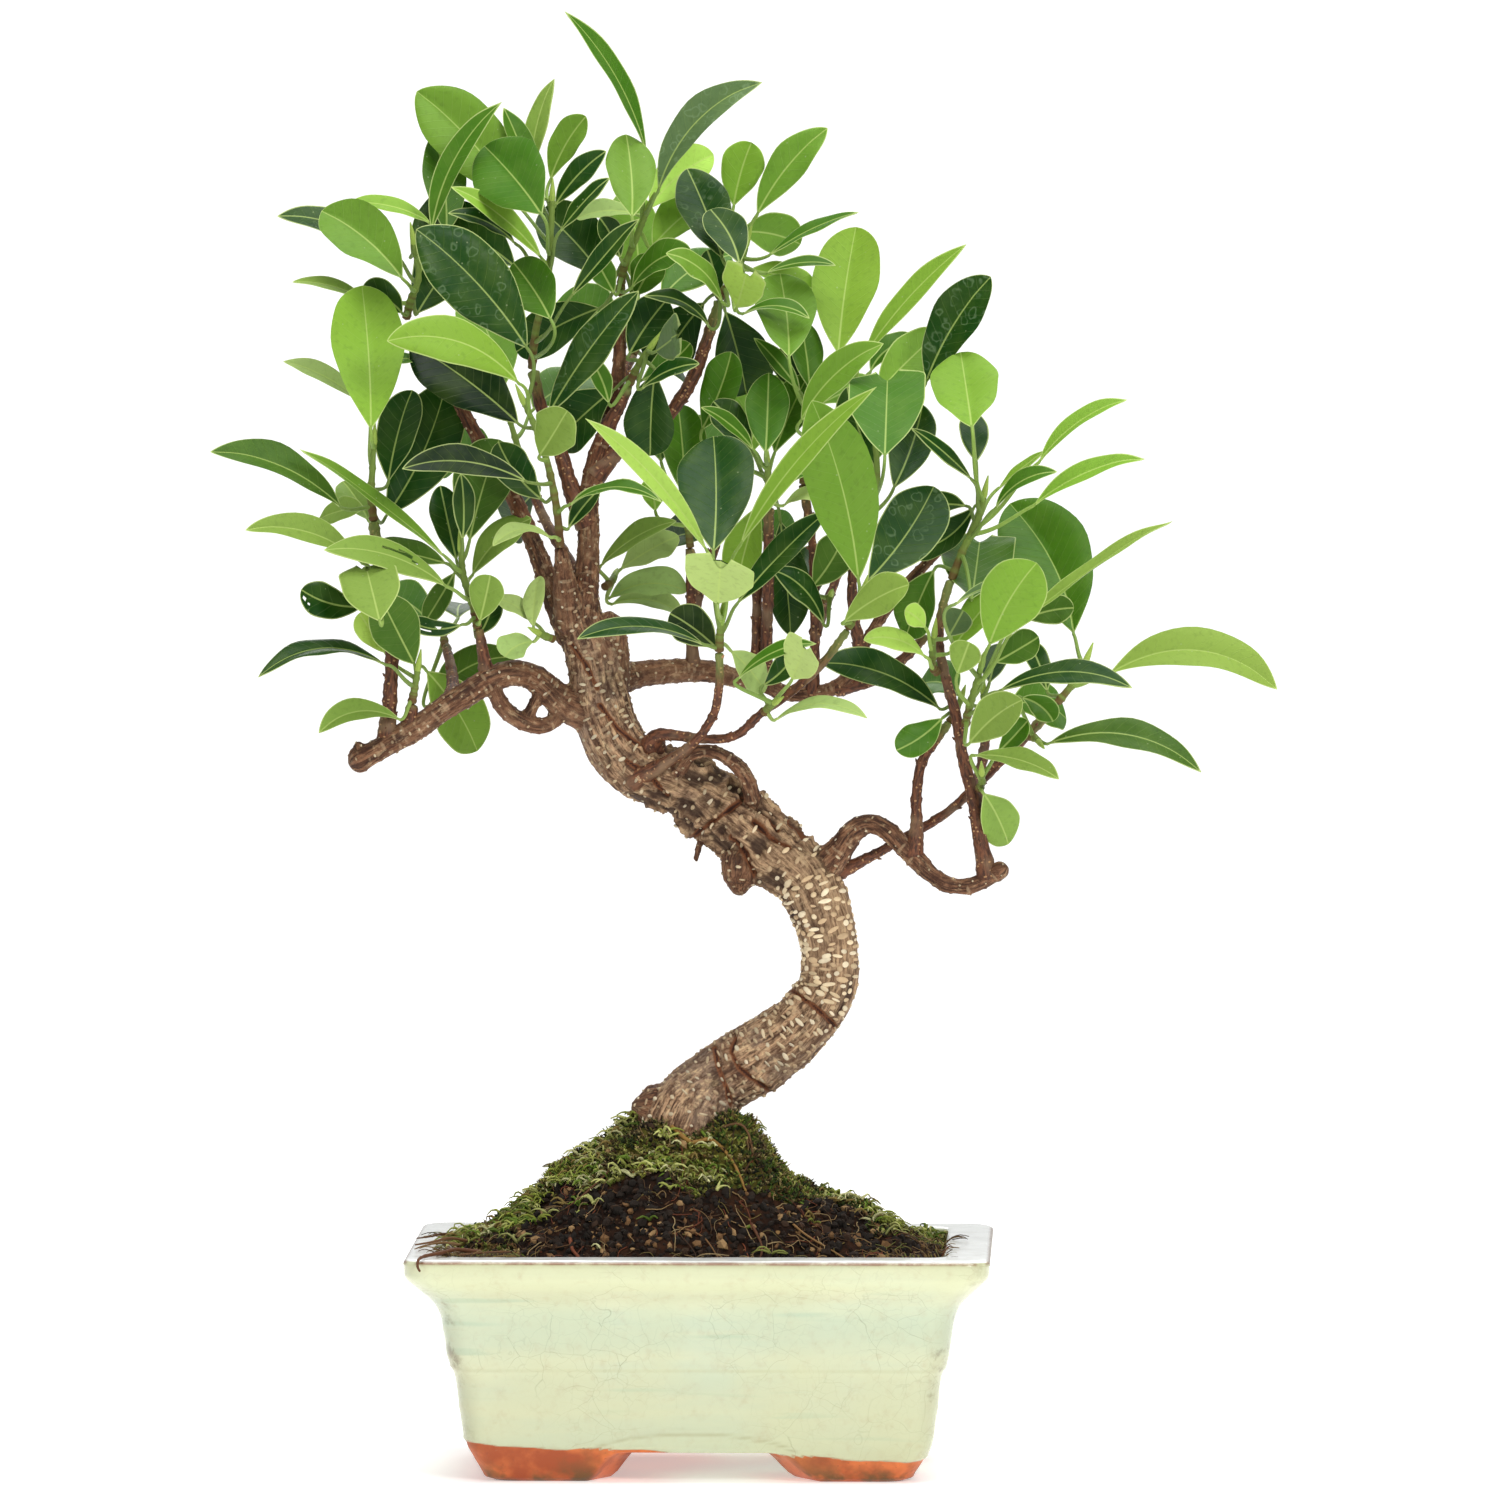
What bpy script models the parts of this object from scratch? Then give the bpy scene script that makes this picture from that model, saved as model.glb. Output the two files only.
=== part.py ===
"""Bonsai tree in a glazed pot: a fig with an S-shaped trunk, moss, soil and a footed pot.

All lengths are millimetres; each finished mesh is scaled to metres.
X runs along the pot's long side, Y runs front to back (the front is -Y), Z is up.
The tree is laid out as a front drawing: every place is (x, depth, z), where x and z are
read on the pot's middle plane and depth moves the place along the line of sight.
"""

import math

import bmesh
import bpy
from mathutils import Vector
from mathutils.bvhtree import BVHTree

MM = 0.001
GAP = 0.35                       # clearance between neighbouring pieces
CENTRE = Vector((17.2, 3.0, 0.0))     # middle of the whole plant, measured from the pot's middle

# Line of sight of the front drawing
SIGHT = Vector((143.0, -4773.0, 509.0))
RAISE = 1.4

# Pot, rounded rectangular in plan; the tree stands a little left of its middle
POT_X = 2.1
POT_HALF_LENGTH = 100.0
POT_HALF_DEPTH = 75.0
POT_HEIGHT = 78.5
POT_CORNER = 9.0
LIP_WIDTH = 16.0
SOLE_HALF_LENGTH = 71.5          # outside of the feet where they stand
FLOOR_UNDER = 9.0
FLOOR_TOP = 17.0
INSIDE_BOTTOM = 72.0             # half length of the inside at its floor
FOOT_WALL = 14.0
DRAIN_X = 38.0
DRAIN_RADIUS = 7.0

# Earth
SOIL_EDGE = 76.0
ROOT_X = -3.0
ROOT_Y = 0.0
ROOT_BOTTOM = 92.0

# Leaves
LEAF_THICKNESS = 0.9
PETIOLE_RADIUS = 0.85
STEM_SIDES = 5

COLOURS = {
    "glaze": ((0.74, 0.78, 0.53), 0.25),
    "plastic_mesh": ((0.03, 0.03, 0.03), 0.6),
    "earth": ((0.02, 0.012, 0.008), 0.95),
    "moss": ((0.12, 0.13, 0.03), 0.95),
    "bark": ((0.2, 0.12, 0.07), 0.85),
    "young": ((0.22, 0.42, 0.04), 0.4),
    "mid": ((0.1, 0.22, 0.03), 0.4),
    "dark": ((0.03, 0.08, 0.02), 0.3),
    "pale": ((0.18, 0.28, 0.1), 0.6),
}


def clear_scene():
    for thing in list(bpy.data.objects):
        bpy.data.objects.remove(thing, do_unlink=True)


def material(name):
    made = bpy.data.materials.get(name)
    if made:
        return made
    colour, roughness = COLOURS[name]
    made = bpy.data.materials.new(name)
    made.use_nodes = True
    shader = made.node_tree.nodes["Principled BSDF"]
    shader.inputs["Base Color"].default_value = (*colour, 1.0)
    shader.inputs["Roughness"].default_value = roughness
    return made


def add_object(name, bm, material_name, smooth=True):
    """Scale a mesh to metres, put its origin under the plant's middle and name it."""
    for vert in bm.verts:
        vert.co = (vert.co - CENTRE) * MM
    mesh = bpy.data.meshes.new(name)
    bm.to_mesh(mesh)
    bm.free()
    if smooth:
        mesh.shade_smooth()
        mesh.set_sharp_from_angle(angle=math.radians(40.0))
    mesh.materials.append(material(material_name))
    obj = bpy.data.objects.new(name, mesh)
    bpy.context.scene.collection.objects.link(obj)
    return obj


def place(x, depth, z):
    """A place of the front drawing, moved along the line of sight to its depth."""
    drawn = Vector((x, 0.0, z + RAISE))
    return SIGHT + (drawn - SIGHT) * (1.0 + depth / -SIGHT.y)


def cut(target, cutter, operation="DIFFERENCE"):
    """Apply one exact Boolean and drop the tool."""
    tool = target.modifiers.new("cut", "BOOLEAN")
    tool.operation = operation
    tool.solver = "EXACT"
    tool.object = cutter
    depsgraph = bpy.context.evaluated_depsgraph_get()
    result = bpy.data.meshes.new_from_object(target.evaluated_get(depsgraph))
    target.modifiers.clear()
    target.data = result
    bpy.data.objects.remove(cutter, do_unlink=True)


# ---------------------------------------------------------------- lofts and tubes

def bridge(bm, lower, upper):
    """Skin two rings that run the same way round."""
    count = len(lower)
    for k in range(count):
        nxt = (k + 1) % count
        bm.faces.new((lower[k], lower[nxt], upper[nxt], upper[k]))


def rounded_ring(half_x, half_y, corner, z, steps=3):
    """Rounded rectangle, anticlockwise seen from above."""
    points = []
    for quarter, (sx, sy) in enumerate(((1, 1), (-1, 1), (-1, -1), (1, -1))):
        centre_x = sx * (half_x - corner)
        centre_y = sy * (half_y - corner)
        for k in range(steps + 1):
            angle = math.radians(90.0 * quarter + 90.0 * k / steps)
            points.append(Vector((POT_X + centre_x + corner * math.cos(angle),
                                  centre_y + corner * math.sin(angle), z)))
    return points


def loft(bm, rings):
    """Closed solid through a list of rings of points."""
    made = [[bm.verts.new(point) for point in ring] for ring in rings]
    for lower, upper in zip(made, made[1:]):
        bridge(bm, lower, upper)
    bm.faces.new(list(reversed(made[0])))
    bm.faces.new(made[-1])


def smooth_path(points, steps):
    """Catmull-Rom curve through (point, radius) pairs."""
    path = []
    last = len(points) - 1
    for i in range(last):
        before = points[max(i - 1, 0)]
        here = points[i]
        there = points[i + 1]
        after = points[min(i + 2, last)]
        for k in range(steps):
            t = k / steps
            spot = 0.5 * (2.0 * here[0] + (there[0] - before[0]) * t
                          + (2.0 * before[0] - 5.0 * here[0] + 4.0 * there[0] - after[0]) * t * t
                          + (3.0 * here[0] - before[0] - 3.0 * there[0] + after[0]) * t ** 3)
            path.append((spot, here[1] + (there[1] - here[1]) * t))
    path.append(points[-1])
    return path


def frames_along(path):
    """Direction and two cross axes at each point, carried along without twist."""
    frames = []
    side = None
    for i in range(len(path)):
        ahead = path[min(i + 1, len(path) - 1)][0]
        behind = path[max(i - 1, 0)][0]
        direction = (ahead - behind).normalized()
        if side is None:
            guide = Vector((0.0, -1.0, 0.0))
            if abs(direction.dot(guide)) > 0.9:
                guide = Vector((1.0, 0.0, 0.0))
            side = guide
        side = (side - direction * side.dot(direction)).normalized()
        frames.append((direction, side, direction.cross(side)))
    return frames


def tube(bm, path, sides):
    """Closed round bar along (point, radius) pairs."""
    rings = []
    for (spot, radius), (_, side, up) in zip(path, frames_along(path)):
        ring = []
        for k in range(sides):
            angle = 2.0 * math.pi * k / sides
            ring.append(spot + (side * math.cos(angle) + up * math.sin(angle)) * radius)
        rings.append(ring)
    loft(bm, rings)


# ---------------------------------------------------------------- pot

def pot_profile():
    """Outer wall from the foot to the lip: (half length, height)."""
    return ((SOLE_HALF_LENGTH, 0.0), (74.0, 1.5), (76.3, 5.0), (78.4, 9.0), (80.4, 13.8), (82.2, 26.0),
            (83.4, 36.0), (85.0, 40.5), (86.2, 44.5), (87.0, 50.5), (88.2, 57.5), (90.6, 62.5),
            (94.8, 66.7), (98.8, 70.6), (100.0, 73.0), (100.0, 77.0))


def build_pot():
    bm = bmesh.new()
    inset = POT_HALF_LENGTH - POT_HALF_DEPTH
    rings = []
    for half, z in pot_profile():
        rings.append(rounded_ring(half, half - inset, POT_CORNER, z))
    inner = POT_HALF_LENGTH - LIP_WIDTH
    rings.append(rounded_ring(inner + 1.5, inner + 1.5 - inset, POT_CORNER - 2.0, POT_HEIGHT))
    rings.append(rounded_ring(inner, inner - inset, POT_CORNER - 3.0, POT_HEIGHT - 1.0))
    rings.append(rounded_ring(inner - 2.0, inner - 2.0 - inset, POT_CORNER - 3.0, 50.0))
    rings.append(rounded_ring(INSIDE_BOTTOM, INSIDE_BOTTOM - inset, POT_CORNER - 3.0, FLOOR_TOP))
    loft(bm, rings)
    pot = add_object("pot", bm, "glaze")

    recess = bmesh.new()
    sole = SOLE_HALF_LENGTH - FOOT_WALL
    loft(recess, [rounded_ring(sole, sole - inset, 5.0, -5.0),
                  rounded_ring(sole, sole - inset, 5.0, FLOOR_UNDER)])
    cut(pot, add_object("recess_cutter", recess, "glaze", smooth=False))
    cut(pot, arch_cutter(30.0, 20.0, along_y=True))
    cut(pot, arch_cutter(18.0, 11.0, along_y=False))
    for side in (-1, 1):
        drain = bmesh.new()
        centre = Vector((POT_X + side * DRAIN_X, 0.0, 0.0))
        path = [(centre + Vector((0.0, 0.0, z)), DRAIN_RADIUS) for z in (2.0, 30.0)]
        tube(drain, path, 12)
        cut(pot, add_object("drain_cutter", drain, "glaze", smooth=False))
    pot.data.shade_smooth()
    pot.data.set_sharp_from_angle(angle=math.radians(40.0))
    return pot


def arch_cutter(foot_half, crown_half, along_y):
    """Bar with a low arch outline that parts the feet."""
    crown = 10.5
    outline = [(-foot_half - 6.0, -5.0), (foot_half + 6.0, -5.0), (foot_half + 1.0, 0.0)]
    for k in range(1, 5):
        t = k / 4.0
        x = foot_half + (crown_half - foot_half) * t
        outline.append((x, crown * math.sin(0.5 * math.pi * t)))
    outline += [(-x, z) for x, z in reversed(outline[2:])]
    reach = POT_HALF_LENGTH + 10.0
    rings = []
    for end in (-reach, reach):
        ring = []
        for across, z in outline:
            spot = Vector((POT_X + across, -end, z)) if along_y else Vector((end, across, z))
            ring.append(spot)
        rings.append(ring)
    bm = bmesh.new()
    loft(bm, rings)
    return add_object("arch_cutter", bm, "glaze", smooth=False)


def build_drain_screens():
    """Plastic netting squares over the two drain holes, each with a coarse hole pattern."""
    for name, side in (("drain_screen_left", -1), ("drain_screen_right", 1)):
        bm = bmesh.new()
        half = 11.0
        low = FLOOR_TOP + GAP
        loft(bm, [square_ring(side * DRAIN_X, 0.0, half, low),
                  square_ring(side * DRAIN_X, 0.0, half, low + 1.2)])
        screen = add_object(name, bm, "plastic_mesh", smooth=False)
        holes = bmesh.new()
        for across in (-5.5, 0.0, 5.5):
            for along in (-5.5, 0.0, 5.5):
                centre_x = side * DRAIN_X + across
                loft(holes, [square_ring(centre_x, along, 1.9, low - 1.0),
                             square_ring(centre_x, along, 1.9, low + 3.0)])
        cut(screen, add_object("hole_cutter", holes, "plastic_mesh", smooth=False))


def square_ring(x, y, half, z):
    corners = ((-1, -1), (1, -1), (1, 1), (-1, 1))
    return [Vector((POT_X + x + sx * half, y + sy * half, z)) for sx, sy in corners]


# ---------------------------------------------------------------- earth and moss

# Heaped earth seen from the side: share of the way to the pot's edge, height
MOUND = ((0.0, 117.0), (0.24, 115.5), (0.42, 104.0), (0.62, 93.0), (0.82, 83.0), (1.0, 74.5))


def mound_height(x, y):
    """Height of the heaped earth: a flat crown under the tree, falling to the pot's edge."""
    across = x / 82.0 if x > 0.0 else x / 88.0
    share = min(math.hypot(across, y / 58.0), 1.0)
    height = MOUND[-1][1]
    for (near, high), (far, low) in zip(MOUND, MOUND[1:]):
        if near <= share <= far:
            height = high + (low - high) * (share - near) / (far - near)
            break
    return height + 0.8 * math.sin(0.13 * x + 1.0) * math.cos(0.17 * y)


def build_soil():
    """Earth that fills the pot, with a socket for the root butt."""
    inset = POT_HALF_LENGTH - POT_HALF_DEPTH
    inner = POT_HALF_LENGTH - LIP_WIDTH
    screen_room = 2.2
    bottom = INSIDE_BOTTOM - 0.5 - GAP
    waist = inner - 2.0 - GAP
    brim = inner - 0.4 - GAP
    corner = 5.5
    rings = [rounded_ring(bottom, bottom - inset, corner, FLOOR_TOP + GAP + screen_room),
             rounded_ring(waist, waist - inset, corner, 50.0),
             rounded_ring(brim, brim - inset, corner, SOIL_EDGE - 3.0)]
    for share in (0.93, 0.8, 0.64, 0.48, 0.34, 0.2):
        edge = rounded_ring(brim, brim - inset, corner, 0.0)
        ring = []
        for point in edge:
            x = POT_X + (point.x - POT_X) * share
            y = point.y * share
            ring.append(Vector((x, y, mound_height(x, y))))
        rings.append(ring)
    bm = bmesh.new()
    loft(bm, rings)
    bmesh.ops.triangulate(bm, faces=bm.faces[:])
    soil = add_object("soil_mound", bm, "earth")
    socket = bmesh.new()
    clear_butt = [(point, radius + 1.5 * GAP) for point, radius in root_butt(GAP)]
    tube(socket, smooth_path(clear_butt + drawn(TRUNK[:3], 1.5 * GAP), 2), TRUNK_SIDES)
    cut(soil, add_object("socket_cutter", socket, "earth", smooth=False))


def root_butt(extra=0.0):
    """Buried foot of the trunk, a cone that widens upwards."""
    base = Vector((ROOT_X, ROOT_Y, 0.0))
    return [(base + Vector((0.0, 0.0, ROOT_BOTTOM - extra)), 9.0),
            (base + Vector((0.0, 0.0, 104.0)), 14.5),
            (base + Vector((0.0, 0.0, 122.0)), 17.5)]


MOSS = {
    # name: middle (x, y), half sizes, thickness
    "moss_front_left": ((-36.0, -24.0), (17.0, 14.0), 4.5),
    "moss_front_right": ((32.0, -20.0), (16.0, 14.0), 4.0),
    "moss_left": ((-60.0, 9.0), (14.0, 17.0), 3.5),
    "moss_right": ((53.0, 8.0), (17.0, 20.0), 3.5),
    "moss_back": ((-4.0, 34.0), (34.0, 13.0), 4.0),
}


def build_moss():
    """Cushions that follow the heaped earth a hair above it."""
    spokes = 12
    for name, (middle, half, thickness) in MOSS.items():
        bm = bmesh.new()
        layers = []
        for lift, shares in ((0.0, (1.0, 0.66, 0.33)), (1.0, (0.33, 0.66, 1.0))):
            for share in shares:
                ring = []
                for k in range(spokes):
                    angle = 2.0 * math.pi * k / spokes
                    wobble = 1.0 + 0.1 * math.sin(3.0 * angle + middle[0])
                    x = middle[0] + half[0] * share * wobble * math.cos(angle)
                    y = middle[1] + half[1] * share * wobble * math.sin(angle)
                    rise = thickness * (1.0 - share ** 3) + 0.8
                    ring.append(Vector((x, y, mound_height(x, y) + 1.6 + lift * rise)))
                layers.append(ring)
        inner_first = [layers[2], layers[1], layers[0], layers[5], layers[4], layers[3]]
        loft(bm, inner_first)
        bmesh.ops.triangulate(bm, faces=bm.faces[:])
        add_object(name, bm, "moss")


# ---------------------------------------------------------------- wood

TRUNK_SIDES = 10

TRUNK = (
    # x, depth, z, radius
    (6.5, 0.0, 131.5, 12.5), (22.0, -2.0, 141.5, 12.0), (35.5, -4.0, 151.5, 11.0),
    (44.5, -5.0, 164.0, 10.5), (46.0, -5.0, 176.5, 10.2), (43.5, -4.0, 189.0, 10.6),
    (37.5, -2.0, 202.5, 11.6), (27.5, 0.0, 211.0, 13.0), (17.0, 1.0, 219.5, 13.0),
    (6.5, 1.0, 227.5, 12.2), (-5.0, 0.0, 234.5, 11.2), (-19.0, -1.0, 240.0, 10.8),
    (-28.0, -1.0, 250.0, 10.4), (-33.0, 0.0, 262.5, 9.8), (-36.0, 0.0, 279.5, 9.2),
    (-40.0, 0.0, 292.0, 7.6), (-39.0, 0.0, 303.0, 5.5),
)

WOOD = {
    # name: list of (x, depth, z, radius), each starting inside the wood it grows from
    "old_stump": ((2.0, 0.0, 118.0, 13.0), (-9.0, -1.0, 121.5, 11.0), (-18.0, -2.0, 123.0, 8.0)),
    "second_stump": ((-31.0, 4.0, 262.0, 8.0), (-30.0, 3.0, 280.0, 7.0), (-29.5, 2.0, 292.5, 5.0)),
    "left_stem": ((-42.0, 1.0, 286.0, 6.5), (-49.0, 2.0, 300.0, 4.4), (-56.0, 4.0, 318.0, 3.3),
                  (-64.0, 6.0, 336.0, 2.8), (-74.0, 8.0, 352.0, 2.5), (-82.0, 9.0, 367.0, 2.3),
                  (-90.0, 9.0, 381.0, 2.1), (-99.0, 8.0, 393.0, 1.9)),
    "core_twig": ((-43.0, -2.0, 290.0, 6.0), (-45.0, -8.0, 303.0, 4.2), (-46.5, -14.0, 316.0, 2.4)),
    "main_stem": ((-39.0, 0.0, 296.0, 6.0), (-37.0, 2.0, 316.0, 3.8), (-37.0, 3.0, 334.0, 3.6),
                  (-34.0, 5.0, 348.0, 3.2), (-30.0, 8.0, 360.0, 2.7), (-27.0, 10.0, 374.0, 2.5),
                  (-26.0, 12.0, 390.0, 2.3), (-26.0, 13.0, 402.0, 1.9)),
    "left_fork": ((-37.5, 2.0, 324.0, 3.2), (-43.0, 4.0, 337.0, 2.9), (-47.0, 7.0, 350.0, 2.5),
                  (-53.0, 9.0, 364.0, 2.2), (-56.0, 9.0, 377.0, 2.0)),
    "right_fork": ((-35.5, 4.0, 341.0, 3.2), (-27.0, 7.0, 350.0, 2.9), (-17.0, 10.0, 355.0, 2.5),
                   (-8.0, 12.0, 364.0, 2.3), (-1.0, 14.0, 375.0, 2.3), (3.0, 15.0, 386.0, 2.1),
                   (8.0, 15.0, 401.0, 1.7)),
    "mid_twig": ((-31.0, 7.0, 357.0, 2.3), (-26.0, 0.0, 366.0, 2.0), (-23.5, -4.0, 372.0, 1.7)),
    "under_knob": ((18.0, -2.0, 214.0, 9.0), (15.5, -4.0, 205.5, 7.0), (15.0, -5.0, 200.0, 4.2),
                   (15.6, -6.0, 197.0, 1.6)),
    "under_peg": ((5.0, -2.0, 224.0, 2.0), (2.0, -3.0, 217.0, 1.3), (-0.2, -3.0, 208.5, 1.1)),
    "left_branch": ((-36.0, -1.0, 258.0, 7.0), (-47.0, -4.0, 264.0, 5.8), (-55.0, -7.0, 271.0, 4.8),
                    (-62.0, -9.0, 273.5, 4.3), (-70.0, -10.0, 271.5, 4.2), (-79.0, -12.0, 266.0, 4.3),
                    (-87.0, -14.0, 261.0, 4.3), (-95.0, -16.0, 255.0, 4.2), (-103.0, -18.0, 250.5, 4.0),
                    (-110.0, -20.0, 246.5, 3.9), (-117.5, -21.0, 242.5, 4.2)),
    "left_stub": ((-114.0, -20.5, 244.0, 2.6), (-117.0, -22.0, 249.0, 1.6)),
    "branch_loop": ((-71.0, -10.0, 270.0, 3.2), (-66.5, -9.0, 261.5, 3.0), (-60.0, -8.0, 256.5, 2.9),
                    (-53.5, -7.0, 255.0, 2.8), (-48.5, -5.0, 257.5, 2.7), (-46.0, -4.0, 264.0, 2.8)),
    "loop_link": ((-58.5, -7.5, 257.0, 2.2), (-54.0, -8.0, 266.5, 2.0)),
    "left_upright": ((-107.0, -19.0, 249.0, 2.7), (-105.5, -17.0, 265.0, 2.5), (-105.0, -15.0, 282.0, 2.3),
                     (-107.0, -13.0, 300.0, 2.1), (-110.0, -12.0, 316.0, 2.1), (-111.0, -11.0, 325.0, 1.8)),
    "low_upright": ((-99.0, -17.0, 254.0, 2.2), (-98.0, -18.0, 262.0, 1.9)),
    "branch_upright": ((-72.0, -10.0, 272.0, 2.2), (-73.5, -11.0, 281.0, 1.9), (-75.0, -12.0, 288.0, 1.6)),
    "trunk_loop": ((-7.0, -8.0, 238.0, 3.2), (-3.0, -11.0, 244.5, 2.6), (4.0, -12.0, 246.5, 2.5),
                   (11.0, -12.0, 244.0, 2.5), (17.0, -11.0, 238.0, 2.6), (20.0, -9.0, 229.0, 3.0)),
    "right_branch": ((42.0, -3.0, 204.0, 7.0), (50.0, -6.0, 213.0, 4.8), (54.5, -8.0, 219.0, 4.0),
                     (60.0, -10.0, 221.5, 3.3), (66.0, -12.0, 219.0, 3.3), (70.5, -13.0, 214.5, 3.2),
                     (76.0, -14.0, 209.0, 3.3), (81.0, -16.0, 204.0, 2.9), (87.0, -17.0, 200.5, 2.6),
                     (94.0, -18.0, 200.0, 2.7), (100.0, -19.0, 202.5, 3.0), (106.0, -22.0, 206.0, 2.3)),
    "inner_upright": ((75.0, -14.0, 210.0, 2.8), (76.0, -13.0, 221.0, 2.1), (76.0, -12.0, 232.0, 1.9),
                      (78.0, -11.0, 243.0, 1.8), (83.0, -10.0, 251.0, 1.7), (87.0, -9.0, 256.0, 1.5)),
    "right_upright": ((100.5, -20.0, 203.0, 2.8), (98.0, -20.0, 216.0, 2.5), (95.5, -20.0, 231.0, 2.4),
                      (92.0, -20.0, 244.0, 2.1), (90.0, -19.0, 257.0, 1.9), (87.0, -18.0, 268.0, 1.8),
                      (84.0, -16.0, 281.0, 1.7), (84.0, -14.0, 292.0, 1.6), (87.5, -12.0, 305.0, 1.4)),
    "long_twig": ((48.0, -2.0, 204.0, 2.4), (60.0, -3.0, 210.0, 1.8), (70.0, -4.0, 215.5, 1.7),
                  (78.0, -5.0, 220.0, 1.7), (88.0, -6.0, 226.5, 1.6), (98.0, -7.0, 236.0, 1.6),
                  (108.0, -9.0, 246.0, 1.7), (116.0, -10.0, 254.0, 1.7), (124.0, -11.0, 262.5, 1.6)),
    "back_branch": ((-30.0, 4.0, 270.0, 6.0), (-20.0, 14.0, 273.0, 4.6), (-8.0, 21.0, 274.0, 4.2),
                    (4.0, 25.0, 274.0, 3.8), (12.0, 27.0, 272.0, 3.4), (22.0, 28.0, 270.0, 3.1),
                    (31.0, 28.0, 266.5, 2.9), (41.0, 27.0, 266.5, 2.8), (49.0, 25.0, 269.0, 2.6),
                    (55.0, 23.0, 276.0, 2.3), (59.0, 20.0, 285.0, 2.1), (70.0, 17.0, 301.0, 2.0),
                    (85.0, 12.0, 317.0, 1.7)),
    "back_prong": ((48.0, 25.0, 268.0, 2.4), (61.0, 27.0, 271.0, 2.0), (71.0, 28.0, 278.0, 1.8),
                   (79.0, 28.0, 286.0, 1.6)),
    "left_riser": ((-1.0, 23.0, 274.0, 2.2), (-1.5, 20.0, 290.0, 1.9), (-2.0, 18.0, 316.0, 1.6)),
    "mid_riser": ((24.0, 28.0, 269.0, 2.3), (24.5, 22.0, 290.0, 2.0), (25.0, 14.0, 310.0, 1.9),
                  (25.0, 8.0, 330.0, 1.7)),
    "twin_riser": ((20.0, 28.0, 270.0, 2.0), (21.0, 26.0, 290.0, 1.8), (21.0, 22.0, 316.0, 1.6)),
    "right_riser": ((40.0, 27.0, 266.0, 2.1), (41.0, 22.0, 284.0, 1.8), (41.0, 18.0, 300.0, 1.7),
                    (40.0, 14.0, 318.0, 1.6), (37.0, 10.0, 338.0, 1.5)),
    "dark_riser": ((57.0, 21.0, 281.0, 2.1), (54.0, 12.0, 296.0, 1.8), (54.0, 4.0, 314.0, 1.6)),
    "front_twig": ((-15.0, -6.0, 247.0, 4.0), (-12.0, -14.0, 252.0, 2.0), (4.0, -20.0, 250.5, 1.6),
                   (14.0, -25.0, 252.0, 1.6), (22.0, -30.0, 259.0, 1.5), (31.0, -35.0, 265.5, 1.5),
                   (40.0, -40.0, 273.0, 1.5), (47.0, -43.0, 281.0, 1.4), (52.0, -44.0, 288.0, 1.3)),
    "heart_twig": ((-22.0, -8.0, 236.0, 3.2), (-8.0, -18.0, 244.0, 2.0), (0.0, -26.0, 250.0, 1.6),
                   (6.0, -32.0, 259.0, 1.5), (8.0, -36.0, 269.0, 1.5), (8.0, -38.0, 280.0, 1.4)),
    "rear_left": ((-38.0, 2.0, 300.0, 3.2), (-44.0, 16.0, 312.0, 2.2), (-52.0, 34.0, 326.0, 1.8),
                  (-58.0, 48.0, 340.0, 1.5)),
    "rear_high": ((-29.0, 9.0, 366.0, 2.2), (-26.0, 24.0, 374.0, 1.8), (-22.0, 40.0, 382.0, 1.5)),
    "rear_mid": ((-1.5, 20.0, 289.0, 1.9), (2.0, 34.0, 304.0, 1.7), (8.0, 50.0, 320.0, 1.5)),
    "rear_right": ((41.0, 21.0, 287.0, 1.8), (46.0, 36.0, 300.0, 1.6), (52.0, 52.0, 316.0, 1.4)),
    "rear_low": ((-84.0, -13.0, 263.0, 3.0), (-84.0, 4.0, 272.0, 2.0), (-86.0, 22.0, 282.0, 1.6)),
    "rear_far": ((96.0, -20.0, 229.0, 2.2), (98.0, -4.0, 240.0, 1.8), (100.0, 14.0, 252.0, 1.5)),
}


def drawn(points, extra=0.0):
    """Points of the front drawing as (place, radius) pairs."""
    return [(place(x, depth, z), radius + extra) for x, depth, z, radius in points]


def build_tree():
    """Trunk, stumps, branches and woody twigs, grown together into one piece."""
    bm = bmesh.new()
    trunk = root_butt() + drawn(TRUNK)
    tube(bm, smooth_path(trunk, 2), TRUNK_SIDES)
    tree = add_object("tree", bm, "bark")
    for points in WOOD.values():
        limb = bmesh.new()
        tube(limb, drawn(points), 6 if points[0][3] > 3.9 else 5)
        cut(tree, add_object("limb", limb, "bark"), "UNION")
    return tree


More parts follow.
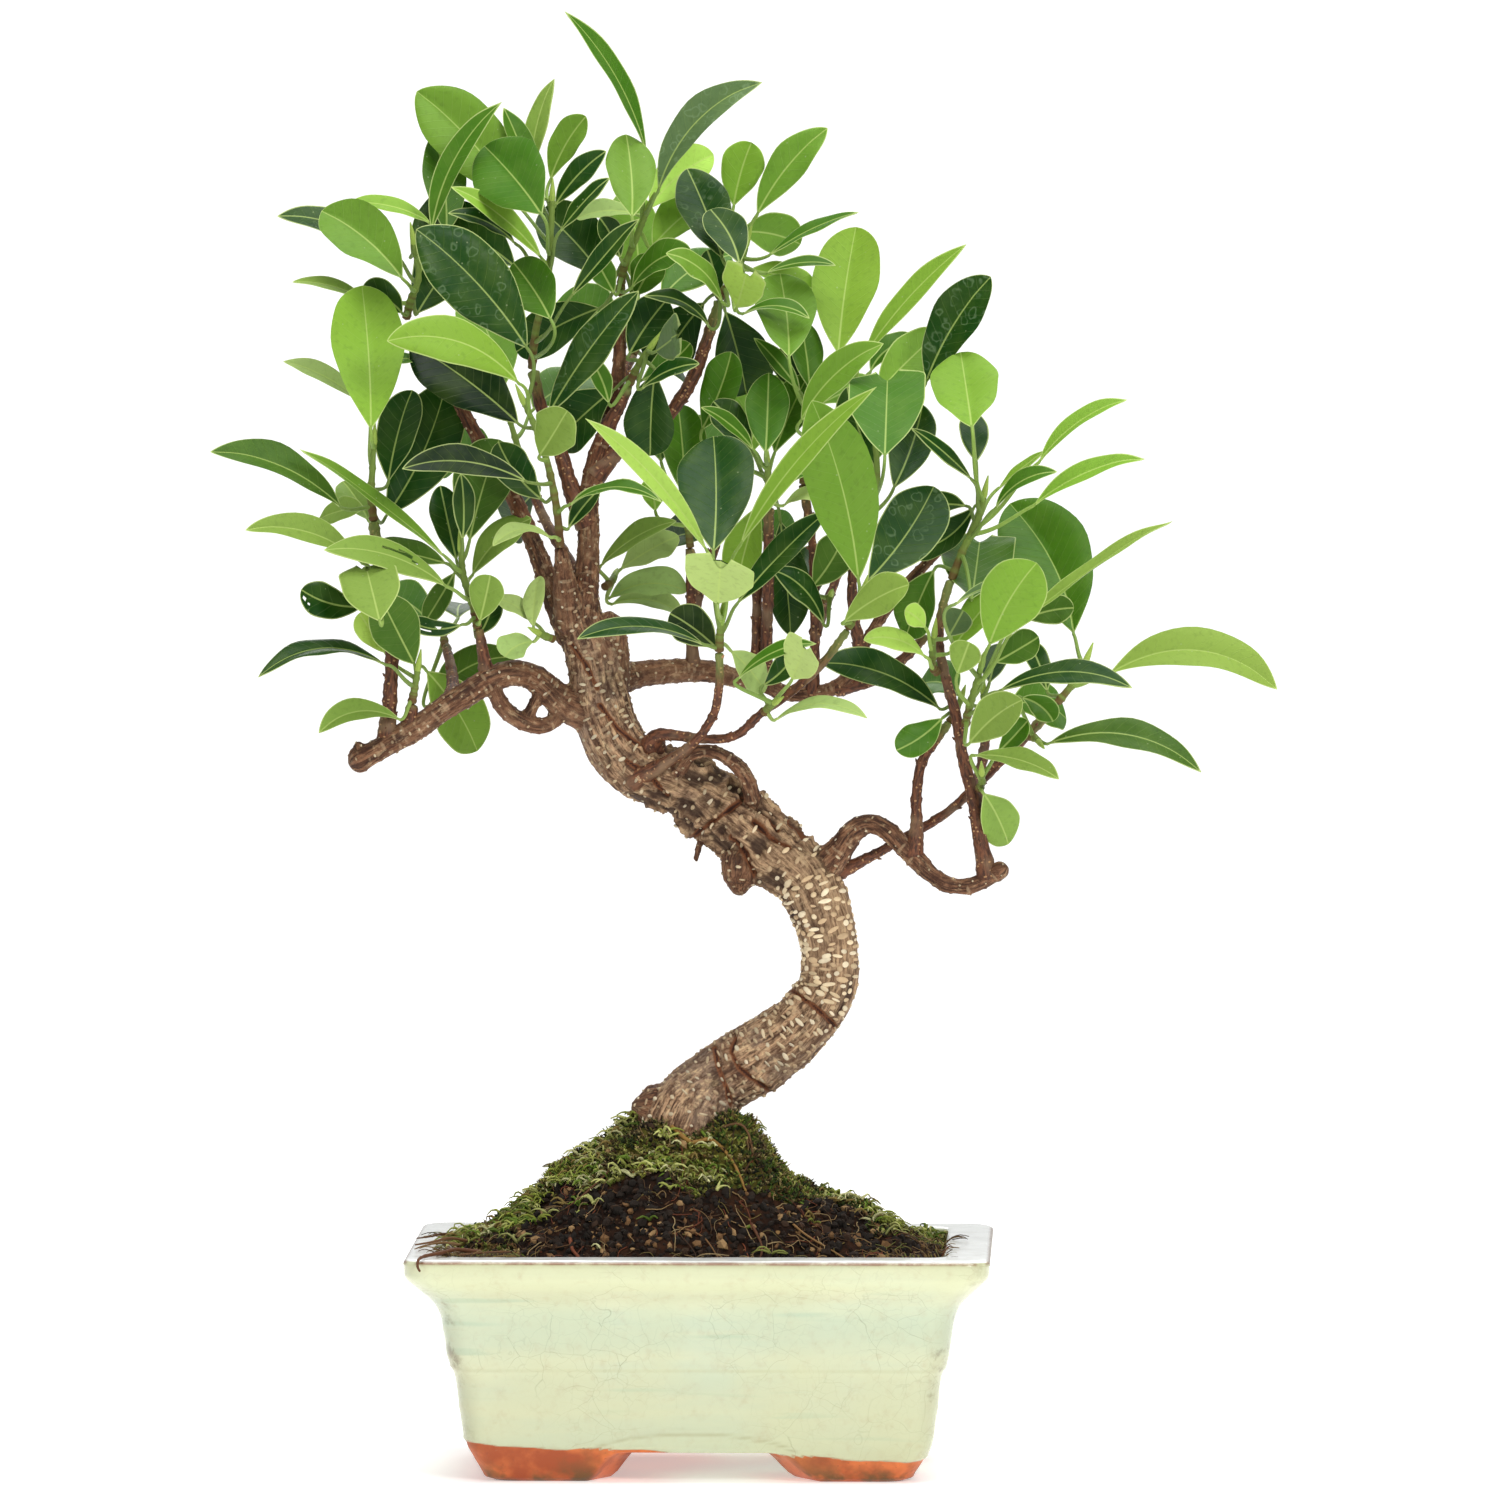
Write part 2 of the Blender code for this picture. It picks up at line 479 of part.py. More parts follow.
SHOOTS = {
    # name: (stem places, leaves)
    # leaf: (share of the stem, base, tip, width, tilt in degrees, arch, tone)
    "shoot_crown_left": (
        ((-56.5, 9.0, 378.5), (-55.0, 2.0, 392.0), (-51.0, -6.0, 408.0), (-50.0, -8.0, 422.0),
         (-49.5, -8.0, 436.0)),
        ((0.06, (-50.0, -34.0, 395.0), (-63.0, -8.0, 415.0), 17.0, 10.0, 1.0, "mid"),
         (0.16, (-43.0, -18.0, 403.0), (-20.0, -26.0, 430.0), 9.0, 40.0, 1.0, "dark"),
         (0.36, (-62.0, 14.0, 413.0), (-92.0, 28.0, 431.0), 19.0, 25.0, 2.0, "mid"),
         (0.42, (-53.0, -20.0, 416.0), (-84.0, -26.0, 441.0), 9.0, 40.0, 3.0, "young"),
         (0.52, (-62.0, -6.0, 421.0), (-85.0, -10.0, 432.0), 8.0, 50.0, 3.0, "dark"),
         (0.62, (-47.0, -14.0, 425.0), (-30.0, -18.0, 444.0), 8.0, 50.0, 1.0, "dark"),
         (0.7, (-53.0, -34.0, 431.0), (-73.0, 6.0, 455.0), 25.0, 5.0, 1.0, "mid"),
         (0.76, (-60.0, 14.0, 433.0), (-96.0, 26.0, 474.0), 24.0, 15.0, 3.0, "young"),
         (0.84, (-48.5, 2.0, 434.0), (-31.0, 0.0, 453.0), 10.0, 30.0, 2.0, "dark"),
         (0.88, (-55.0, 18.0, 440.0), (-66.0, 24.0, 468.0), 10.0, 30.0, 1.0, "mid"),
         (0.92, (-50.0, 10.0, 443.0), (-38.0, 8.0, 465.0), 12.0, 25.0, 2.0, "young"),
         (1.0, (-57.0, 20.0, 444.0), (-49.0, 26.0, 478.0), 9.0, 35.0, 2.0, "young"))),
    "shoot_crown_mid": (
        ((-26.0, 13.3, 403.5), (-25.0, 12.0, 412.0), (-21.0, 10.0, 422.0), (-17.0, 8.0, 432.0)),
        ((0.04, (-22.0, -2.0, 406.0), (-2.0, -10.0, 419.0), 12.0, 45.0, 4.0, "mid"),
         (0.1, (-33.0, 22.0, 399.0), (-62.0, 34.0, 384.0), 18.0, 25.0, 2.0, "dark"),
         (0.14, (-28.0, 4.0, 404.0), (-35.0, 0.0, 417.0), 9.0, 10.0, 0.0, "mid"),
         (0.24, (-21.0, 16.0, 403.0), (-14.0, 16.0, 417.0), 13.0, 15.0, 0.0, "mid"),
         (0.34, (-26.0, 2.0, 416.0), (-33.0, -2.0, 430.0), 9.0, 20.0, 1.0, "dark"),
         (0.4, (-31.0, 22.0, 408.0), (-53.0, 34.0, 433.0), 21.0, 25.0, 2.0, "mid"),
         (0.58, (-22.0, -16.0, 430.0), (-24.0, 10.0, 459.0), 17.0, 5.0, 1.0, "mid"),
         (0.7, (-20.0, 22.0, 431.0), (-41.0, 26.0, 430.0), 10.0, 55.0, 3.0, "young"),
         (0.7, (-15.0, 16.0, 420.0), (6.0, 26.0, 439.0), 18.0, 30.0, 2.0, "young"),
         (0.8, (-16.0, 20.0, 433.0), (6.0, 24.0, 452.0), 16.0, 20.0, 3.0, "young"),
         (0.9, (-17.0, 4.0, 452.0), (-45.0, -6.0, 501.0), 10.0, 55.0, 5.0, "mid"),
         (1.0, (-13.0, 2.0, 439.0), (22.0, -4.0, 477.0), 14.0, 35.0, 8.0, "pale"))),
    "shoot_crown_right": (
        ((8.0, 15.0, 402.5), (12.0, 14.0, 408.0), (15.0, 13.0, 414.0), (17.0, 12.0, 420.0)),
        ((0.05, (5.0, 2.0, 392.0), (-18.0, -8.0, 403.0), 8.0, 50.0, 5.0, "dark"),
         (0.1, (3.0, 24.0, 401.0), (-14.0, 36.0, 378.0), 20.0, 20.0, 1.0, "mid"),
         (0.16, (9.0, -4.0, 401.0), (-10.0, -14.0, 418.0), 10.0, 50.0, 4.0, "mid"),
         (0.2, (10.0, 24.0, 398.0), (18.0, 40.0, 369.0), 22.0, 20.0, 1.0, "dark"),
         (0.26, (14.0, -6.0, 399.0), (18.0, -30.0, 413.0), 15.0, 15.0, 0.0, "young"),
         (0.36, (16.0, 4.0, 397.0), (39.0, -4.0, 396.0), 7.0, 60.0, 4.0, "mid"),
         (0.46, (7.0, 22.0, 403.0), (4.0, 22.0, 419.0), 9.0, 15.0, 1.0, "dark"),
         (0.5, (18.0, 20.0, 412.0), (42.0, 26.0, 405.0), 12.0, 45.0, 2.0, "young"),
         (0.56, (9.0, -4.0, 416.0), (-3.0, 18.0, 447.0), 18.0, 10.0, 1.0, "dark"),
         (0.64, (24.0, 16.0, 411.0), (48.0, 12.0, 414.0), 7.0, 60.0, 3.0, "mid"),
         (0.72, (15.0, -16.0, 414.0), (5.0, 2.0, 433.0), 14.0, 15.0, 2.0, "dark"),
         (0.8, (25.0, 6.0, 417.0), (56.0, 0.0, 432.0), 8.0, 55.0, 3.0, "dark"),
         (0.86, (15.0, 24.0, 425.0), (36.0, 26.0, 421.0), 15.0, 20.0, 2.0, "mid"),
         (0.92, (21.0, 14.0, 431.0), (45.0, 12.0, 461.0), 14.0, 20.0, 3.0, "mid"),
         (1.0, (13.0, 22.0, 434.0), (19.0, 22.0, 456.0), 15.0, 10.0, 1.0, "young"))),
    "shoot_left_top": (
        ((-99.8, 8.0, 395.4), (-98.0, 7.0, 402.0), (-95.5, 6.0, 410.0), (-97.0, 5.0, 421.0)),
        ((0.08, (-101.0, -2.0, 397.0), (-115.0, -6.0, 405.0), 12.0, 20.0, 2.0, "dark"),
         (0.2, (-113.0, 10.0, 401.0), (-139.0, 8.0, 408.0), 9.0, 60.0, 3.0, "mid"),
         (0.2, (-96.0, 14.0, 397.0), (-79.0, 30.0, 421.0), 22.0, 20.0, 1.0, "dark"),
         (0.34, (-101.0, -16.0, 409.0), (-129.0, 4.0, 433.0), 20.0, 20.0, 3.0, "mid"),
         (0.48, (-104.0, 14.0, 417.0), (-144.0, 14.0, 431.0), 12.0, 50.0, 4.0, "dark"),
         (0.62, (-91.0, 8.0, 428.0), (-120.0, 4.0, 435.0), 10.0, 55.0, 4.0, "young"),
         (0.8, (-91.0, -4.0, 425.0), (-67.0, -2.0, 470.0), 10.0, 30.0, 6.0, "mid"),
         (0.85, (-98.0, 14.0, 417.0), (-84.0, 24.0, 440.0), 12.0, 35.0, 1.0, "dark"),
         (1.0, (-86.0, 18.0, 424.0), (-90.0, 40.0, 459.0), 15.0, 15.0, 2.0, "mid"))),
    "shoot_left_mid": (
        ((-87.5, 5.5, 378.0), (-90.0, 2.0, 380.0), (-92.0, -1.0, 381.5)),
        ((1.0, (-93.0, -4.0, 380.0), (-112.0, -10.0, 377.0), 9.0, 55.0, 4.0, "mid"),)),
    "shoot_left_tower": (
        ((-111.0, -11.0, 325.8), (-112.0, -10.0, 334.0), (-111.5, -9.0, 343.0), (-111.0, -8.0, 352.0)),
        ((0.05, (-107.0, 6.0, 327.0), (-86.0, 14.0, 374.0), 22.0, 10.0, -3.0, "dark"),
         (0.17, (-122.0, -16.0, 330.0), (-167.0, -26.0, 350.0), 14.0, 45.0, 6.0, "dark"),
         (0.3, (-114.0, 8.0, 330.0), (-131.0, 34.0, 326.0), 10.0, 30.0, 2.0, "pale"),
         (0.4, (-106.0, 0.0, 339.0), (-98.0, 12.0, 371.0), 16.0, 25.0, 1.0, "dark"),
         (0.42, (-113.0, 16.0, 326.0), (-122.0, 46.0, 340.0), 12.0, 20.0, 1.0, "pale"),
         (0.7, (-116.0, 6.0, 367.0), (-142.0, 10.0, 381.0), 10.0, 50.0, 3.0, "pale"),
         (1.0, (-112.0, -24.0, 357.0), (-115.0, 2.0, 407.0), 25.0, 5.0, 1.0, "young"))),
    "shoot_left_side": (
        ((-110.5, -14.8, 308.0), (-113.0, -18.0, 309.0), (-114.0, -22.0, 308.0),
         (-113.0, -26.0, 303.0)),
        ((0.2, (-115.0, -24.0, 311.0), (-155.0, -34.0, 323.0), 12.0, 45.0, 6.0, "mid"),
         (0.6, (-115.0, -22.0, 296.0), (-136.0, -30.0, 302.0), 12.0, 15.0, -2.0, "dark"),
         (1.0, (-109.0, -58.0, 291.0), (-114.0, -30.0, 311.0), 19.0, 5.0, 0.0, "mid"))),
    "shoot_low_left": (
        ((-98.0, -18.0, 263.0), (-97.0, -19.0, 268.0), (-96.0, -20.0, 274.0)),
        ((0.1, (-102.0, -22.0, 257.0), (-130.0, -34.0, 253.0), 10.0, 45.0, 6.0, "mid"),
         (0.3, (-93.0, 4.0, 274.0), (-75.0, 24.0, 246.0), 19.0, 15.0, 2.0, "young"),
         (0.5, (-107.0, -24.0, 276.0), (-151.0, -40.0, 272.0), 12.0, 60.0, 9.0, "dark"),
         (0.75, (-107.0, -8.0, 280.0), (-116.0, -6.0, 294.0), 10.0, 15.0, 0.0, "young"),
         (1.0, (-97.0, -28.0, 276.0), (-109.0, -54.0, 300.0), 17.0, 10.0, 0.0, "mid"))),
    "shoot_low_back": (
        ((-86.5, 22.8, 282.5), (-87.0, 27.0, 286.0), (-87.0, 33.0, 288.0)),
        ((0.3, (-92.0, 24.0, 262.0), (-62.0, 20.0, 279.0), 13.0, 30.0, 6.0, "mid"),
         (0.6, (-93.0, 44.0, 292.0), (-112.0, 70.0, 302.0), 18.0, 40.0, 3.0, "mid"),
         (1.0, (-82.0, 48.0, 292.0), (-76.0, 82.0, 296.0), 18.0, 60.0, 5.0, "dark"))),
    "shoot_branch": (
        ((-75.3, -12.0, 288.9), (-77.0, -12.0, 297.0), (-80.0, -12.0, 306.0), (-81.0, -12.0, 315.0)),
        ((0.04, (-74.5, -18.0, 291.0), (-71.0, -22.0, 307.0), 12.0, 10.0, 0.0, "mid"),
         (0.12, (-80.5, -20.0, 290.0), (-101.0, -26.0, 293.0), 8.0, 45.0, -3.0, "dark"),
         (0.22, (-75.0, -2.0, 286.0), (-70.0, 2.0, 299.0), 9.0, 20.0, -1.0, "dark"),
         (0.36, (-86.0, -22.0, 303.0), (-128.0, -32.0, 316.0), 13.0, 45.0, 6.0, "mid"),
         (0.48, (-83.0, 2.0, 308.0), (-94.0, 6.0, 290.0), 9.0, 20.0, 0.0, "mid"),
         (0.6, (-77.0, 0.0, 307.0), (-57.0, 4.0, 327.0), 13.0, 35.0, 3.0, "mid"),
         (0.7, (-86.0, -6.0, 311.0), (-112.0, 4.0, 318.0), 12.0, 40.0, 1.0, "mid"),
         (0.72, (-86.0, -16.0, 313.0), (-136.0, -28.0, 351.0), 9.0, 65.0, 3.0, "young"),
         (0.86, (-82.5, 0.0, 312.0), (-88.0, 6.0, 338.0), 12.0, 15.0, 0.0, "dark"),
         (0.95, (-78.0, -4.0, 319.0), (-68.0, 8.0, 354.0), 21.0, 20.0, 1.0, "mid"),
         (1.0, (-80.5, -14.0, 319.0), (-81.0, -18.0, 342.0), 8.0, 25.0, 1.0, "dark"))),
    "shoot_core_left": (
        ((-46.8, -15.0, 316.9), (-48.0, -19.0, 330.0), (-51.0, -23.0, 345.0), (-55.0, -26.0, 357.0),
         (-59.0, -28.0, 366.0)),
        ((0.05, (-50.0, -28.0, 320.0), (-70.0, -38.0, 317.0), 8.0, 60.0, 5.0, "pale"),
         (0.13, (-44.0, -16.0, 323.0), (-33.0, -18.0, 337.0), 8.0, 30.0, 1.0, "dark"),
         (0.24, (-44.0, -26.0, 331.0), (-12.0, -40.0, 333.0), 8.0, 60.0, 6.0, "mid"),
         (0.34, (-53.0, -10.0, 333.0), (-68.0, -4.0, 353.0), 13.0, 20.0, -2.0, "dark"),
         (0.44, (-58.0, -34.0, 339.0), (-101.0, -46.0, 344.0), 12.0, 35.0, 6.0, "dark"),
         (0.6, (-54.0, -34.0, 348.0), (-45.0, -66.0, 363.0), 16.0, 10.0, 0.0, "mid"),
         (0.72, (-51.0, -18.0, 362.0), (-20.0, -26.0, 405.0), 14.0, 25.0, 2.0, "dark"),
         (0.82, (-61.0, -14.0, 359.0), (-98.0, -2.0, 387.0), 23.0, 20.0, 2.0, "dark"),
         (0.91, (-61.0, -40.0, 373.0), (-106.0, -54.0, 388.0), 17.0, 30.0, 8.0, "young"),
         (1.0, (-58.0, -34.0, 385.0), (-96.0, -44.0, 426.0), 24.0, 10.0, 3.0, "dark"))),
    "shoot_core_mid": (
        ((-23.0, -4.6, 372.8), (-20.0, -7.0, 379.0), (-16.0, -9.0, 385.0)),
        ((0.1, (-30.0, -12.0, 366.0), (-36.0, -16.0, 381.0), 7.0, 15.0, 1.0, "mid"),
         (0.2, (-28.0, 4.0, 371.0), (-49.0, 16.0, 352.0), 19.0, 25.0, 1.0, "mid"),
         (0.35, (-19.0, 0.0, 374.0), (-2.0, 2.0, 387.0), 11.0, 25.0, -1.0, "mid"),
         (0.6, (-23.0, 6.0, 383.0), (-10.0, 8.0, 402.0), 15.0, 10.0, 1.0, "dark"),
         (0.6, (-14.0, 2.0, 377.0), (-16.0, 16.0, 348.0), 18.0, 20.0, 1.0, "dark"),
         (0.8, (-19.0, -14.0, 371.0), (1.0, -20.0, 380.0), 8.0, 50.0, 3.0, "dark"),
         (1.0, (-14.0, -16.0, 384.0), (-6.0, -44.0, 391.0), 14.0, 30.0, 0.0, "mid"))),
    "shoot_trunk_left": (
        ((-49.3, -8.0, 285.0), (-52.0, -11.0, 286.0), (-54.0, -14.0, 287.0)),
        ((0.5, (-55.0, -6.0, 290.0), (-69.0, -4.0, 299.0), 8.0, 50.0, 2.0, "pale"),
         (0.9, (-56.0, -10.0, 289.0), (-54.0, 0.0, 307.0), 9.0, 35.0, 1.0, "pale"),
         (1.0, (-56.0, -12.0, 284.0), (-66.0, -16.0, 279.0), 11.0, 30.0, 2.0, "pale"))),
    "shoot_trunk_right": (
        ((-31.5, 9.0, 303.0), (-29.0, 14.0, 305.0), (-28.0, 20.0, 307.0)),
        ((0.3, (-33.0, 8.0, 310.0), (-7.0, 2.0, 326.0), 10.0, 50.0, 3.0, "mid"),
         (0.65, (-30.0, 18.0, 299.0), (-3.0, 20.0, 302.0), 13.0, 45.0, 5.0, "pale"),
         (0.8, (-26.0, 25.0, 309.0), (-6.0, 34.0, 321.0), 12.0, 35.0, 1.0, "pale"),
         (1.0, (-29.0, 30.0, 297.0), (-5.0, 34.0, 294.0), 12.0, 55.0, 4.0, "pale"))),
    "shoot_heart": (
        ((8.0, -38.3, 280.9), (8.3, -40.0, 287.0), (9.0, -43.0, 293.0)),
        ((0.08, (3.0, -42.0, 283.0), (-41.0, -56.0, 285.0), 12.0, 60.0, 7.0, "dark"),
         (0.2, (12.0, -30.0, 281.0), (24.0, -16.0, 267.0), 12.0, 30.0, 1.0, "pale"),
         (0.26, (7.0, -30.0, 282.0), (-9.0, -28.0, 294.0), 14.0, 15.0, 1.0, "dark"),
         (0.44, (14.0, -38.0, 297.0), (46.0, -34.0, 330.0), 11.0, 30.0, 2.0, "dark"),
         (0.58, (6.0, -56.0, 315.0), (6.0, -26.0, 355.0), 26.0, 0.0, 1.0, "dark"),
         (0.7, (15.0, -60.0, 317.0), (62.0, -80.0, 372.0), 9.0, 25.0, 5.0, "young"),
         (0.84, (4.0, -62.0, 315.0), (-38.0, -84.0, 361.0), 8.0, 30.0, 5.0, "young"),
         (1.0, (7.5, -58.0, 297.0), (8.5, -92.0, 314.0), 23.0, 0.0, 0.0, "pale"))),
    "shoot_front_twig": (
        ((52.3, -44.2, 288.8), (55.0, -45.0, 294.0), (57.0, -46.0, 300.0)),
        ((0.2, (51.0, -54.0, 291.0), (73.0, -66.0, 304.0), 14.0, 25.0, 2.0, "mid"),
         (0.6, (59.0, -46.0, 305.0), (82.0, -24.0, 338.0), 21.0, 5.0, -2.0, "dark"),
         (1.0, (56.0, -56.0, 305.0), (40.0, -68.0, 367.0), 24.0, 5.0, 3.0, "young"))),
    "shoot_front_low": (
        ((23.6, -34.2, 259.6), (25.0, -37.0, 261.5), (27.0, -41.0, 263.0)),
        ((0.15, (27.0, -36.0, 257.0), (59.0, -50.0, 258.0), 9.0, 60.0, 6.0, "pale"),
         (0.4, (23.0, -26.0, 269.0), (34.0, -24.0, 280.0), 9.0, 20.0, -1.0, "dark"),
         (0.7, (33.0, -44.0, 271.0), (38.0, -70.0, 284.0), 14.0, 15.0, 0.0, "mid"),
         (1.0, (14.0, -46.0, 271.0), (41.0, -56.0, 284.0), 7.0, 55.0, 4.0, "mid"))),
    "shoot_mid_riser": (
        ((25.0, 7.6, 330.9), (25.0, 4.0, 338.0), (24.5, 0.0, 346.0)),
        ((0.15, (30.0, -2.0, 331.0), (47.0, -8.0, 333.0), 7.0, 50.0, 4.0, "pale"),
         (0.25, (22.0, 14.0, 331.0), (14.0, 24.0, 303.0), 14.0, 25.0, 1.0, "young"),
         (0.3, (29.0, 16.0, 326.0), (33.0, 24.0, 286.0), 16.0, 25.0, 1.0, "dark"),
         (0.35, (19.0, 8.0, 350.0), (6.0, 10.0, 367.0), 12.0, 15.0, 1.0, "dark"),
         (0.6, (2.0, 16.0, 357.0), (12.0, 14.0, 384.0), 14.0, 15.0, -1.0, "mid"),
         (0.6, (27.0, 8.0, 349.0), (39.0, 20.0, 377.0), 14.0, 25.0, 1.0, "mid"),
         (0.8, (20.0, -6.0, 350.0), (2.0, -14.0, 365.0), 7.0, 40.0, 2.0, "mid"),
         (1.0, (24.0, -6.0, 349.0), (25.0, 14.0, 377.0), 15.0, 5.0, 0.0, "mid"))),
    "shoot_right_riser": (
        ((36.9, 9.5, 338.8), (37.5, 7.0, 349.0), (38.5, 4.0, 360.0), (40.0, 2.0, 368.0)),
        ((0.2, (41.0, -4.0, 342.0), (27.0, -10.0, 338.0), 6.0, 50.0, 2.0, "mid"),
         (0.55, (36.0, -10.0, 360.0), (64.0, -22.0, 387.0), 13.0, 30.0, 4.0, "young"),
         (0.68, (36.0, 8.0, 370.0), (20.0, 12.0, 389.0), 7.0, 30.0, 1.0, "mid"),
         (0.75, (43.0, 6.0, 366.0), (62.0, 16.0, 374.0), 12.0, 35.0, 1.0, "young"),
         (0.78, (38.0, 18.0, 369.0), (26.0, 22.0, 384.0), 10.0, 20.0, 1.0, "dark"),
         (0.88, (32.0, -2.0, 382.0), (29.0, 28.0, 411.0), 21.0, 5.0, 1.0, "young"),
         (0.9, (39.0, 8.0, 371.0), (36.0, 18.0, 395.0), 13.0, 25.0, 1.0, "mid"),
         (1.0, (49.0, 8.0, 383.0), (55.0, 34.0, 427.0), 23.0, 5.0, 1.0, "young"))),
    "shoot_right_low": (
        ((44.2, 16.5, 298.5), (46.0, 13.0, 299.5), (46.5, 9.0, 300.5)),
        ((0.3, (40.0, 2.0, 303.0), (51.0, -2.0, 321.0), 14.0, 15.0, -1.0, "mid"),
         (1.0, (44.0, 4.0, 290.0), (27.0, -2.0, 309.0), 10.0, 40.0, 4.0, "dark"))),
    "shoot_dark_riser": (
        ((54.0, 3.2, 314.9), (58.0, -2.0, 325.0), (62.0, -6.0, 336.0), (62.0, -5.0, 350.0),
         (60.0, -2.0, 364.0)),
        ((0.28, (68.0, 2.0, 337.0), (78.0, 22.0, 366.0), 15.0, 15.0, -1.0, "dark"),
         (0.42, (65.0, -52.0, 348.0), (66.0, -14.0, 378.0), 25.0, 0.0, 0.0, "mid"),
         (0.56, (62.0, 6.0, 343.0), (52.0, 8.0, 372.0), 13.0, 15.0, -1.0, "dark"),
         (0.76, (60.0, 20.0, 377.0), (76.0, 26.0, 388.0), 10.0, 35.0, 4.0, "mid"),
         (0.88, (79.0, 4.0, 373.0), (101.0, 2.0, 410.0), 17.0, 20.0, 3.0, "dark"),
         (0.95, (62.0, 6.0, 369.0), (84.0, 14.0, 391.0), 16.0, 25.0, 1.0, "young"),
         (1.0, (57.0, -6.0, 381.0), (93.0, -14.0, 421.0), 10.0, 45.0, 3.0, "young"))),
    "shoot_right_column": (
        ((88.0, -12.0, 305.8), (92.0, -12.0, 316.0), (97.0, -12.0, 326.0), (99.0, -12.0, 334.0)),
        ((0.1, (82.0, -2.0, 309.0), (72.0, 10.0, 286.0), 16.0, 25.0, 1.0, "mid"),
         (0.3, (95.0, -24.0, 299.0), (98.0, 14.0, 322.0), 24.0, 5.0, 0.0, "dark"),
         (0.5, (96.0, 0.0, 331.0), (71.0, 4.0, 315.0), 12.0, 35.0, -4.0, "dark"),
         (0.58, (103.0, -20.0, 330.0), (124.0, -28.0, 343.0), 8.0, 45.0, 4.0, "mid"),
         (0.66, (116.0, -14.0, 331.0), (154.0, -20.0, 348.0), 9.0, 50.0, 4.0, "young"),
         (0.74, (118.0, -6.0, 346.0), (148.0, -8.0, 368.0), 9.0, 50.0, 4.0, "young"),
         (0.8, (93.0, -4.0, 331.0), (77.0, 6.0, 331.0), 9.0, 35.0, 1.0, "dark"),
         (0.82, (104.0, 6.0, 337.0), (120.0, 8.0, 350.0), 6.0, 60.0, 1.0, "young"),
         (0.9, (95.0, -24.0, 340.0), (74.0, -32.0, 358.0), 7.0, 45.0, 1.0, "dark"),
         (0.95, (96.5, -2.0, 346.0), (95.0, 14.0, 364.0), 10.0, 10.0, 0.0, "dark"),
         (1.0, (95.0, -30.0, 358.0), (91.0, 8.0, 384.0), 23.0, 0.0, 0.0, "young"))),
    "shoot_right_column_back": (
        ((99.6, 15.0, 252.5), (99.0, 20.0, 258.0), (99.0, 26.0, 266.0)),
        ((0.4, (108.0, 34.0, 262.0), (128.0, 62.0, 258.0), 18.0, 40.0, 4.0, "mid"),
         (0.7, (90.0, 38.0, 266.0), (76.0, 70.0, 270.0), 18.0, 45.0, 4.0, "mid"),
         (1.0, (101.0, 24.0, 270.0), (104.0, 40.0, 284.0), 10.0, 15.0, 0.0, "dark"))),
    "shoot_column_side": (
        ((83.0, -19.0, 273.5), (81.5, -22.0, 276.0), (81.5, -25.0, 281.0), (82.0, -28.0, 286.0)),
        ((0.2, (79.0, -30.0, 279.0), (58.0, -40.0, 285.0), 9.0, 40.0, 4.0, "young"),
         (0.5, (88.0, -20.0, 281.0), (105.0, -14.0, 303.0), 12.0, 30.0, 1.0, "young"),
         (0.6, (79.0, -32.0, 289.0), (72.0, -38.0, 295.0), 8.0, 20.0, 1.0, "young"),
         (1.0, (87.0, -30.0, 286.0), (92.0, -34.0, 295.0), 10.0, 10.0, 0.0, "dark"))),
    "shoot_right_heart": (
        ((92.8, -22.3, 255.5), (94.0, -26.0, 261.0), (96.0, -29.0, 268.0), (98.0, -31.0, 275.0)),
        ((0.08, (94.0, -40.0, 249.0), (112.0, -64.0, 264.0), 14.0, 15.0, 2.0, "mid"),
         (0.22, (104.0, -44.0, 267.0), (150.0, -58.0, 269.0), 11.0, 50.0, 7.0, "dark"),
         (0.38, (90.0, -38.0, 273.0), (94.0, -44.0, 284.0), 11.0, 10.0, 0.0, "mid"),
         (0.5, (103.0, -30.0, 277.0), (118.0, -34.0, 286.0), 11.0, 15.0, 0.0, "dark"),
         (0.62, (113.0, -16.0, 292.0), (130.0, -20.0, 296.0), 10.0, 20.0, 1.0, "dark"),
         (0.74, (112.0, -46.0, 291.0), (163.0, -66.0, 327.0), 9.0, 60.0, 2.0, "mid"),
         (0.86, (89.0, -50.0, 297.0), (120.0, -62.0, 303.0), 7.0, 60.0, 5.0, "mid"),
         (1.0, (101.0, -42.0, 283.0), (117.0, -66.0, 311.0), 21.0, 5.0, 2.0, "young"))),
    "shoot_right_bottom": (
        ((97.5, -23.0, 233.5), (98.5, -27.0, 235.5), (98.5, -31.0, 238.5)),
        ((0.2, (99.0, -14.0, 232.0), (108.0, 6.0, 214.0), 14.0, 10.0, 1.0, "pale"),
         (0.6, (96.0, -38.0, 245.0), (125.0, -54.0, 237.0), 10.0, 45.0, 4.0, "pale"),
         (1.0, (104.0, -34.0, 246.0), (114.0, -40.0, 257.0), 9.0, 20.0, 0.0, "mid"))),
    "shoot_right_inner": (
        ((87.4, -9.0, 256.8), (89.5, -6.0, 260.0), (91.0, -2.0, 264.0)),
        ((0.4, (85.0, -18.0, 258.0), (69.0, -24.0, 247.0), 12.0, 20.0, -1.0, "mid"),
         (1.0, (84.0, -6.0, 261.0), (43.0, -14.0, 277.0), 14.0, 40.0, 6.0, "dark"))),
    "shoot_long_twig": (
        ((124.5, -11.0, 263.3), (128.0, -11.0, 267.5), (132.0, -11.0, 272.5), (134.0, -10.0, 277.0)),
        ((0.15, (121.0, -4.0, 267.0), (114.0, 0.0, 285.0), 8.0, 20.0, 1.0, "dark"),
         (0.45, (142.0, -16.0, 273.0), (200.0, -22.0, 269.0), 17.0, 40.0, 13.0, "mid"),
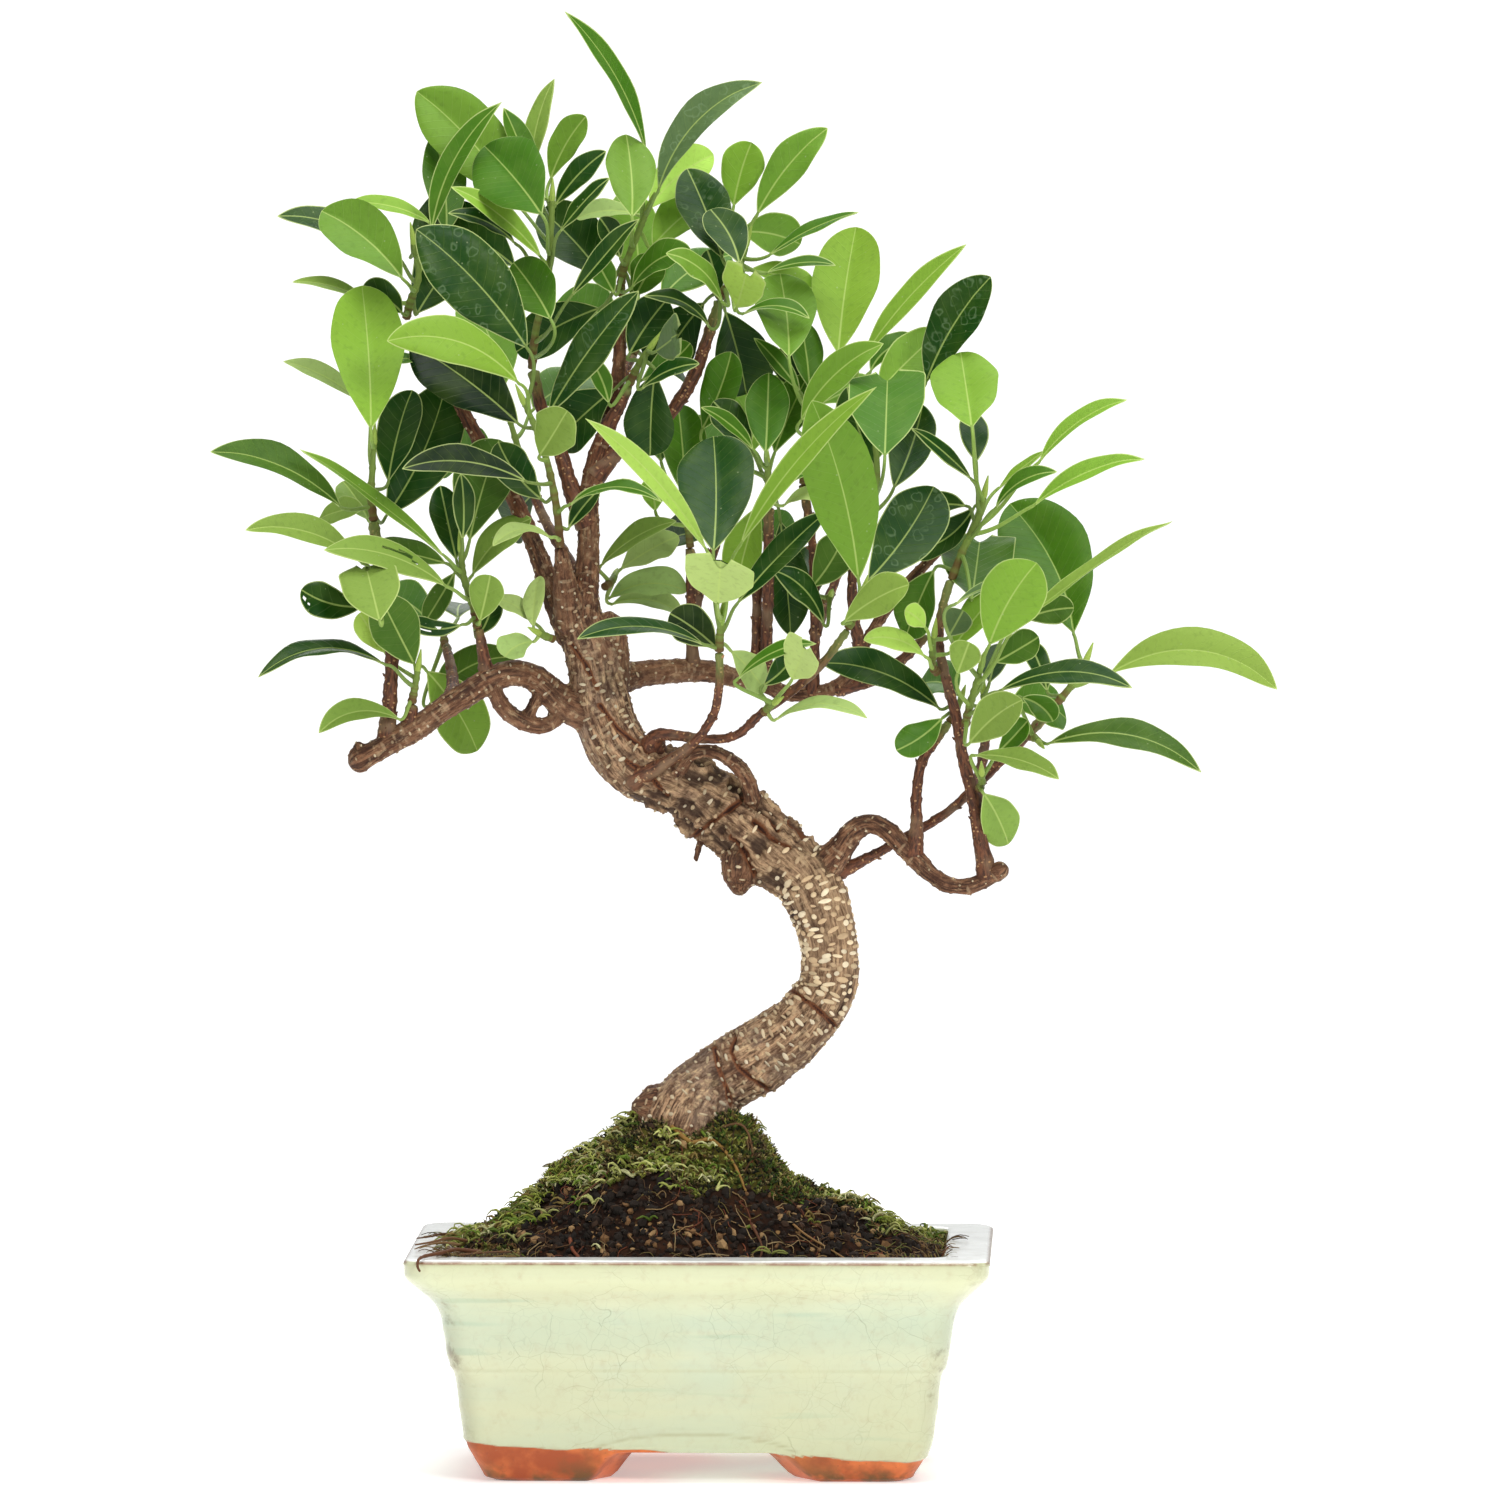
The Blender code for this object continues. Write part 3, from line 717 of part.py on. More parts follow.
         (1.0, (130.0, -4.0, 287.0), (108.0, 32.0, 332.0), 30.0, 5.0, 5.0, "mid"))),
    "shoot_twig_side": (
        ((114.5, -13.0, 251.5), (117.0, -17.0, 251.0), (118.0, -20.0, 250.0)),
        ((0.4, (112.0, -24.0, 265.0), (123.0, -28.0, 257.0), 9.0, 25.0, 2.0, "mid"),
         (1.0, (121.0, -24.0, 249.0), (174.0, -34.0, 240.0), 13.0, 40.0, 9.0, "mid"))),
    "shoot_left_riser": (
        ((-2.0, 17.6, 316.9), (-3.0, 15.0, 324.0), (-6.0, 12.0, 331.0)),
        ((0.5, (-14.0, 8.0, 329.0), (-15.0, 4.0, 341.0), 9.0, 10.0, 0.0, "young"),
         (0.5, (-4.0, 19.0, 334.0), (-6.0, 26.0, 366.0), 17.0, 25.0, 1.0, "mid"),
         (1.0, (-12.0, 10.0, 346.0), (-17.0, 36.0, 368.0), 15.0, 15.0, 1.0, "mid"))),
    "shoot_rear_left": (
        ((-58.3, 48.8, 340.8), (-61.0, 54.0, 350.0), (-64.0, 58.0, 360.0)),
        ((0.2, (-54.0, 60.0, 336.0), (-64.0, 92.0, 322.0), 20.0, 40.0, 3.0, "dark"),
         (0.45, (-70.0, 62.0, 348.0), (-88.0, 92.0, 346.0), 20.0, 45.0, 4.0, "mid"),
         (0.7, (-56.0, 68.0, 364.0), (-36.0, 98.0, 376.0), 20.0, 40.0, 3.0, "mid"),
         (1.0, (-66.0, 64.0, 372.0), (-78.0, 80.0, 404.0), 21.0, 30.0, 2.0, "young"))),
    "shoot_rear_high": (
        ((-21.7, 40.8, 382.6), (-20.0, 47.0, 388.0), (-19.0, 54.0, 395.0)),
        ((0.2, (-16.0, 56.0, 382.0), (-4.0, 92.0, 376.0), 20.0, 45.0, 4.0, "dark"),
         (0.5, (-28.0, 58.0, 392.0), (-48.0, 86.0, 402.0), 19.0, 40.0, 3.0, "mid"),
         (0.75, (-12.0, 60.0, 402.0), (12.0, 82.0, 418.0), 18.0, 35.0, 3.0, "mid"),
         (1.0, (-20.0, 60.0, 406.0), (-24.0, 74.0, 440.0), 19.0, 20.0, 2.0, "young"))),
    "shoot_rear_mid": (
        ((8.4, 50.8, 320.6), (11.0, 57.0, 327.0), (13.0, 62.0, 335.0)),
        ((0.2, (4.0, 62.0, 320.0), (-14.0, 92.0, 316.0), 20.0, 45.0, 4.0, "dark"),
         (0.45, (18.0, 66.0, 322.0), (36.0, 96.0, 314.0), 20.0, 45.0, 4.0, "mid"),
         (0.7, (8.0, 70.0, 344.0), (-4.0, 94.0, 362.0), 20.0, 35.0, 3.0, "mid"),
         (1.0, (18.0, 68.0, 348.0), (28.0, 84.0, 376.0), 20.0, 25.0, 2.0, "young"))),
    "shoot_rear_right": (
        ((52.4, 52.8, 316.8), (55.0, 58.0, 324.0), (57.0, 62.0, 333.0)),
        ((0.2, (48.0, 64.0, 314.0), (40.0, 96.0, 300.0), 19.0, 45.0, 4.0, "dark"),
         (0.45, (64.0, 66.0, 324.0), (84.0, 92.0, 320.0), 20.0, 45.0, 4.0, "mid"),
         (0.7, (52.0, 70.0, 342.0), (42.0, 96.0, 356.0), 19.0, 35.0, 3.0, "dark"),
         (1.0, (62.0, 66.0, 346.0), (72.0, 80.0, 374.0), 20.0, 25.0, 2.0, "mid"))),
}


# ---------------------------------------------------------------- leafy shoots

# Half width of a blade along its midrib
BLADE = ((0.0, 0.1), (0.28, 0.78), (0.7, 0.92))


def leaf_rings(start, outward, leaf, spare=0.0, slide=0.0):
    """Diamond-shaped rings of one leaf: petiole first, then the blade; the tip comes last."""
    _, base, tip, width, tilt, arch, _ = leaf
    root = place(base[0], base[1] + slide, base[2])
    end = place(tip[0], tip[1] + slide, tip[2])
    run = end - root
    along = run.normalized()
    face = Vector((0.0, -1.0, 0.0)) + along * along.y
    face.normalize()
    side = face.cross(along)
    if side.z > 0.0:
        side.negate()
    angle = math.radians(tilt)
    normal = face * math.cos(angle) - side * math.sin(angle)
    normal.normalize()
    bow = -side * arch

    rings = []
    reach = (root - start).length
    first = start + outward * reach * 0.4
    second = root - along * reach * 0.3
    middle = (start + first * 3.0 + second * 3.0 + root) / 8.0
    rings.append((middle, (root - start).normalized(), PETIOLE_RADIUS + spare, PETIOLE_RADIUS + spare, 0.0))
    half_thickness = 0.5 * LEAF_THICKNESS + spare
    for t, share in BLADE:
        spot = root + run * t + bow * 4.0 * t * (1.0 - t)
        ahead = (run + bow * 4.0 * (1.0 - 2.0 * t)).normalized()
        half_width = 0.5 * width * share + spare
        if t == 0.0:
            rings.append((spot, ahead, PETIOLE_RADIUS + spare, PETIOLE_RADIUS + spare, 0.0))
        else:
            rings.append((spot, ahead, half_width, half_thickness, 0.22 * half_width))

    shaped = []
    for spot, ahead, half_width, thick, fold in rings:
        upright = (normal - ahead * normal.dot(ahead)).normalized()
        across = upright.cross(ahead)
        shaped.append([spot + across * half_width + upright * fold, spot + upright * thick,
                       spot - across * half_width + upright * fold, spot - upright * thick])
    return shaped, end


def leaf_tree(start, outward, leaf, slide):
    """Search tree of a slightly fat copy of a leaf, without the first part of its petiole."""
    rings, end = leaf_rings(start, outward, leaf, 0.45, slide)
    points = []
    for ring in rings:
        points += ring
    points.append(end)
    polygons = []
    for level in range(len(rings) - 1):
        for k in range(4):
            nxt = (k + 1) % 4
            low = level * 4
            polygons.append((low + k, low + nxt, low + nxt + 4, low + k + 4))
    top = (len(rings) - 1) * 4
    for k in range(4):
        polygons.append((top + k, top + (k + 1) % 4, len(points) - 1))
    return BVHTree.FromPolygons(points, polygons)


# Moves along the line of sight that a leaf may make, the smallest first
SLIDES = sorted((3.0 * step for step in range(-14, 15)), key=lambda slide: (abs(slide), slide))


def settle(start, outward, leaf, others):
    """Smallest move along the line of sight at which a leaf clears everything already there."""
    for slide in SLIDES:
        tree = leaf_tree(start, outward, leaf, slide)
        if not any(tree.overlap(other) for other in others):
            return slide, tree
    raise ValueError("a leaf finds no clear place")


def nearest_side(direction, side, up, target):
    """Index of the stem face that looks most nearly towards a direction."""
    best = 0
    best_dot = -2.0
    for k in range(STEM_SIDES):
        angle = 2.0 * math.pi * (k + 0.5) / STEM_SIDES
        facing = side * math.cos(angle) + up * math.sin(angle)
        if facing.dot(target) > best_dot:
            best_dot = facing.dot(target)
            best = k
    return best


def sample(path, share):
    """Point at a share of a path's length."""
    lengths = [(b[0] - a[0]).length for a, b in zip(path, path[1:])]
    left = share * sum(lengths)
    for (a, b), length in zip(zip(path, path[1:]), lengths):
        if left <= length:
            return a[0].lerp(b[0], left / length)
        left -= length
    return path[-1][0].copy()


def stem_stations(stem, leaves):
    """Rings of a green stem: a short pair of rings carries each leaf."""
    path = smooth_path([(place(*point), 1.5) for point in stem], 4)
    total = sum((b[0] - a[0]).length for a, b in zip(path, path[1:]))
    pitch = total / (len(leaves) + 1.0)
    half = min(0.8, 0.35 * pitch)
    spots = [sample(path, 0.0)]
    places = []
    position = 0.0
    for i, leaf in enumerate(leaves):
        room_after = (len(leaves) - i - 1) * 2.6 * half
        wanted = max(leaf[0] * total, position + 1.3 * half + 0.3)
        position = min(wanted, total - room_after - 1.3 * half)
        spots += [sample(path, (position - half) / total), sample(path, (position + half) / total)]
        places.append(len(spots) - 2)
        position += 1.3 * half
    spots.append(path[-1][0] + (path[-1][0] - path[-2][0]).normalized() * 1.6)
    slim = 1.6 if total > 12.0 else 1.3
    stations = [(spot, slim - 0.5 * i / len(spots)) for i, spot in enumerate(spots)]
    return stations, places


def claim_faces(stations, places, leaves):
    """Choose the stem face for each leaf and give its start point and direction."""
    frames = frames_along(stations)
    claims = []
    for station, leaf in zip(places, leaves):
        direction, side, up = frames[station]
        middle = (stations[station][0] + stations[station + 1][0]) * 0.5
        target = (place(*leaf[1]) - middle).normalized()
        k = nearest_side(direction, side, up, target)
        angle = 2.0 * math.pi * (k + 0.5) / STEM_SIDES
        facing = side * math.cos(angle) + up * math.sin(angle)
        claims.append((station, k, middle + facing * stations[station][1], facing))
    return frames, claims


def build_shoot(name, stem, leaves, obstacles, placed):
    """One green stem with its leaves grown out of the faces that they claim."""
    stations, places = stem_stations(stem, leaves)
    frames, claims = claim_faces(stations, places, leaves)
    bm = bmesh.new()
    rings = []
    for (spot, radius), (_, side, up) in zip(stations, frames):
        ring = []
        for k in range(STEM_SIDES):
            angle = 2.0 * math.pi * k / STEM_SIDES
            ring.append(bm.verts.new(spot + (side * math.cos(angle) + up * math.sin(angle)) * radius))
        rings.append(ring)
    taken = {}
    for (station, k, start, facing), leaf in zip(claims, leaves):
        slide, tree = settle(start, facing, leaf, obstacles + placed)
        placed.append(tree)
        taken[(station, k)] = leaf_rings(start, facing, leaf, 0.0, slide)
    for level in range(len(rings) - 1):
        for k in range(STEM_SIDES):
            nxt = (k + 1) % STEM_SIDES
            quad = (rings[level][k], rings[level][nxt], rings[level + 1][nxt], rings[level + 1][k])
            if (level, k) in taken:
                grow_leaf(bm, quad, *taken[(level, k)])
            else:
                bm.faces.new(quad)
    bm.faces.new(list(reversed(rings[0])))
    bm.faces.new(rings[-1])
    bmesh.ops.triangulate(bm, faces=bm.faces[:])
    tones = [leaf[6] for leaf in leaves]
    add_object(name, bm, max(sorted(set(tones)), key=tones.count))


def grow_leaf(bm, quad, rings, end):
    """Skin a leaf from an open stem face through its rings to its tip."""
    lower = list(quad)
    for ring in rings:
        made = [bm.verts.new(point) for point in ring]
        turn = min(range(4), key=lambda r: sum((lower[k].co - made[(k + r) % 4].co).length_squared
                                               for k in range(4)))
        upper = [made[(k + turn) % 4] for k in range(4)]
        bridge(bm, lower, upper)
        lower = upper
    tip = bm.verts.new(end)
    for k in range(4):
        bm.faces.new((lower[k], lower[(k + 1) % 4], tip))


def search_tree(obj):
    """Search tree of a finished piece, back in millimetres about the pot's middle."""
    points = [vert.co / MM + CENTRE for vert in obj.data.vertices]
    polygons = [tuple(face.vertices) for face in obj.data.polygons]
    return BVHTree.FromPolygons(points, polygons)


def build_shoots():
    """Every shoot in turn; each leaf keeps clear of the wood, all stems and earlier leaves."""
    obstacles = [search_tree(obj) for obj in bpy.data.objects]
    stem_guards = {}
    for name, (stem, leaves) in SHOOTS.items():
        stations, _ = stem_stations(stem, leaves)
        guard = bmesh.new()
        tube(guard, [(spot, radius + 0.4) for spot, radius in stations], STEM_SIDES)
        stem_guards[name] = BVHTree.FromBMesh(guard)
        guard.free()
    placed = []
    for name, (stem, leaves) in SHOOTS.items():
        others = [tree for other, tree in stem_guards.items() if other != name]
        build_shoot(name, stem, leaves, obstacles + others, placed)


def main():
    clear_scene()
    build_pot()
    build_drain_screens()
    build_soil()
    build_moss()
    build_tree()
    build_shoots()


main()
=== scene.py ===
"""Looks of the bonsai: glazed pot, earth, moss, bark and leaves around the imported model.

Everything is laid out in millimetres about the pot's middle and turned into metres by put().
The tree is laid out as a front drawing: (x, depth, z), where x and z are read on the pot's
middle plane and depth moves the place along the line of sight.
"""
import math

import bmesh
import bpy
import numpy as np
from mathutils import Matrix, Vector
from mathutils.kdtree import KDTree


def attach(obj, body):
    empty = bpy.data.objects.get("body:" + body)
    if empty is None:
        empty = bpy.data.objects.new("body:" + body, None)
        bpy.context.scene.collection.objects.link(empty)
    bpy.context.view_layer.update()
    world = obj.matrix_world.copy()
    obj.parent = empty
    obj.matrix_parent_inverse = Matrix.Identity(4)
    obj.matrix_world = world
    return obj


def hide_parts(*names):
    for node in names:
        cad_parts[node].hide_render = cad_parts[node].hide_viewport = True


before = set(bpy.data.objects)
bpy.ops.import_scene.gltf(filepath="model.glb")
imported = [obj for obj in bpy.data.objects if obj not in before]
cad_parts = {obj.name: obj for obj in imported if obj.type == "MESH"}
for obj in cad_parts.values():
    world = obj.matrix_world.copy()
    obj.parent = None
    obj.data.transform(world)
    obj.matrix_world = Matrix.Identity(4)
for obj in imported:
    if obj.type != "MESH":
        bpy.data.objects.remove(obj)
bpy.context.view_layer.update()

MM = 0.001
CENTRE = np.array((17.2, 3.0, 0.0))      # middle of the whole plant, from the pot's middle
SIGHT = Vector((143.0, -4773.0, 509.0))  # line of sight of the front drawing starts here
RAISE = 1.4                              # heights of the drawing are lifted by this much
TURN = 2.0 * math.pi
TIP_REACH = 0.5                          # closed end of a bar stands out by this share of its radius


# ---------------------------------------------------------------- places and paths

def put(points):
    """Millimetres about the pot's middle to metres in the frame."""
    return (np.asarray(points, dtype=float) - CENTRE) * MM


def place(x, depth, z):
    drawn_at = Vector((x, 0.0, z + RAISE))
    return SIGHT + (drawn_at - SIGHT) * (1.0 + depth / -SIGHT.y)


def drawn(points):
    return [(place(x, depth, z), radius) for x, depth, z, radius in points]


def smooth_path(points, steps):
    """Catmull-Rom curve through (point, radius) pairs."""
    path = []
    last = len(points) - 1
    for i in range(last):
        before, here, there, after = (points[k][0] for k in (max(i - 1, 0), i, i + 1, min(i + 2, last)))
        for k in range(steps):
            t = k / steps
            spot = 0.5 * (2.0 * here + (there - before) * t
                          + (2.0 * before - 5.0 * here + 4.0 * there - after) * t * t
                          + (3.0 * here - before - 3.0 * there + after) * t ** 3)
            path.append((spot, points[i][1] + (points[i + 1][1] - points[i][1]) * t))
    path.append(points[-1])
    return path


def run_lengths(spots):
    """Length of each straight run of a path."""
    return [(b - a).length for a, b in zip(spots, spots[1:])]


def frames_along(spots):
    """Cross axes at each point of a path, carried along without twist."""
    frames = []
    side = None
    for i in range(len(spots)):
        direction = (spots[min(i + 1, len(spots) - 1)] - spots[max(i - 1, 0)]).normalized()
        if side is None:
            side = Vector((0.0, -1.0, 0.0))
            if abs(direction.dot(side)) > 0.9:
                side = Vector((1.0, 0.0, 0.0))
        side = (side - direction * side.dot(direction)).normalized()
        frames.append((direction, side, direction.cross(side)))
    return frames


def ramp(value, low, high):
    """Smooth step from 0 at low to 1 at high."""
    t = np.clip((np.asarray(value, dtype=float) - low) / (high - low), 0.0, 1.0)
    return t * t * (3.0 - 2.0 * t)


def bell(value, middle, reach):
    """Smooth hump of height 1 at the middle."""
    return np.exp(-((value - middle) / reach) ** 2)


def unit(vectors, least=0.0):
    """Rows scaled to length 1."""
    return vectors / (np.linalg.norm(vectors, axis=1)[:, None] + least)


def lattice(ix, iy, iz, seed):
    """Repeatable random value from 0 to 1 for each cell of a lattice."""
    mixed = (ix * 73856093) ^ (iy * 19349663) ^ (iz * 83492791) ^ (seed * 2654435761)
    mixed = (mixed ^ (mixed >> 13)) * 1274126177
    mixed = mixed ^ (mixed >> 16)
    return (mixed & 65535) / 65535.0


def noise(points, size, seed=0):
    """Smooth noise from -1 to 1 with lumps of a given size."""
    scaled = np.asarray(points, dtype=float) / size
    cell = np.floor(scaled).astype(np.int64)
    part = scaled - cell
    part = part * part * (3.0 - 2.0 * part)
    total = np.zeros(len(scaled))
    for corner in range(8):
        step = (corner & 1, (corner >> 1) & 1, corner >> 2)
        weight = 1.0
        for axis in range(3):
            weight = weight * (part[:, axis] if step[axis] else 1.0 - part[:, axis])
        total += weight * lattice(*(cell[:, axis] + step[axis] for axis in range(3)), seed)
    return 2.0 * total - 1.0


def fractal(points, size, seed):
    total = np.zeros(len(points))
    for layer in range(3):
        total += noise(points, size / 2.0 ** layer, seed + layer) / 2.0 ** layer
    return total / 1.75


# ---------------------------------------------------------------- meshes

class Shells:
    """Points, faces and values of a piece that is made of many closed shells."""

    def __init__(self):
        self.points = []
        self.faces = []
        self.values = {}
        self.count = 0

    def add(self, points, faces, **values):
        points = np.asarray(points, dtype=float).reshape(-1, 3)
        self.points.append(points)
        self.faces += [np.asarray(block, dtype=np.int64) + self.count for block in faces]
        for name, value in values.items():
            value = np.asarray(value, dtype=float)
            if value.ndim == 1:
                value = np.tile(value, (len(points), 1))
            self.values.setdefault(name, []).append(value)
        self.count += len(points)

    def bar(self, path, sides, **values):
        """Round bar along (point, radius) pairs."""
        self.add(tube_points(path, sides), tube_faces(len(path), sides), **values)

    def mesh(self, name):
        """Mesh in metres; a value of three numbers becomes a vector, one of four a colour."""
        mesh = bpy.data.meshes.new(name)
        points = put(np.concatenate(self.points))
        mesh.vertices.add(len(points))
        mesh.vertices.foreach_set("co", points.astype(np.float32).ravel())
        loops = np.concatenate([block.ravel() for block in self.faces])
        sizes = np.concatenate([np.full(len(block), block.shape[1]) for block in self.faces])
        starts = np.concatenate(([0], np.cumsum(sizes)[:-1]))
        mesh.loops.add(len(loops))
        mesh.loops.foreach_set("vertex_index", loops.astype(np.int32))
        mesh.polygons.add(len(sizes))
        mesh.polygons.foreach_set("loop_start", starts.astype(np.int32))
        mesh.update(calc_edges=True)
        write_values(mesh, **{label: np.concatenate(blocks) for label, blocks in self.values.items()})
        mesh.shade_smooth()
        return mesh


def write_values(mesh, **values):
    kinds = {1: ("FLOAT", "value"), 3: ("FLOAT_VECTOR", "vector"), 4: ("FLOAT_COLOR", "color")}
    for label, value in values.items():
        kind, field = kinds[1 if value.ndim == 1 else value.shape[1]]
        layer = mesh.attributes.new(label, kind, "POINT")
        layer.data.foreach_set(field, value.astype(np.float32).ravel())


def read_vectors(mesh, field):
    """Place ("co") or normal of every point of a mesh."""
    values = np.zeros(len(mesh.vertices) * 3)
    mesh.vertices.foreach_get(field, values)
    return values.reshape(-1, 3)


def add_object(name, data):
    made = bpy.data.objects.new(name, data)
    bpy.context.scene.collection.objects.link(made)
    return made


def settled(blank):
    """Mesh of an object with its modifiers carried out; the object itself goes."""
    mesh = bpy.data.meshes.new_from_object(blank.evaluated_get(bpy.context.evaluated_depsgraph_get()))
    bpy.data.objects.remove(blank, do_unlink=True)
    return mesh


def show(name, mesh, material, slot, *nodes):
    """Put a finished piece into the scene in place of its CAD nodes."""
    mesh.materials.clear()
    mesh.materials.append(material)
    piece = add_object(name, mesh)
    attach(piece, "root")
    if nodes:
        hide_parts(*nodes)


def tube_faces(rows, sides):
    """Quads of a tube and its two end fans, for rings in order and then two end points."""
    row = np.arange(rows - 1)[:, None] * sides
    col = np.arange(sides)
    nxt = (col + 1) % sides
    quads = np.stack([row + col, row + nxt, row + sides + nxt, row + sides + col], axis=-1)
    first = rows * sides
    top = first - sides
    start = np.stack([np.full(sides, first), nxt, col], axis=-1)
    end = np.stack([np.full(sides, first + 1), top + col, top + nxt], axis=-1)
    return [quads.reshape(-1, 4), np.concatenate([start, end])]


def tube_points(path, sides):
    """Rings of a round bar along (point, radius) pairs, with its two end points."""
    spots = [spot for spot, _ in path]
    angles = np.arange(sides) * TURN / sides
    rings = []
    for (spot, radius), (_, side, up) in zip(path, frames_along(spots)):
        ring = (np.outer(np.cos(angles), side) + np.outer(np.sin(angles), up)) * radius
        rings.append(ring + np.array(spot))
    first = spots[0] - (spots[1] - spots[0]).normalized() * path[0][1] * TIP_REACH
    last = spots[-1] + (spots[-1] - spots[-2]).normalized() * path[-1][1] * TIP_REACH
    return np.concatenate(rings + [np.array([first, last])])


def stacked_faces(rings, columns):
    """Quads between stacked rings and one flat face at each end."""
    end = np.arange(columns)
    return [tube_faces(rings, columns)[0], end[::-1][None, :], (end + (rings - 1) * columns)[None, :]]


# ---------------------------------------------------------------- materials

def linear(red, green, blue):
    """Colour from 0 to 255 as the eye reads it, to linear light."""
    made = []
    for value in (red, green, blue):
        value = value / 255.0
        made.append(value / 12.92 if value <= 0.04045 else ((value + 0.055) / 1.055) ** 2.4)
    return (*made, 1.0)


def palette(tints):
    return np.array([linear(*tint) for tint in tints])


class Mat:
    """Small helper that builds one node material."""

    def __init__(self, name, **settings):
        self.material = bpy.data.materials.new(name)
        self.material.use_nodes = True
        self.tree = self.material.node_tree
        self.shader = self.tree.nodes["Principled BSDF"]
        for label, value in settings.items():
            self.shader.inputs[label.replace("_", " ")].default_value = value
        self.place = self.node("ShaderNodeTexCoord").outputs["Object"]

    def node(self, kind, **settings):
        made = self.tree.nodes.new(kind)
        for label, value in settings.items():
            setattr(made, label, value)
        return made

    def plug(self, socket, value):
        if isinstance(value, bpy.types.NodeSocket):
            self.tree.links.new(value, socket)
        else:
            socket.default_value = value

    def math(self, operation, *values, clamp=False):
        made = self.node("ShaderNodeMath", operation=operation, use_clamp=clamp)
        for socket, value in zip(made.inputs, values):
            self.plug(socket, value)
        return made.outputs[0]

    def times(self, first, second):
        return self.math("MULTIPLY", first, second)

    def madd(self, value, factor, offset):
        """value * factor + offset"""
        return self.math("MULTIPLY_ADD", value, factor, offset)

    def step(self, value, low, high):
        made = self.node("ShaderNodeMapRange", interpolation_type="SMOOTHSTEP")
        for label, given in (("Value", value), ("From Min", low), ("From Max", high)):
            self.plug(made.inputs[label], given)
        return made.outputs["Result"]

    def mix(self, share, first, second):
        """Blend of two colours, each a socket, linear light or (red, green, blue) from 0 to 255."""
        made = self.node("ShaderNodeMix", data_type="RGBA", clamp_factor=True)
        for index, value in ((0, share), (6, first), (7, second)):
            if isinstance(value, tuple) and len(value) == 3:
                value = linear(*value)
            self.plug(made.inputs[index], value)
        return made.outputs[2]

    def paint(self, under, mask, colour, strength):
        """Colour laid over another where a mask shows, at most at a given strength."""
        return self.mix(self.times(mask, strength), under, colour)

    def scaled(self, vector, *factors):
        made = self.node("ShaderNodeVectorMath", operation="MULTIPLY")
        self.plug(made.inputs[0], vector)
        made.inputs[1].default_value = factors
        return made.outputs[0]

    def noise(self, vector, scale, detail=3.0, rough=0.55, output="Fac"):
        made = self.node("ShaderNodeTexNoise")
        for label, given in (("Vector", vector), ("Scale", scale), ("Detail", detail), ("Roughness", rough)):
            self.plug(made.inputs[label], given)
        return made.outputs[output]

    def warped(self, vector, scale, amount):
        """Vector pushed about by noise."""
        push = self.node("ShaderNodeVectorMath", operation="MULTIPLY_ADD")
        self.plug(push.inputs[0], self.noise(vector, scale, 2.0, 0.5, "Color"))
        push.inputs[1].default_value = (amount, amount, amount)
        self.plug(push.inputs[2], vector)
        return push.outputs[0]

    def cells(self, vector, scale, feature="F1"):
        """Distance and random colour of scattered cells."""
        made = self.node("ShaderNodeTexVoronoi", feature=feature)
        self.plug(made.inputs["Vector"], vector)
        made.inputs["Scale"].default_value = scale
        if feature == "F1":
            return made.outputs["Distance"], self.parts(made.outputs["Color"])
        return made.outputs["Distance"]

    def value(self, label, output="Fac"):
        return self.node("ShaderNodeAttribute", attribute_name=label).outputs[output]

    def parts(self, vector):
        made = self.node("ShaderNodeSeparateXYZ")
        self.plug(made.inputs[0], vector)
        return made.outputs

    def bump(self, height, strength, distance):
        made = self.node("ShaderNodeBump")
        for label, given in (("Strength", strength), ("Distance", distance), ("Height", height)):
            self.plug(made.inputs[label], given)
        self.plug(self.shader.inputs["Normal"], made.outputs[0])
        return made.outputs[0]

    def finish(self, colour, roughness):
        self.plug(self.shader.inputs["Base Color"], colour)
        self.plug(self.shader.inputs["Roughness"], roughness)
        return self.material


# ---------------------------------------------------------------- pot

POT_X = 2.1               # the pot's middle stands a little right of the trunk's
POT_INSET = 25.0          # the pot is this much less deep than long, measured in halves
POT_CORNER = 9.0
INNER_CORNER = 6.0
POT_TOP = 78.5
LIP_HALF = 97.7           # half length where the round of the lip starts
LIP_EDGE = 76.2           # height where it starts
LIP_ROUND = 2.3
LIP_INSIDE = 84.0
INSIDE_ROUND = 1.5
RECESS_TOP = 9.0
FOOT_HALF = 75.0          # half length at the feet that the arches are laid out on
FOOT_WALL = 14.0
FOOT_TOP = 14.0
ARCH_CROWN = 10.5
ARCH_HALF = 34.0
BELT_Z = 40.0             # height of the raised line round the middle
FOOT_BELT_Z = 26.0        # and of the faint swelling above the feet
LIP_LINE_Z = 77.3         # height of the rust line on the rim
DRAIN_X = 38.0
DRAIN_RADIUS = 7.0

# Outer wall from the sole to the lip: (half length, height)
POT_WALL = ((71.5, 0.0), (74.0, 1.5), (76.3, 5.0), (78.4, 9.0), (80.4, 13.8), (82.2, 26.0), (83.4, 36.0),
            (85.0, 40.5), (86.2, 44.5), (87.0, 50.5), (88.2, 57.5), (90.6, 62.5), (94.8, 66.7),
            (98.8, 70.6), (100.0, 73.0), (100.0, 76.2))
# Inner wall from below the lip to the floor of the pot, and the sole seen from inside to outside
POT_INSIDE = ((83.0, 65.0), (82.0, 50.0), (77.0, 33.0), (72.0, 19.0), (69.0, 17.0), (45.0, 17.0))
POT_SOLE = ((45.0, True), (71.0 - FOOT_WALL, True), (71.5 - FOOT_WALL, False), (70.2, False))


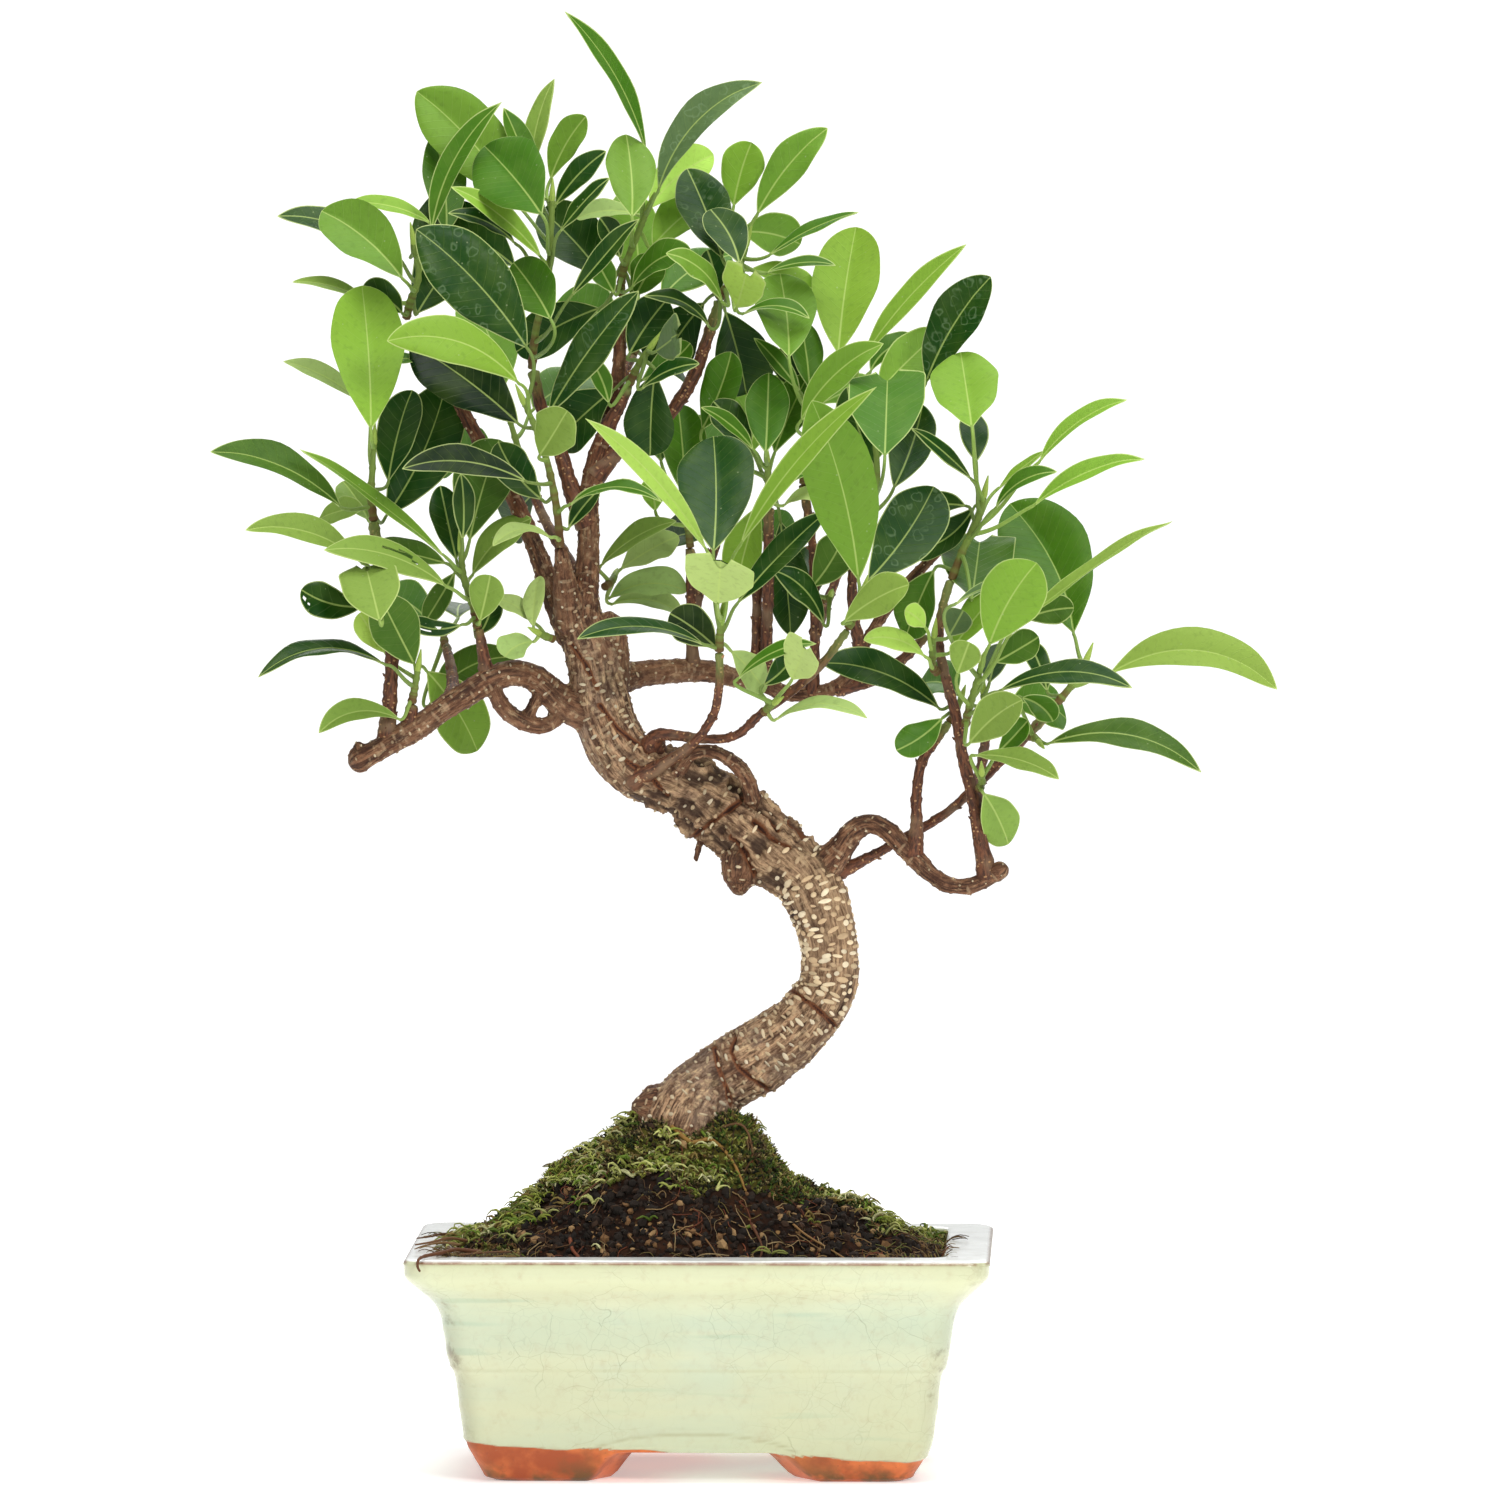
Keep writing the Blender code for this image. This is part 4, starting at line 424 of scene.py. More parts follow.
def ring_plan(half_x, corner, straight=44, bend=10):
    """Rounded rectangle with the same number of points for every size."""
    half_y = half_x - POT_INSET
    points = []
    for quarter, (sx, sy) in enumerate(((1, 1), (-1, 1), (-1, -1), (1, -1))):
        cx = sx * (half_x - corner)
        cy = sy * (half_y - corner)
        for k in range(bend + 1):
            angle = math.radians(90.0 * quarter + 90.0 * k / bend)
            edge = (cx + corner * math.cos(angle), cy + corner * math.sin(angle))
            if k < bend:
                points.append(edge)
        far = (edge[0], -edge[1]) if quarter % 2 else (-edge[0], edge[1])
        for k in range(straight):
            t = k / straight
            points.append((edge[0] + (far[0] - edge[0]) * t, edge[1] + (far[1] - edge[1]) * t))
    return np.array(points)


def level_ring(plan, height):
    """Ring of points at one height or at a height for each point."""
    return np.column_stack([plan, np.full(len(plan), height)])


def wall_half(heights):
    """Half length of the outer wall at given heights, with the corners of the profile eased."""
    known = smooth_path([(Vector((half, 0.0, z)), 0.0) for half, z in POT_WALL], 8)
    zs = np.maximum.accumulate([spot.z for spot, _ in known])
    halves = [min(spot.x, POT_WALL[-1][0]) for spot, _ in known]
    return np.interp(heights, zs, halves)


def arch_height(x, y):
    """Height of the pot's lower edge above the table: low arches part the four feet."""
    front = np.minimum(ramp(x, -41.0, -22.0), ramp(-x, -45.0, -20.0))
    side = ramp(-np.abs(y), -18.0, -10.5)
    long_side = np.abs(y) > np.abs(x) - POT_INSET
    share = np.where(long_side, front, side)
    return ARCH_CROWN * np.sin(0.5 * math.pi * share)


def glaze_edge(x, y):
    """Height at which the glaze stops, a wavy line just above the feet."""
    wave = 0.7 * np.sin(0.11 * x + 0.6 + 0.05 * y) + 0.35 * np.sin(0.31 * x + 0.22 * y)
    return np.clip(10.4 - 0.038 * x + 0.7 * wave, 7.0, 14.2)


def foot_rings():
    """Outer wall between the arches and the plain wall above the feet."""
    base = ring_plan(FOOT_HALF, POT_CORNER)
    lift = arch_height(base[:, 0], base[:, 1])
    rings = []
    for share in np.linspace(0.0, 1.0, 30):
        z = lift + (FOOT_TOP - lift) * share
        half = wall_half(z) - 1.0 * (1.0 - ramp(share, 0.0, 0.09))
        ring = np.zeros((len(base), 3))
        for size in np.unique(np.round(half, 3)):
            chosen = np.isclose(half, size, atol=6e-4)
            ring[chosen, :2] = ring_plan(size, POT_CORNER)[chosen]
        ring[:, 2] = z
        rings.append(ring)
    return rings


def lip_profile():
    """Round outer edge, flat top and round inner edge of the lip: (half length, height)."""
    profile = []
    for angle in 0.5 * math.pi * np.arange(9) / 8.0:
        profile.append((LIP_HALF + LIP_ROUND * math.cos(angle), LIP_EDGE + LIP_ROUND * math.sin(angle)))
    profile += [(half, POT_TOP) for half in np.arange(96.0, LIP_INSIDE + 1.6, -1.6)]
    middle = LIP_INSIDE + INSIDE_ROUND
    for angle in 0.5 * math.pi * np.arange(7) / 6.0:
        profile.append((middle - INSIDE_ROUND * math.sin(angle),
                        POT_TOP - INSIDE_ROUND + INSIDE_ROUND * math.cos(angle)))
    return profile


def uneven_pot(flat, inner):
    """Hand-made waver, glaze coat and raised lines pushed out of the smooth pot."""
    x, y, z = flat.T
    uneven = 0.35 * noise(flat, 46.0, 3) + 0.12 * noise(flat * (1.0, 1.0, 2.2), 9.0, 4)
    outward = np.column_stack([flat[:, :2] / (np.hypot(x, y)[:, None] + 1e-6), np.zeros(len(flat))])
    edge = glaze_edge(x, y)
    coat = 0.55 * ramp(z - edge, -0.5, 0.35) + 0.35 * bell(z - edge, 0.9, 0.8)
    arch = RECESS_TOP + 9.0 * np.sqrt(np.clip(1.0 - (x / ARCH_HALF) ** 2, 0.0, 1.0))
    on_front = ramp(np.abs(y) - np.abs(x) * 0.5, 20.0, 30.0) * (np.abs(x) < ARCH_HALF)
    belt = 0.4 * bell(z, BELT_Z, 0.9) + 0.2 * bell(z, FOOT_BELT_Z, 2.0)
    wall = ramp(z, 2.0, 6.0) * (1.0 - ramp(z, 66.0, 68.0))
    push = uneven * wall + coat + 0.4 * bell(z, arch, 1.1) * on_front + belt * wall - 0.9
    push = push * (z > 0.5) * (1.0 - inner) * ramp(z, 0.2, 3.0)
    flat = flat + outward * push[:, None]
    level = 0.25 * noise(flat, 60.0, 8) + 0.1 * noise(flat, 11.0, 9)
    flat[:, 2] += (level - 0.3) * inner * ramp(flat[:, 2], 77.0, 78.3)
    flat[:, 0] += POT_X
    return flat


def build_pot():
    sole = []
    for half, recessed in POT_SOLE:
        plan = ring_plan(half, INNER_CORNER)
        height = arch_height(plan[:, 0] * FOOT_HALF / half, plan[:, 1])
        sole.append(level_ring(plan, np.maximum(height, RECESS_TOP) if recessed else height))
    wall = foot_rings()
    for z in np.concatenate([np.arange(15.0, 60.0, 1.0), np.arange(60.0, 76.2, 0.45)]):
        wall.append(level_ring(ring_plan(np.round(wall_half(z), 3), POT_CORNER), z))
    inside = []
    for half, z in lip_profile() + list(POT_INSIDE):
        inside.append(level_ring(ring_plan(half, min(POT_CORNER, 6.0 + 0.2 * (half - 84.0))), z))
    rings = np.array(sole + wall + inside)
    columns = rings.shape[1]
    inner = np.repeat([1.0] * len(sole) + [0.0] * len(wall) + [1.0] * len(inside), columns)
    shells = Shells()
    shells.add(uneven_pot(rings.reshape(-1, 3), inner), stacked_faces(len(rings), columns))
    mesh = shells.mesh("pot_body")
    drill(mesh)
    x, y, z = (read_vectors(mesh, "co") / MM + CENTRE - (POT_X, 0.0, 0.0)).T
    away = np.maximum(np.abs(x), np.abs(y) + POT_INSET)
    long_half = wall_half(np.clip(z, 0.5, 76.0))
    from_corner = np.hypot(np.abs(x) - long_half, np.abs(y) + POT_INSET - long_half)
    arch = RECESS_TOP + 8.2 * np.sqrt(np.clip(1.0 - ((x + 2.0) / 36.0) ** 2, 0.0, 1.0))
    on_front = (away > 70.0) * (np.abs(y) > 40.0) * (np.abs(x + 2.0) < 35.5)
    write_values(mesh, glazed=ramp(z - glaze_edge(x, y), -0.35, 0.25),
                 corner=(1.0 - ramp(from_corner, 2.2, 9.0)) * ramp(z, 10.0, 20.0),
                 crest=bell(z, arch, 0.5) * on_front,
                 line=bell(z, LIP_LINE_Z, 0.62) * ramp(away, 98.0, 99.0))
    mesh.set_sharp_from_angle(angle=math.radians(50.0))
    show("pot_body", mesh, pot_material(), "pot", "pot")


def drill(mesh):
    """Cut the two drain holes."""
    body = add_object("pot_blank", mesh)
    tools = Shells()
    for side in (-1.0, 1.0):
        tools.bar([(Vector((POT_X + side * DRAIN_X, 0.0, z)), DRAIN_RADIUS) for z in (4.0, 24.0)], 32)
    tool = add_object("drill", tools.mesh("drill"))
    cut = body.modifiers.new("cut", "BOOLEAN")
    cut.operation = "DIFFERENCE"
    cut.solver = "EXACT"
    cut.object = tool
    result = settled(body)
    bpy.data.objects.remove(tool, do_unlink=True)
    mesh.clear_geometry()
    work = bmesh.new()
    work.from_mesh(result)
    work.to_mesh(mesh)
    work.free()
    bpy.data.meshes.remove(result)
    mesh.shade_smooth()


# Glaze colours
GLAZE_COOL = (186, 198, 174)
GLAZE_WARM = (203, 205, 171)
GLAZE_CREAM = (196, 199, 164)
GLAZE_GREY = (181, 192, 162)
GLAZE_CRACK = (122, 120, 96)
GLAZE_FOOT = (184, 186, 146)
GLAZE_WAIST = (168, 192, 172)
GLAZE_LIP = (208, 211, 169)
# near white of the rim's top: a painted highlight of the light from above and the white surround
GLAZE_TOP_HIGHLIGHT = (250, 253, 250)
RUST = (118, 70, 42)
# Bands of the glaze in metres above the table, each from where it starts to show to where it is full
FOOT_BAND = (0.052, 0.014)
WAIST_FROM = (0.042, 0.05)
WAIST_TO = (0.066, 0.058)
LIP_BAND = (0.0655, 0.069)
# the rim's top, painted near white as a painted highlight
TOP_HIGHLIGHT_BAND = (0.0774, 0.0779)
BELT_SHOWN = 0.0392


def pot_material():
    mat = Mat("celadon_crackle", Specular_IOR_Level=0.5, Coat_Weight=0.35, Coat_Roughness=0.06)
    where = mat.place
    height = mat.parts(where)[2]
    # glaze in vertical streaks and clouds
    streak = mat.noise(mat.scaled(where, 9.0, 9.0, 75.0), 1.0, 4.0, 0.6)
    drift = mat.noise(where, 22.0)
    faint = mat.noise(mat.scaled(where, 14.0, 14.0, 210.0), 1.0, 2.0)
    glaze = mat.mix(mat.step(streak, 0.36, 0.66), GLAZE_COOL, GLAZE_WARM)
    glaze = mat.mix(mat.step(drift, 0.35, 0.7), glaze, GLAZE_CREAM)
    glaze = mat.mix(mat.step(faint, 0.6, 0.72), glaze, GLAZE_GREY)
    # wide cracks and a finer net between them
    wide = mat.cells(mat.scaled(mat.warped(where, 55.0, 0.012), 1.0, 1.0, 1.35), 62.0, "DISTANCE_TO_EDGE")
    fine = mat.cells(mat.warped(where, 160.0, 0.006), 190.0, "DISTANCE_TO_EDGE")
    shown = mat.step(mat.noise(where, 30.0, 2.0), 0.4, 0.62)
    crack = mat.times(mat.step(wide, 0.008, 0.0), mat.madd(shown, 0.4, 0.08))
    hair = mat.times(mat.step(fine, 0.035, 0.0), mat.madd(shown, 0.16, 0.03))
    glaze = mat.mix(mat.math("ADD", crack, hair, clamp=True), glaze, GLAZE_CRACK)
    # line round the middle, pits, worn corners and smears
    belt = mat.step(mat.math("ABSOLUTE", mat.math("SUBTRACT", height, BELT_SHOWN)), 0.0011, 0.0001)
    broken = mat.times(mat.noise(mat.scaled(where, 60.0, 60.0, 4.0), 1.0), 0.6)
    glaze = mat.paint(glaze, belt, (176, 176, 140), broken)
    dot, chance = mat.cells(where, 130.0)
    pit = mat.math("LESS_THAN", dot, mat.madd(chance[1], 0.07, 0.035))
    pit = mat.times(pit, mat.step(chance[0], 0.93, 0.97))
    glaze = mat.paint(glaze, pit, (88, 72, 48), 0.75)
    smudge = mat.step(mat.noise(where, 95.0, 5.0, 0.7), 0.5, 0.68)
    glaze = mat.paint(glaze, mat.value("corner"), (122, 110, 84), mat.madd(smudge, 0.85, 0.22))
    cloud = mat.step(mat.noise(mat.scaled(where, 1.0, 1.0, 2.2), 62.0, 5.0, 0.7), 0.62, 0.8)
    glaze = mat.paint(glaze, cloud, (176, 172, 140), 0.35)
    # bands by height: warm foot, cool waist, yellow lip with a pale top and a rust line; the near white of
    # the top is a painted highlight
    glaze = mat.paint(glaze, mat.step(height, *FOOT_BAND), GLAZE_FOOT, 0.5)
    cool = mat.times(mat.step(height, *WAIST_FROM), mat.step(height, *WAIST_TO))
    glaze = mat.paint(glaze, cool, GLAZE_WAIST, mat.madd(drift, 0.34, 0.06))
    glaze = mat.paint(glaze, mat.step(height, *LIP_BAND), GLAZE_LIP, 0.5)
    # the rim's top is painted near white as a painted highlight, with real smudges on it
    pale = mat.paint(GLAZE_TOP_HIGHLIGHT, smudge, (222, 222, 208), 0.3)
    glaze = mat.mix(mat.step(height, *TOP_HIGHLIGHT_BAND), glaze, pale)
    glaze = mat.paint(glaze, mat.value("crest"), (150, 146, 108), 0.5)
    ragged = mat.madd(mat.step(mat.noise(where, 120.0, 4.0, 0.7), 0.3, 0.6), 0.5, 0.5)
    glaze = mat.paint(glaze, mat.value("line"), RUST, ragged)
    # bare clay of the feet
    grit = mat.noise(where, 900.0, 2.0)
    clay = mat.mix(mat.step(mat.noise(where, 60.0, 4.0), 0.35, 0.65), (158, 70, 24), (214, 114, 54))
    stain = mat.step(mat.noise(where, 48.0, 4.0, 0.65), 0.5, 0.66)
    clay = mat.paint(clay, stain, (104, 74, 32), mat.madd(mat.step(height, 0.0075, 0.001), 0.6, 0.35))
    lime = mat.step(mat.noise(where, 75.0, 5.0, 0.7), 0.6, 0.72)
    clay = mat.paint(clay, lime, (206, 164, 128), 0.4)
    clay = mat.mix(mat.step(grit, 0.62, 0.8), clay, (140, 70, 36))
    torn = mat.math("ADD", mat.value("glazed"), mat.madd(mat.noise(where, 260.0), 0.5, -0.25))
    mask = mat.step(torn, 0.38, 0.62)
    seam = mat.times(mask, mat.step(torn, 1.02, 0.6))
    body = mat.paint(mat.mix(mask, clay, glaze), seam, (150, 100, 58), 0.55)
    gloss = mat.madd(mat.noise(where, 70.0), 0.14, 0.12)
    relief = mat.madd(crack, -0.5, mat.times(mat.noise(where, 240.0, 2.0), 0.35))
    relief = mat.math("SUBTRACT", relief, pit)
    relief = mat.madd(grit, mat.madd(mask, -0.6, 0.6), relief)
    mat.bump(relief, 0.5, 0.0003)
    return mat.finish(body, mat.math("ADD", mat.times(mask, gloss), mat.madd(mask, -0.82, 0.82)))


# ---------------------------------------------------------------- earth, moss and loose bits

TRUNK_X = -3.0            # the trunk's foot stands here, in the middle of the pot's depth
TRUNK_CLEARING = (17.0, 15.0)
SOIL_COLUMNS = 320
SOIL_HALF = 83.0
SOIL_CORNER = 5.5
SOIL_BEND = 12
SOIL_WALL = ((58.0, 0.985), (66.0, 0.99), (73.0, 0.995))    # side below the surface: (height, share)
# Heaped earth seen from the side: share of the way to the pot's edge, height
MOUND = ((0.0, 117.0), (0.24, 115.5), (0.42, 104.0), (0.62, 93.0), (0.82, 83.0), (1.0, 74.5))
# Hummocks and hollows of the heap: place, reach across and in depth, rise
HUMMOCKS = (
    (-45, -4, 10, 24, 3.5), (-29, 0, 7, 18, 2.5), (34, 0, 11, 30, -6.5), (3, -19, 14, 7, 8.5),
    (12, -16, 6, 6, 3), (-20, -16, 9, 7, 4), (55, -4, 6, 16, 2.5), (-65, -4, 10, 28, -5.5),
    (-12, -34, 9, 6, 2.5), (30, -34, 8, 6, 2.5),
)


def mound_height(x, y):
    """Height of the heaped earth at places given as arrays."""
    across = np.where(x > 0.0, x / 82.0, x / 88.0)
    share = np.minimum(np.hypot(across, y / 58.0), 1.0)
    height = np.interp(share, [s for s, _ in MOUND], [z for _, z in MOUND])
    return height + 0.8 * np.sin(0.13 * x + 1.0) * np.cos(0.17 * y)


def mound_surface(x, y):
    """Heaped earth with lumps and gullies, as a person's hand leaves it."""
    flat = level_ring(np.column_stack([x, y]), 0.0)
    share = np.minimum(np.hypot(x / 85.0, y / 58.0), 1.0)
    lumps = 4.2 * noise(flat, 18.0, 21) + 3.2 * noise(flat, 9.0, 22) + 1.5 * noise(flat, 3.6, 23)
    for at_x, at_y, reach_x, reach_y, rise in HUMMOCKS:
        lumps = lumps + rise * np.exp(-((x - at_x) / reach_x) ** 2 - ((y - at_y) / reach_y) ** 2)
    return mound_height(x, y) + (lumps + 0.6) * (1.0 - 0.6 * share ** 3) + 0.5 * noise(flat, 1.3, 24)


def ground_at(x, y):
    """Height of the earth at one place."""
    return mound_surface(np.array([x]), np.array([y]))[0]


def clear_of_trunk(x, y, margin=0.0):
    half_x, half_y = TRUNK_CLEARING
    return np.hypot((x - TRUNK_X) / (half_x + margin), y / (half_y + margin)) > 1.0


def mossy(x, y):
    """Share of moss on the heap: thick round the crown and the back, none on the bare front."""
    flat = level_ring(np.column_stack([x, y]), 0.0)
    patch = fractal(flat, 12.0, 31)
    line = 99.0 - 0.035 * np.abs(x) + 3.5 * noise(flat, 14.0, 33)
    bare = ramp(line - mound_height(x, y), -2.0, 3.0) * ramp(-y, 2.0, 14.0)
    left_end = ramp(-x, 52.0, 66.0)
    right_end = ramp(x, 54.0, 68.0) * ramp(mound_height(x, y), 76.0, 84.0)
    bare = bare * (1.0 - 0.6 * left_end) * (1.0 - 0.75 * right_end)
    return np.clip(1.0 - 1.25 * bare + 0.42 * patch, 0.0, 1.0)


def build_soil():
    plan = ring_plan(SOIL_HALF, SOIL_CORNER, SOIL_COLUMNS // 4 - SOIL_BEND, SOIL_BEND)
    rings = [level_ring(plan * share + (POT_X, 0.0), z) for z, share in SOIL_WALL]
    for share in np.linspace(1.0, 0.02, 120):
        spots = plan * share + (POT_X, 0.0)
        rings.append(level_ring(spots, mound_surface(*spots.T)))
    flat = np.concatenate(rings)
    shells = Shells()
    shells.add(flat, stacked_faces(len(rings), len(plan)), mossy=mossy(flat[:, 0], flat[:, 1])[:, None])
    show("soil_heap", shells.mesh("soil_heap"), earth_material(), "soil", "soil_mound")


def earth_material():
    mat = Mat("potting_earth", Specular_IOR_Level=0.1)
    where = mat.place
    crumb, chance = mat.cells(mat.warped(where, 300.0, 0.002), 620.0)
    tone = chance[0]
    peat = mat.mix(mat.step(tone, 0.1, 0.9), (13, 7, 4), (36, 21, 13))
    peat = mat.mix(mat.step(mat.noise(where, 120.0, 4.0), 0.45, 0.7), peat, (54, 32, 19))
    tan = mat.times(mat.step(tone, 0.93, 0.96), mat.step(crumb, 0.5, 0.3))
    peat = mat.paint(peat, tan, (150, 116, 74), 0.8)
    felt = mat.mix(mat.noise(where, 260.0, 4.0), (44, 40, 16), (104, 98, 40))
    mat.bump(mat.madd(mat.noise(where, 900.0), 0.6, crumb), 0.9, 0.0008)
    return mat.finish(mat.mix(mat.step(mat.value("mossy"), 0.35, 0.7), peat, felt), mat.madd(tone, 0.2, 0.75))


def tinted_material(name, roughness, variation):
    """Material that takes its colour from each small piece, with grain on top."""
    mat = Mat(name, Specular_IOR_Level=0.3)
    tint = mat.value("tint", "Color")
    grain = mat.noise(mat.place, 700.0)
    mat.bump(grain, 0.4, 0.0002)
    return mat.finish(mat.mix(grain, mat.mix(variation, tint, (30, 24, 12)), tint),
                      mat.madd(grain, 0.2, roughness - 0.1))


def spikes(shells, roots, leans, lengths, radii, tints):
    """Many small three-sided leaves, each a closed spike with one bend."""
    axis = unit(leans)
    side = unit(np.cross(axis, np.where(np.abs(axis[:, 2:3]) > 0.9, (1.0, 0.0, 0.0), (0.0, 0.0, 1.0))))
    other = np.cross(axis, side)
    points = []
    for level, swell in ((0.0, 1.0), (0.55, 0.8)):
        droop = np.array((0.0, 0.0, -0.12)) * level * level
        for k in range(3):
            angle = TURN * k / 3.0
            offset = (side * math.cos(angle) + other * math.sin(angle)) * (radii * swell)[:, None]
            points.append(roots + (axis * level + droop) * lengths[:, None] + offset)
    points.append(roots + (axis + np.array((0.0, 0.0, -0.22))) * lengths[:, None])
    base = np.arange(len(roots))[:, None, None] * 7
    quads = np.array([(0, 1, 4, 3), (1, 2, 5, 4), (2, 0, 3, 5)])
    triangles = np.array([(3, 4, 6), (4, 5, 6), (5, 3, 6), (0, 2, 1)])
    shells.add(np.stack(points, axis=1), [(quads + base).reshape(-1, 4), (triangles + base).reshape(-1, 3)],
               tint=np.repeat(tints, 7, axis=0))


# Greens of the moss, and which of them the sunny and the shady patches keep to
MOSS_TINTS = ((100, 104, 36), (146, 146, 64), (66, 84, 26), (172, 170, 92), (40, 52, 18), (72, 98, 26),
              (116, 132, 48))
SUNNY = (1, 3, 6)
SHADY = (2, 4, 5)
DRY_TINTS = ((132, 110, 62), (100, 74, 38), (170, 150, 100), (70, 48, 26))
DRY_SHARE = 0.22          # share of dry sprigs, and how much more in sunken patches
DRY_PATCH = 0.35
SPRIG_LEAVES = 9
LEAF_TURN = 2.4           # each leaf of a sprig stands this far round from the one below

MOSS_BEDS = {
    # name: middle (x, y), half size of the bed and number of sprigs
    "moss_front_left": (-30, -26, 32, 28, 2300),
    "moss_front_right": (32, -26, 32, 28, 2300),
    "moss_left": (-62, 2, 24, 40, 1800),
    "moss_right": (62, 6, 24, 40, 1800),
    "moss_back": (0, 26, 58, 33, 2600),
}


def build_moss():
    """Beds of leafy sprigs; each sprig is a short stem set with small pointed leaves."""
    material = tinted_material("moss_leaf", 0.8, 0.35)
    greens = palette(MOSS_TINTS)
    browns = palette(DRY_TINTS)
    for number, (name, (at_x, at_y, half_x, half_y, count)) in enumerate(MOSS_BEDS.items()):
        rng = np.random.default_rng(100 + number)
        x = at_x + half_x * rng.uniform(-1.0, 1.0, count * 2)
        y = at_y + half_y * rng.uniform(-1.0, 1.0, count * 2)
        keep = (np.abs(x - POT_X) < SOIL_HALF) & (np.abs(y) < SOIL_HALF - POT_INSET)
        keep &= rng.uniform(0.0, 1.0, count * 2) < mossy(x, y) ** 1.4
        keep &= clear_of_trunk(x, y)
        x, y = x[keep][:count], y[keep][:count]
        count = len(x)
        ground = mound_surface(x, y)
        reach = 1.5
        slope_x = (mound_surface(x + reach, y) - ground) / reach
        slope_y = (mound_surface(x, y + reach) - ground) / reach
        up = np.column_stack([-0.5 * slope_x, -0.5 * slope_y, np.ones(count)])
        up = unit(up + rng.normal(0.0, 0.45, up.shape) * (1.0, 1.0, 0.3))
        spots = np.column_stack([x, y, ground])
        patch = noise(spots, 7.0, 40)
        hue = noise(spots, 11.0, 44)
        tall = rng.uniform(0.8, 2.8, count) * (1.0 + 0.6 * patch)
        choice = rng.integers(0, len(greens), count)
        choice = np.where(hue > 0.3, rng.choice(SUNNY, count), choice)
        choice = np.where(hue < -0.3, rng.choice(SHADY, count), choice)
        dry = rng.uniform(0.0, 1.0, count) < DRY_SHARE + DRY_PATCH * ramp(-patch, 0.0, 0.6)
        colours = np.where(dry[:, None], browns[rng.integers(0, len(browns), count)], greens[choice])
        shells = Shells()
        for leaf in range(SPRIG_LEAVES):
            share = 0.1 + 0.9 * leaf / (SPRIG_LEAVES - 1.0)
            angle = leaf * LEAF_TURN + rng.uniform(0.0, TURN, count)
            spread = level_ring(np.column_stack([np.cos(angle), np.sin(angle)]), 0.35 + 0.6 * share)
            # leaves low on each sprig and sprigs in low patches are painted darker as painted shade down in
            # the cushion; the random part is the moss's own tone
            tint = colours * (0.18 + 0.85 * share + 0.75 * patch + rng.normal(0.0, 0.15, count))[:, None]
            tint[:, 3] = 1.0
            spikes(shells, spots - (0.0, 0.0, 0.5) + up * (tall * share)[:, None], spread + up * 0.5,
                   rng.uniform(0.8, 2.2, count), rng.uniform(0.14, 0.32, count), np.clip(tint, 0.0, 1.0))
        show(name + "_bed", shells.mesh(name), material, "moss", name)


def pebble():
    """Small closed lump with 20 faces."""
    golden = (1.0 + math.sqrt(5.0)) / 2.0
    corners = []
    for a in (-1.0, 1.0):
        for b in (-golden, golden):
            corners += [(0.0, a, b), (a, b, 0.0), (b, 0.0, a)]
    corners = np.array(corners) / math.hypot(1.0, golden)
    faces = []
    for i in range(12):
        for j in range(i + 1, 12):
            for k in range(j + 1, 12):
                sides = (corners[i] - corners[j], corners[j] - corners[k], corners[i] - corners[k])
                if max(np.linalg.norm(s) for s in sides) < 1.06:
                    outward = np.cross(corners[j] - corners[i], corners[k] - corners[i]) @ corners[i]
                    faces.append((i, j, k) if outward > 0.0 else (i, k, j))
    return corners, np.array(faces)


# Colours of the crumbs and how common each is
GRIT_TINTS = ((24, 14, 8), (34, 21, 13), (18, 11, 7), (54, 34, 20), (166, 132, 90), (126, 92, 58))
GRIT_ODDS = (0.3, 0.26, 0.22, 0.12, 0.05, 0.05)
GRIT_COUNT = 6500
GRIT_SIZE = 1.75


def build_grit():
    """Crumbs of peat, bark and grit on the open earth."""
    rng = np.random.default_rng(7)
    x = rng.uniform(-82.0, 82.0, GRIT_COUNT) + POT_X
    y = rng.uniform(-57.0, 57.0, GRIT_COUNT)
    keep = rng.uniform(0.0, 1.0, GRIT_COUNT) > 0.93 * mossy(x, y)
    keep &= clear_of_trunk(x, y)
    x, y = x[keep], y[keep]
    count = len(x)
    corners, faces = pebble()
    size = rng.uniform(0.45, 1.0, count) ** 2 * GRIT_SIZE
    stretch = rng.uniform(0.55, 1.45, (count, 3)) * size[:, None]
    spots = np.column_stack([x, y, mound_surface(x, y) + 0.2 * size])
    cloud = corners[None, :, :] * stretch[:, None, :]
    cloud = cloud * rng.uniform(0.72, 1.18, (count, 12))[:, :, None]
    turn = rng.uniform(0.0, TURN, count)
    cos, sin = np.cos(turn)[:, None], np.sin(turn)[:, None]
    a, b, c = np.moveaxis(cloud, 2, 0)
    a, c = a * cos - c * sin, a * sin + c * cos
    a, b = a * cos - b * sin, a * sin + b * cos
    chosen = rng.choice(len(GRIT_TINTS), count, p=GRIT_ODDS)
    block = faces[None, :, :] + np.arange(count)[:, None, None] * 12
    shells = Shells()
    shells.add(np.stack([a, b, c], axis=-1) + spots[:, None, :], [block.reshape(-1, 3)],
               tint=np.repeat(palette(GRIT_TINTS)[chosen], 12, axis=0))
    mesh = shells.mesh("soil_crumbs")
    mesh.shade_flat()
    show("soil_crumbs", mesh, tinted_material("crumb", 0.9, 0.5), "soil")


SPRIG_TINTS = ((196, 198, 120), (166, 172, 86), (142, 152, 58), (132, 112, 58), (206, 204, 148),
               (106, 132, 40))
SPRIG_TUFTS = 760


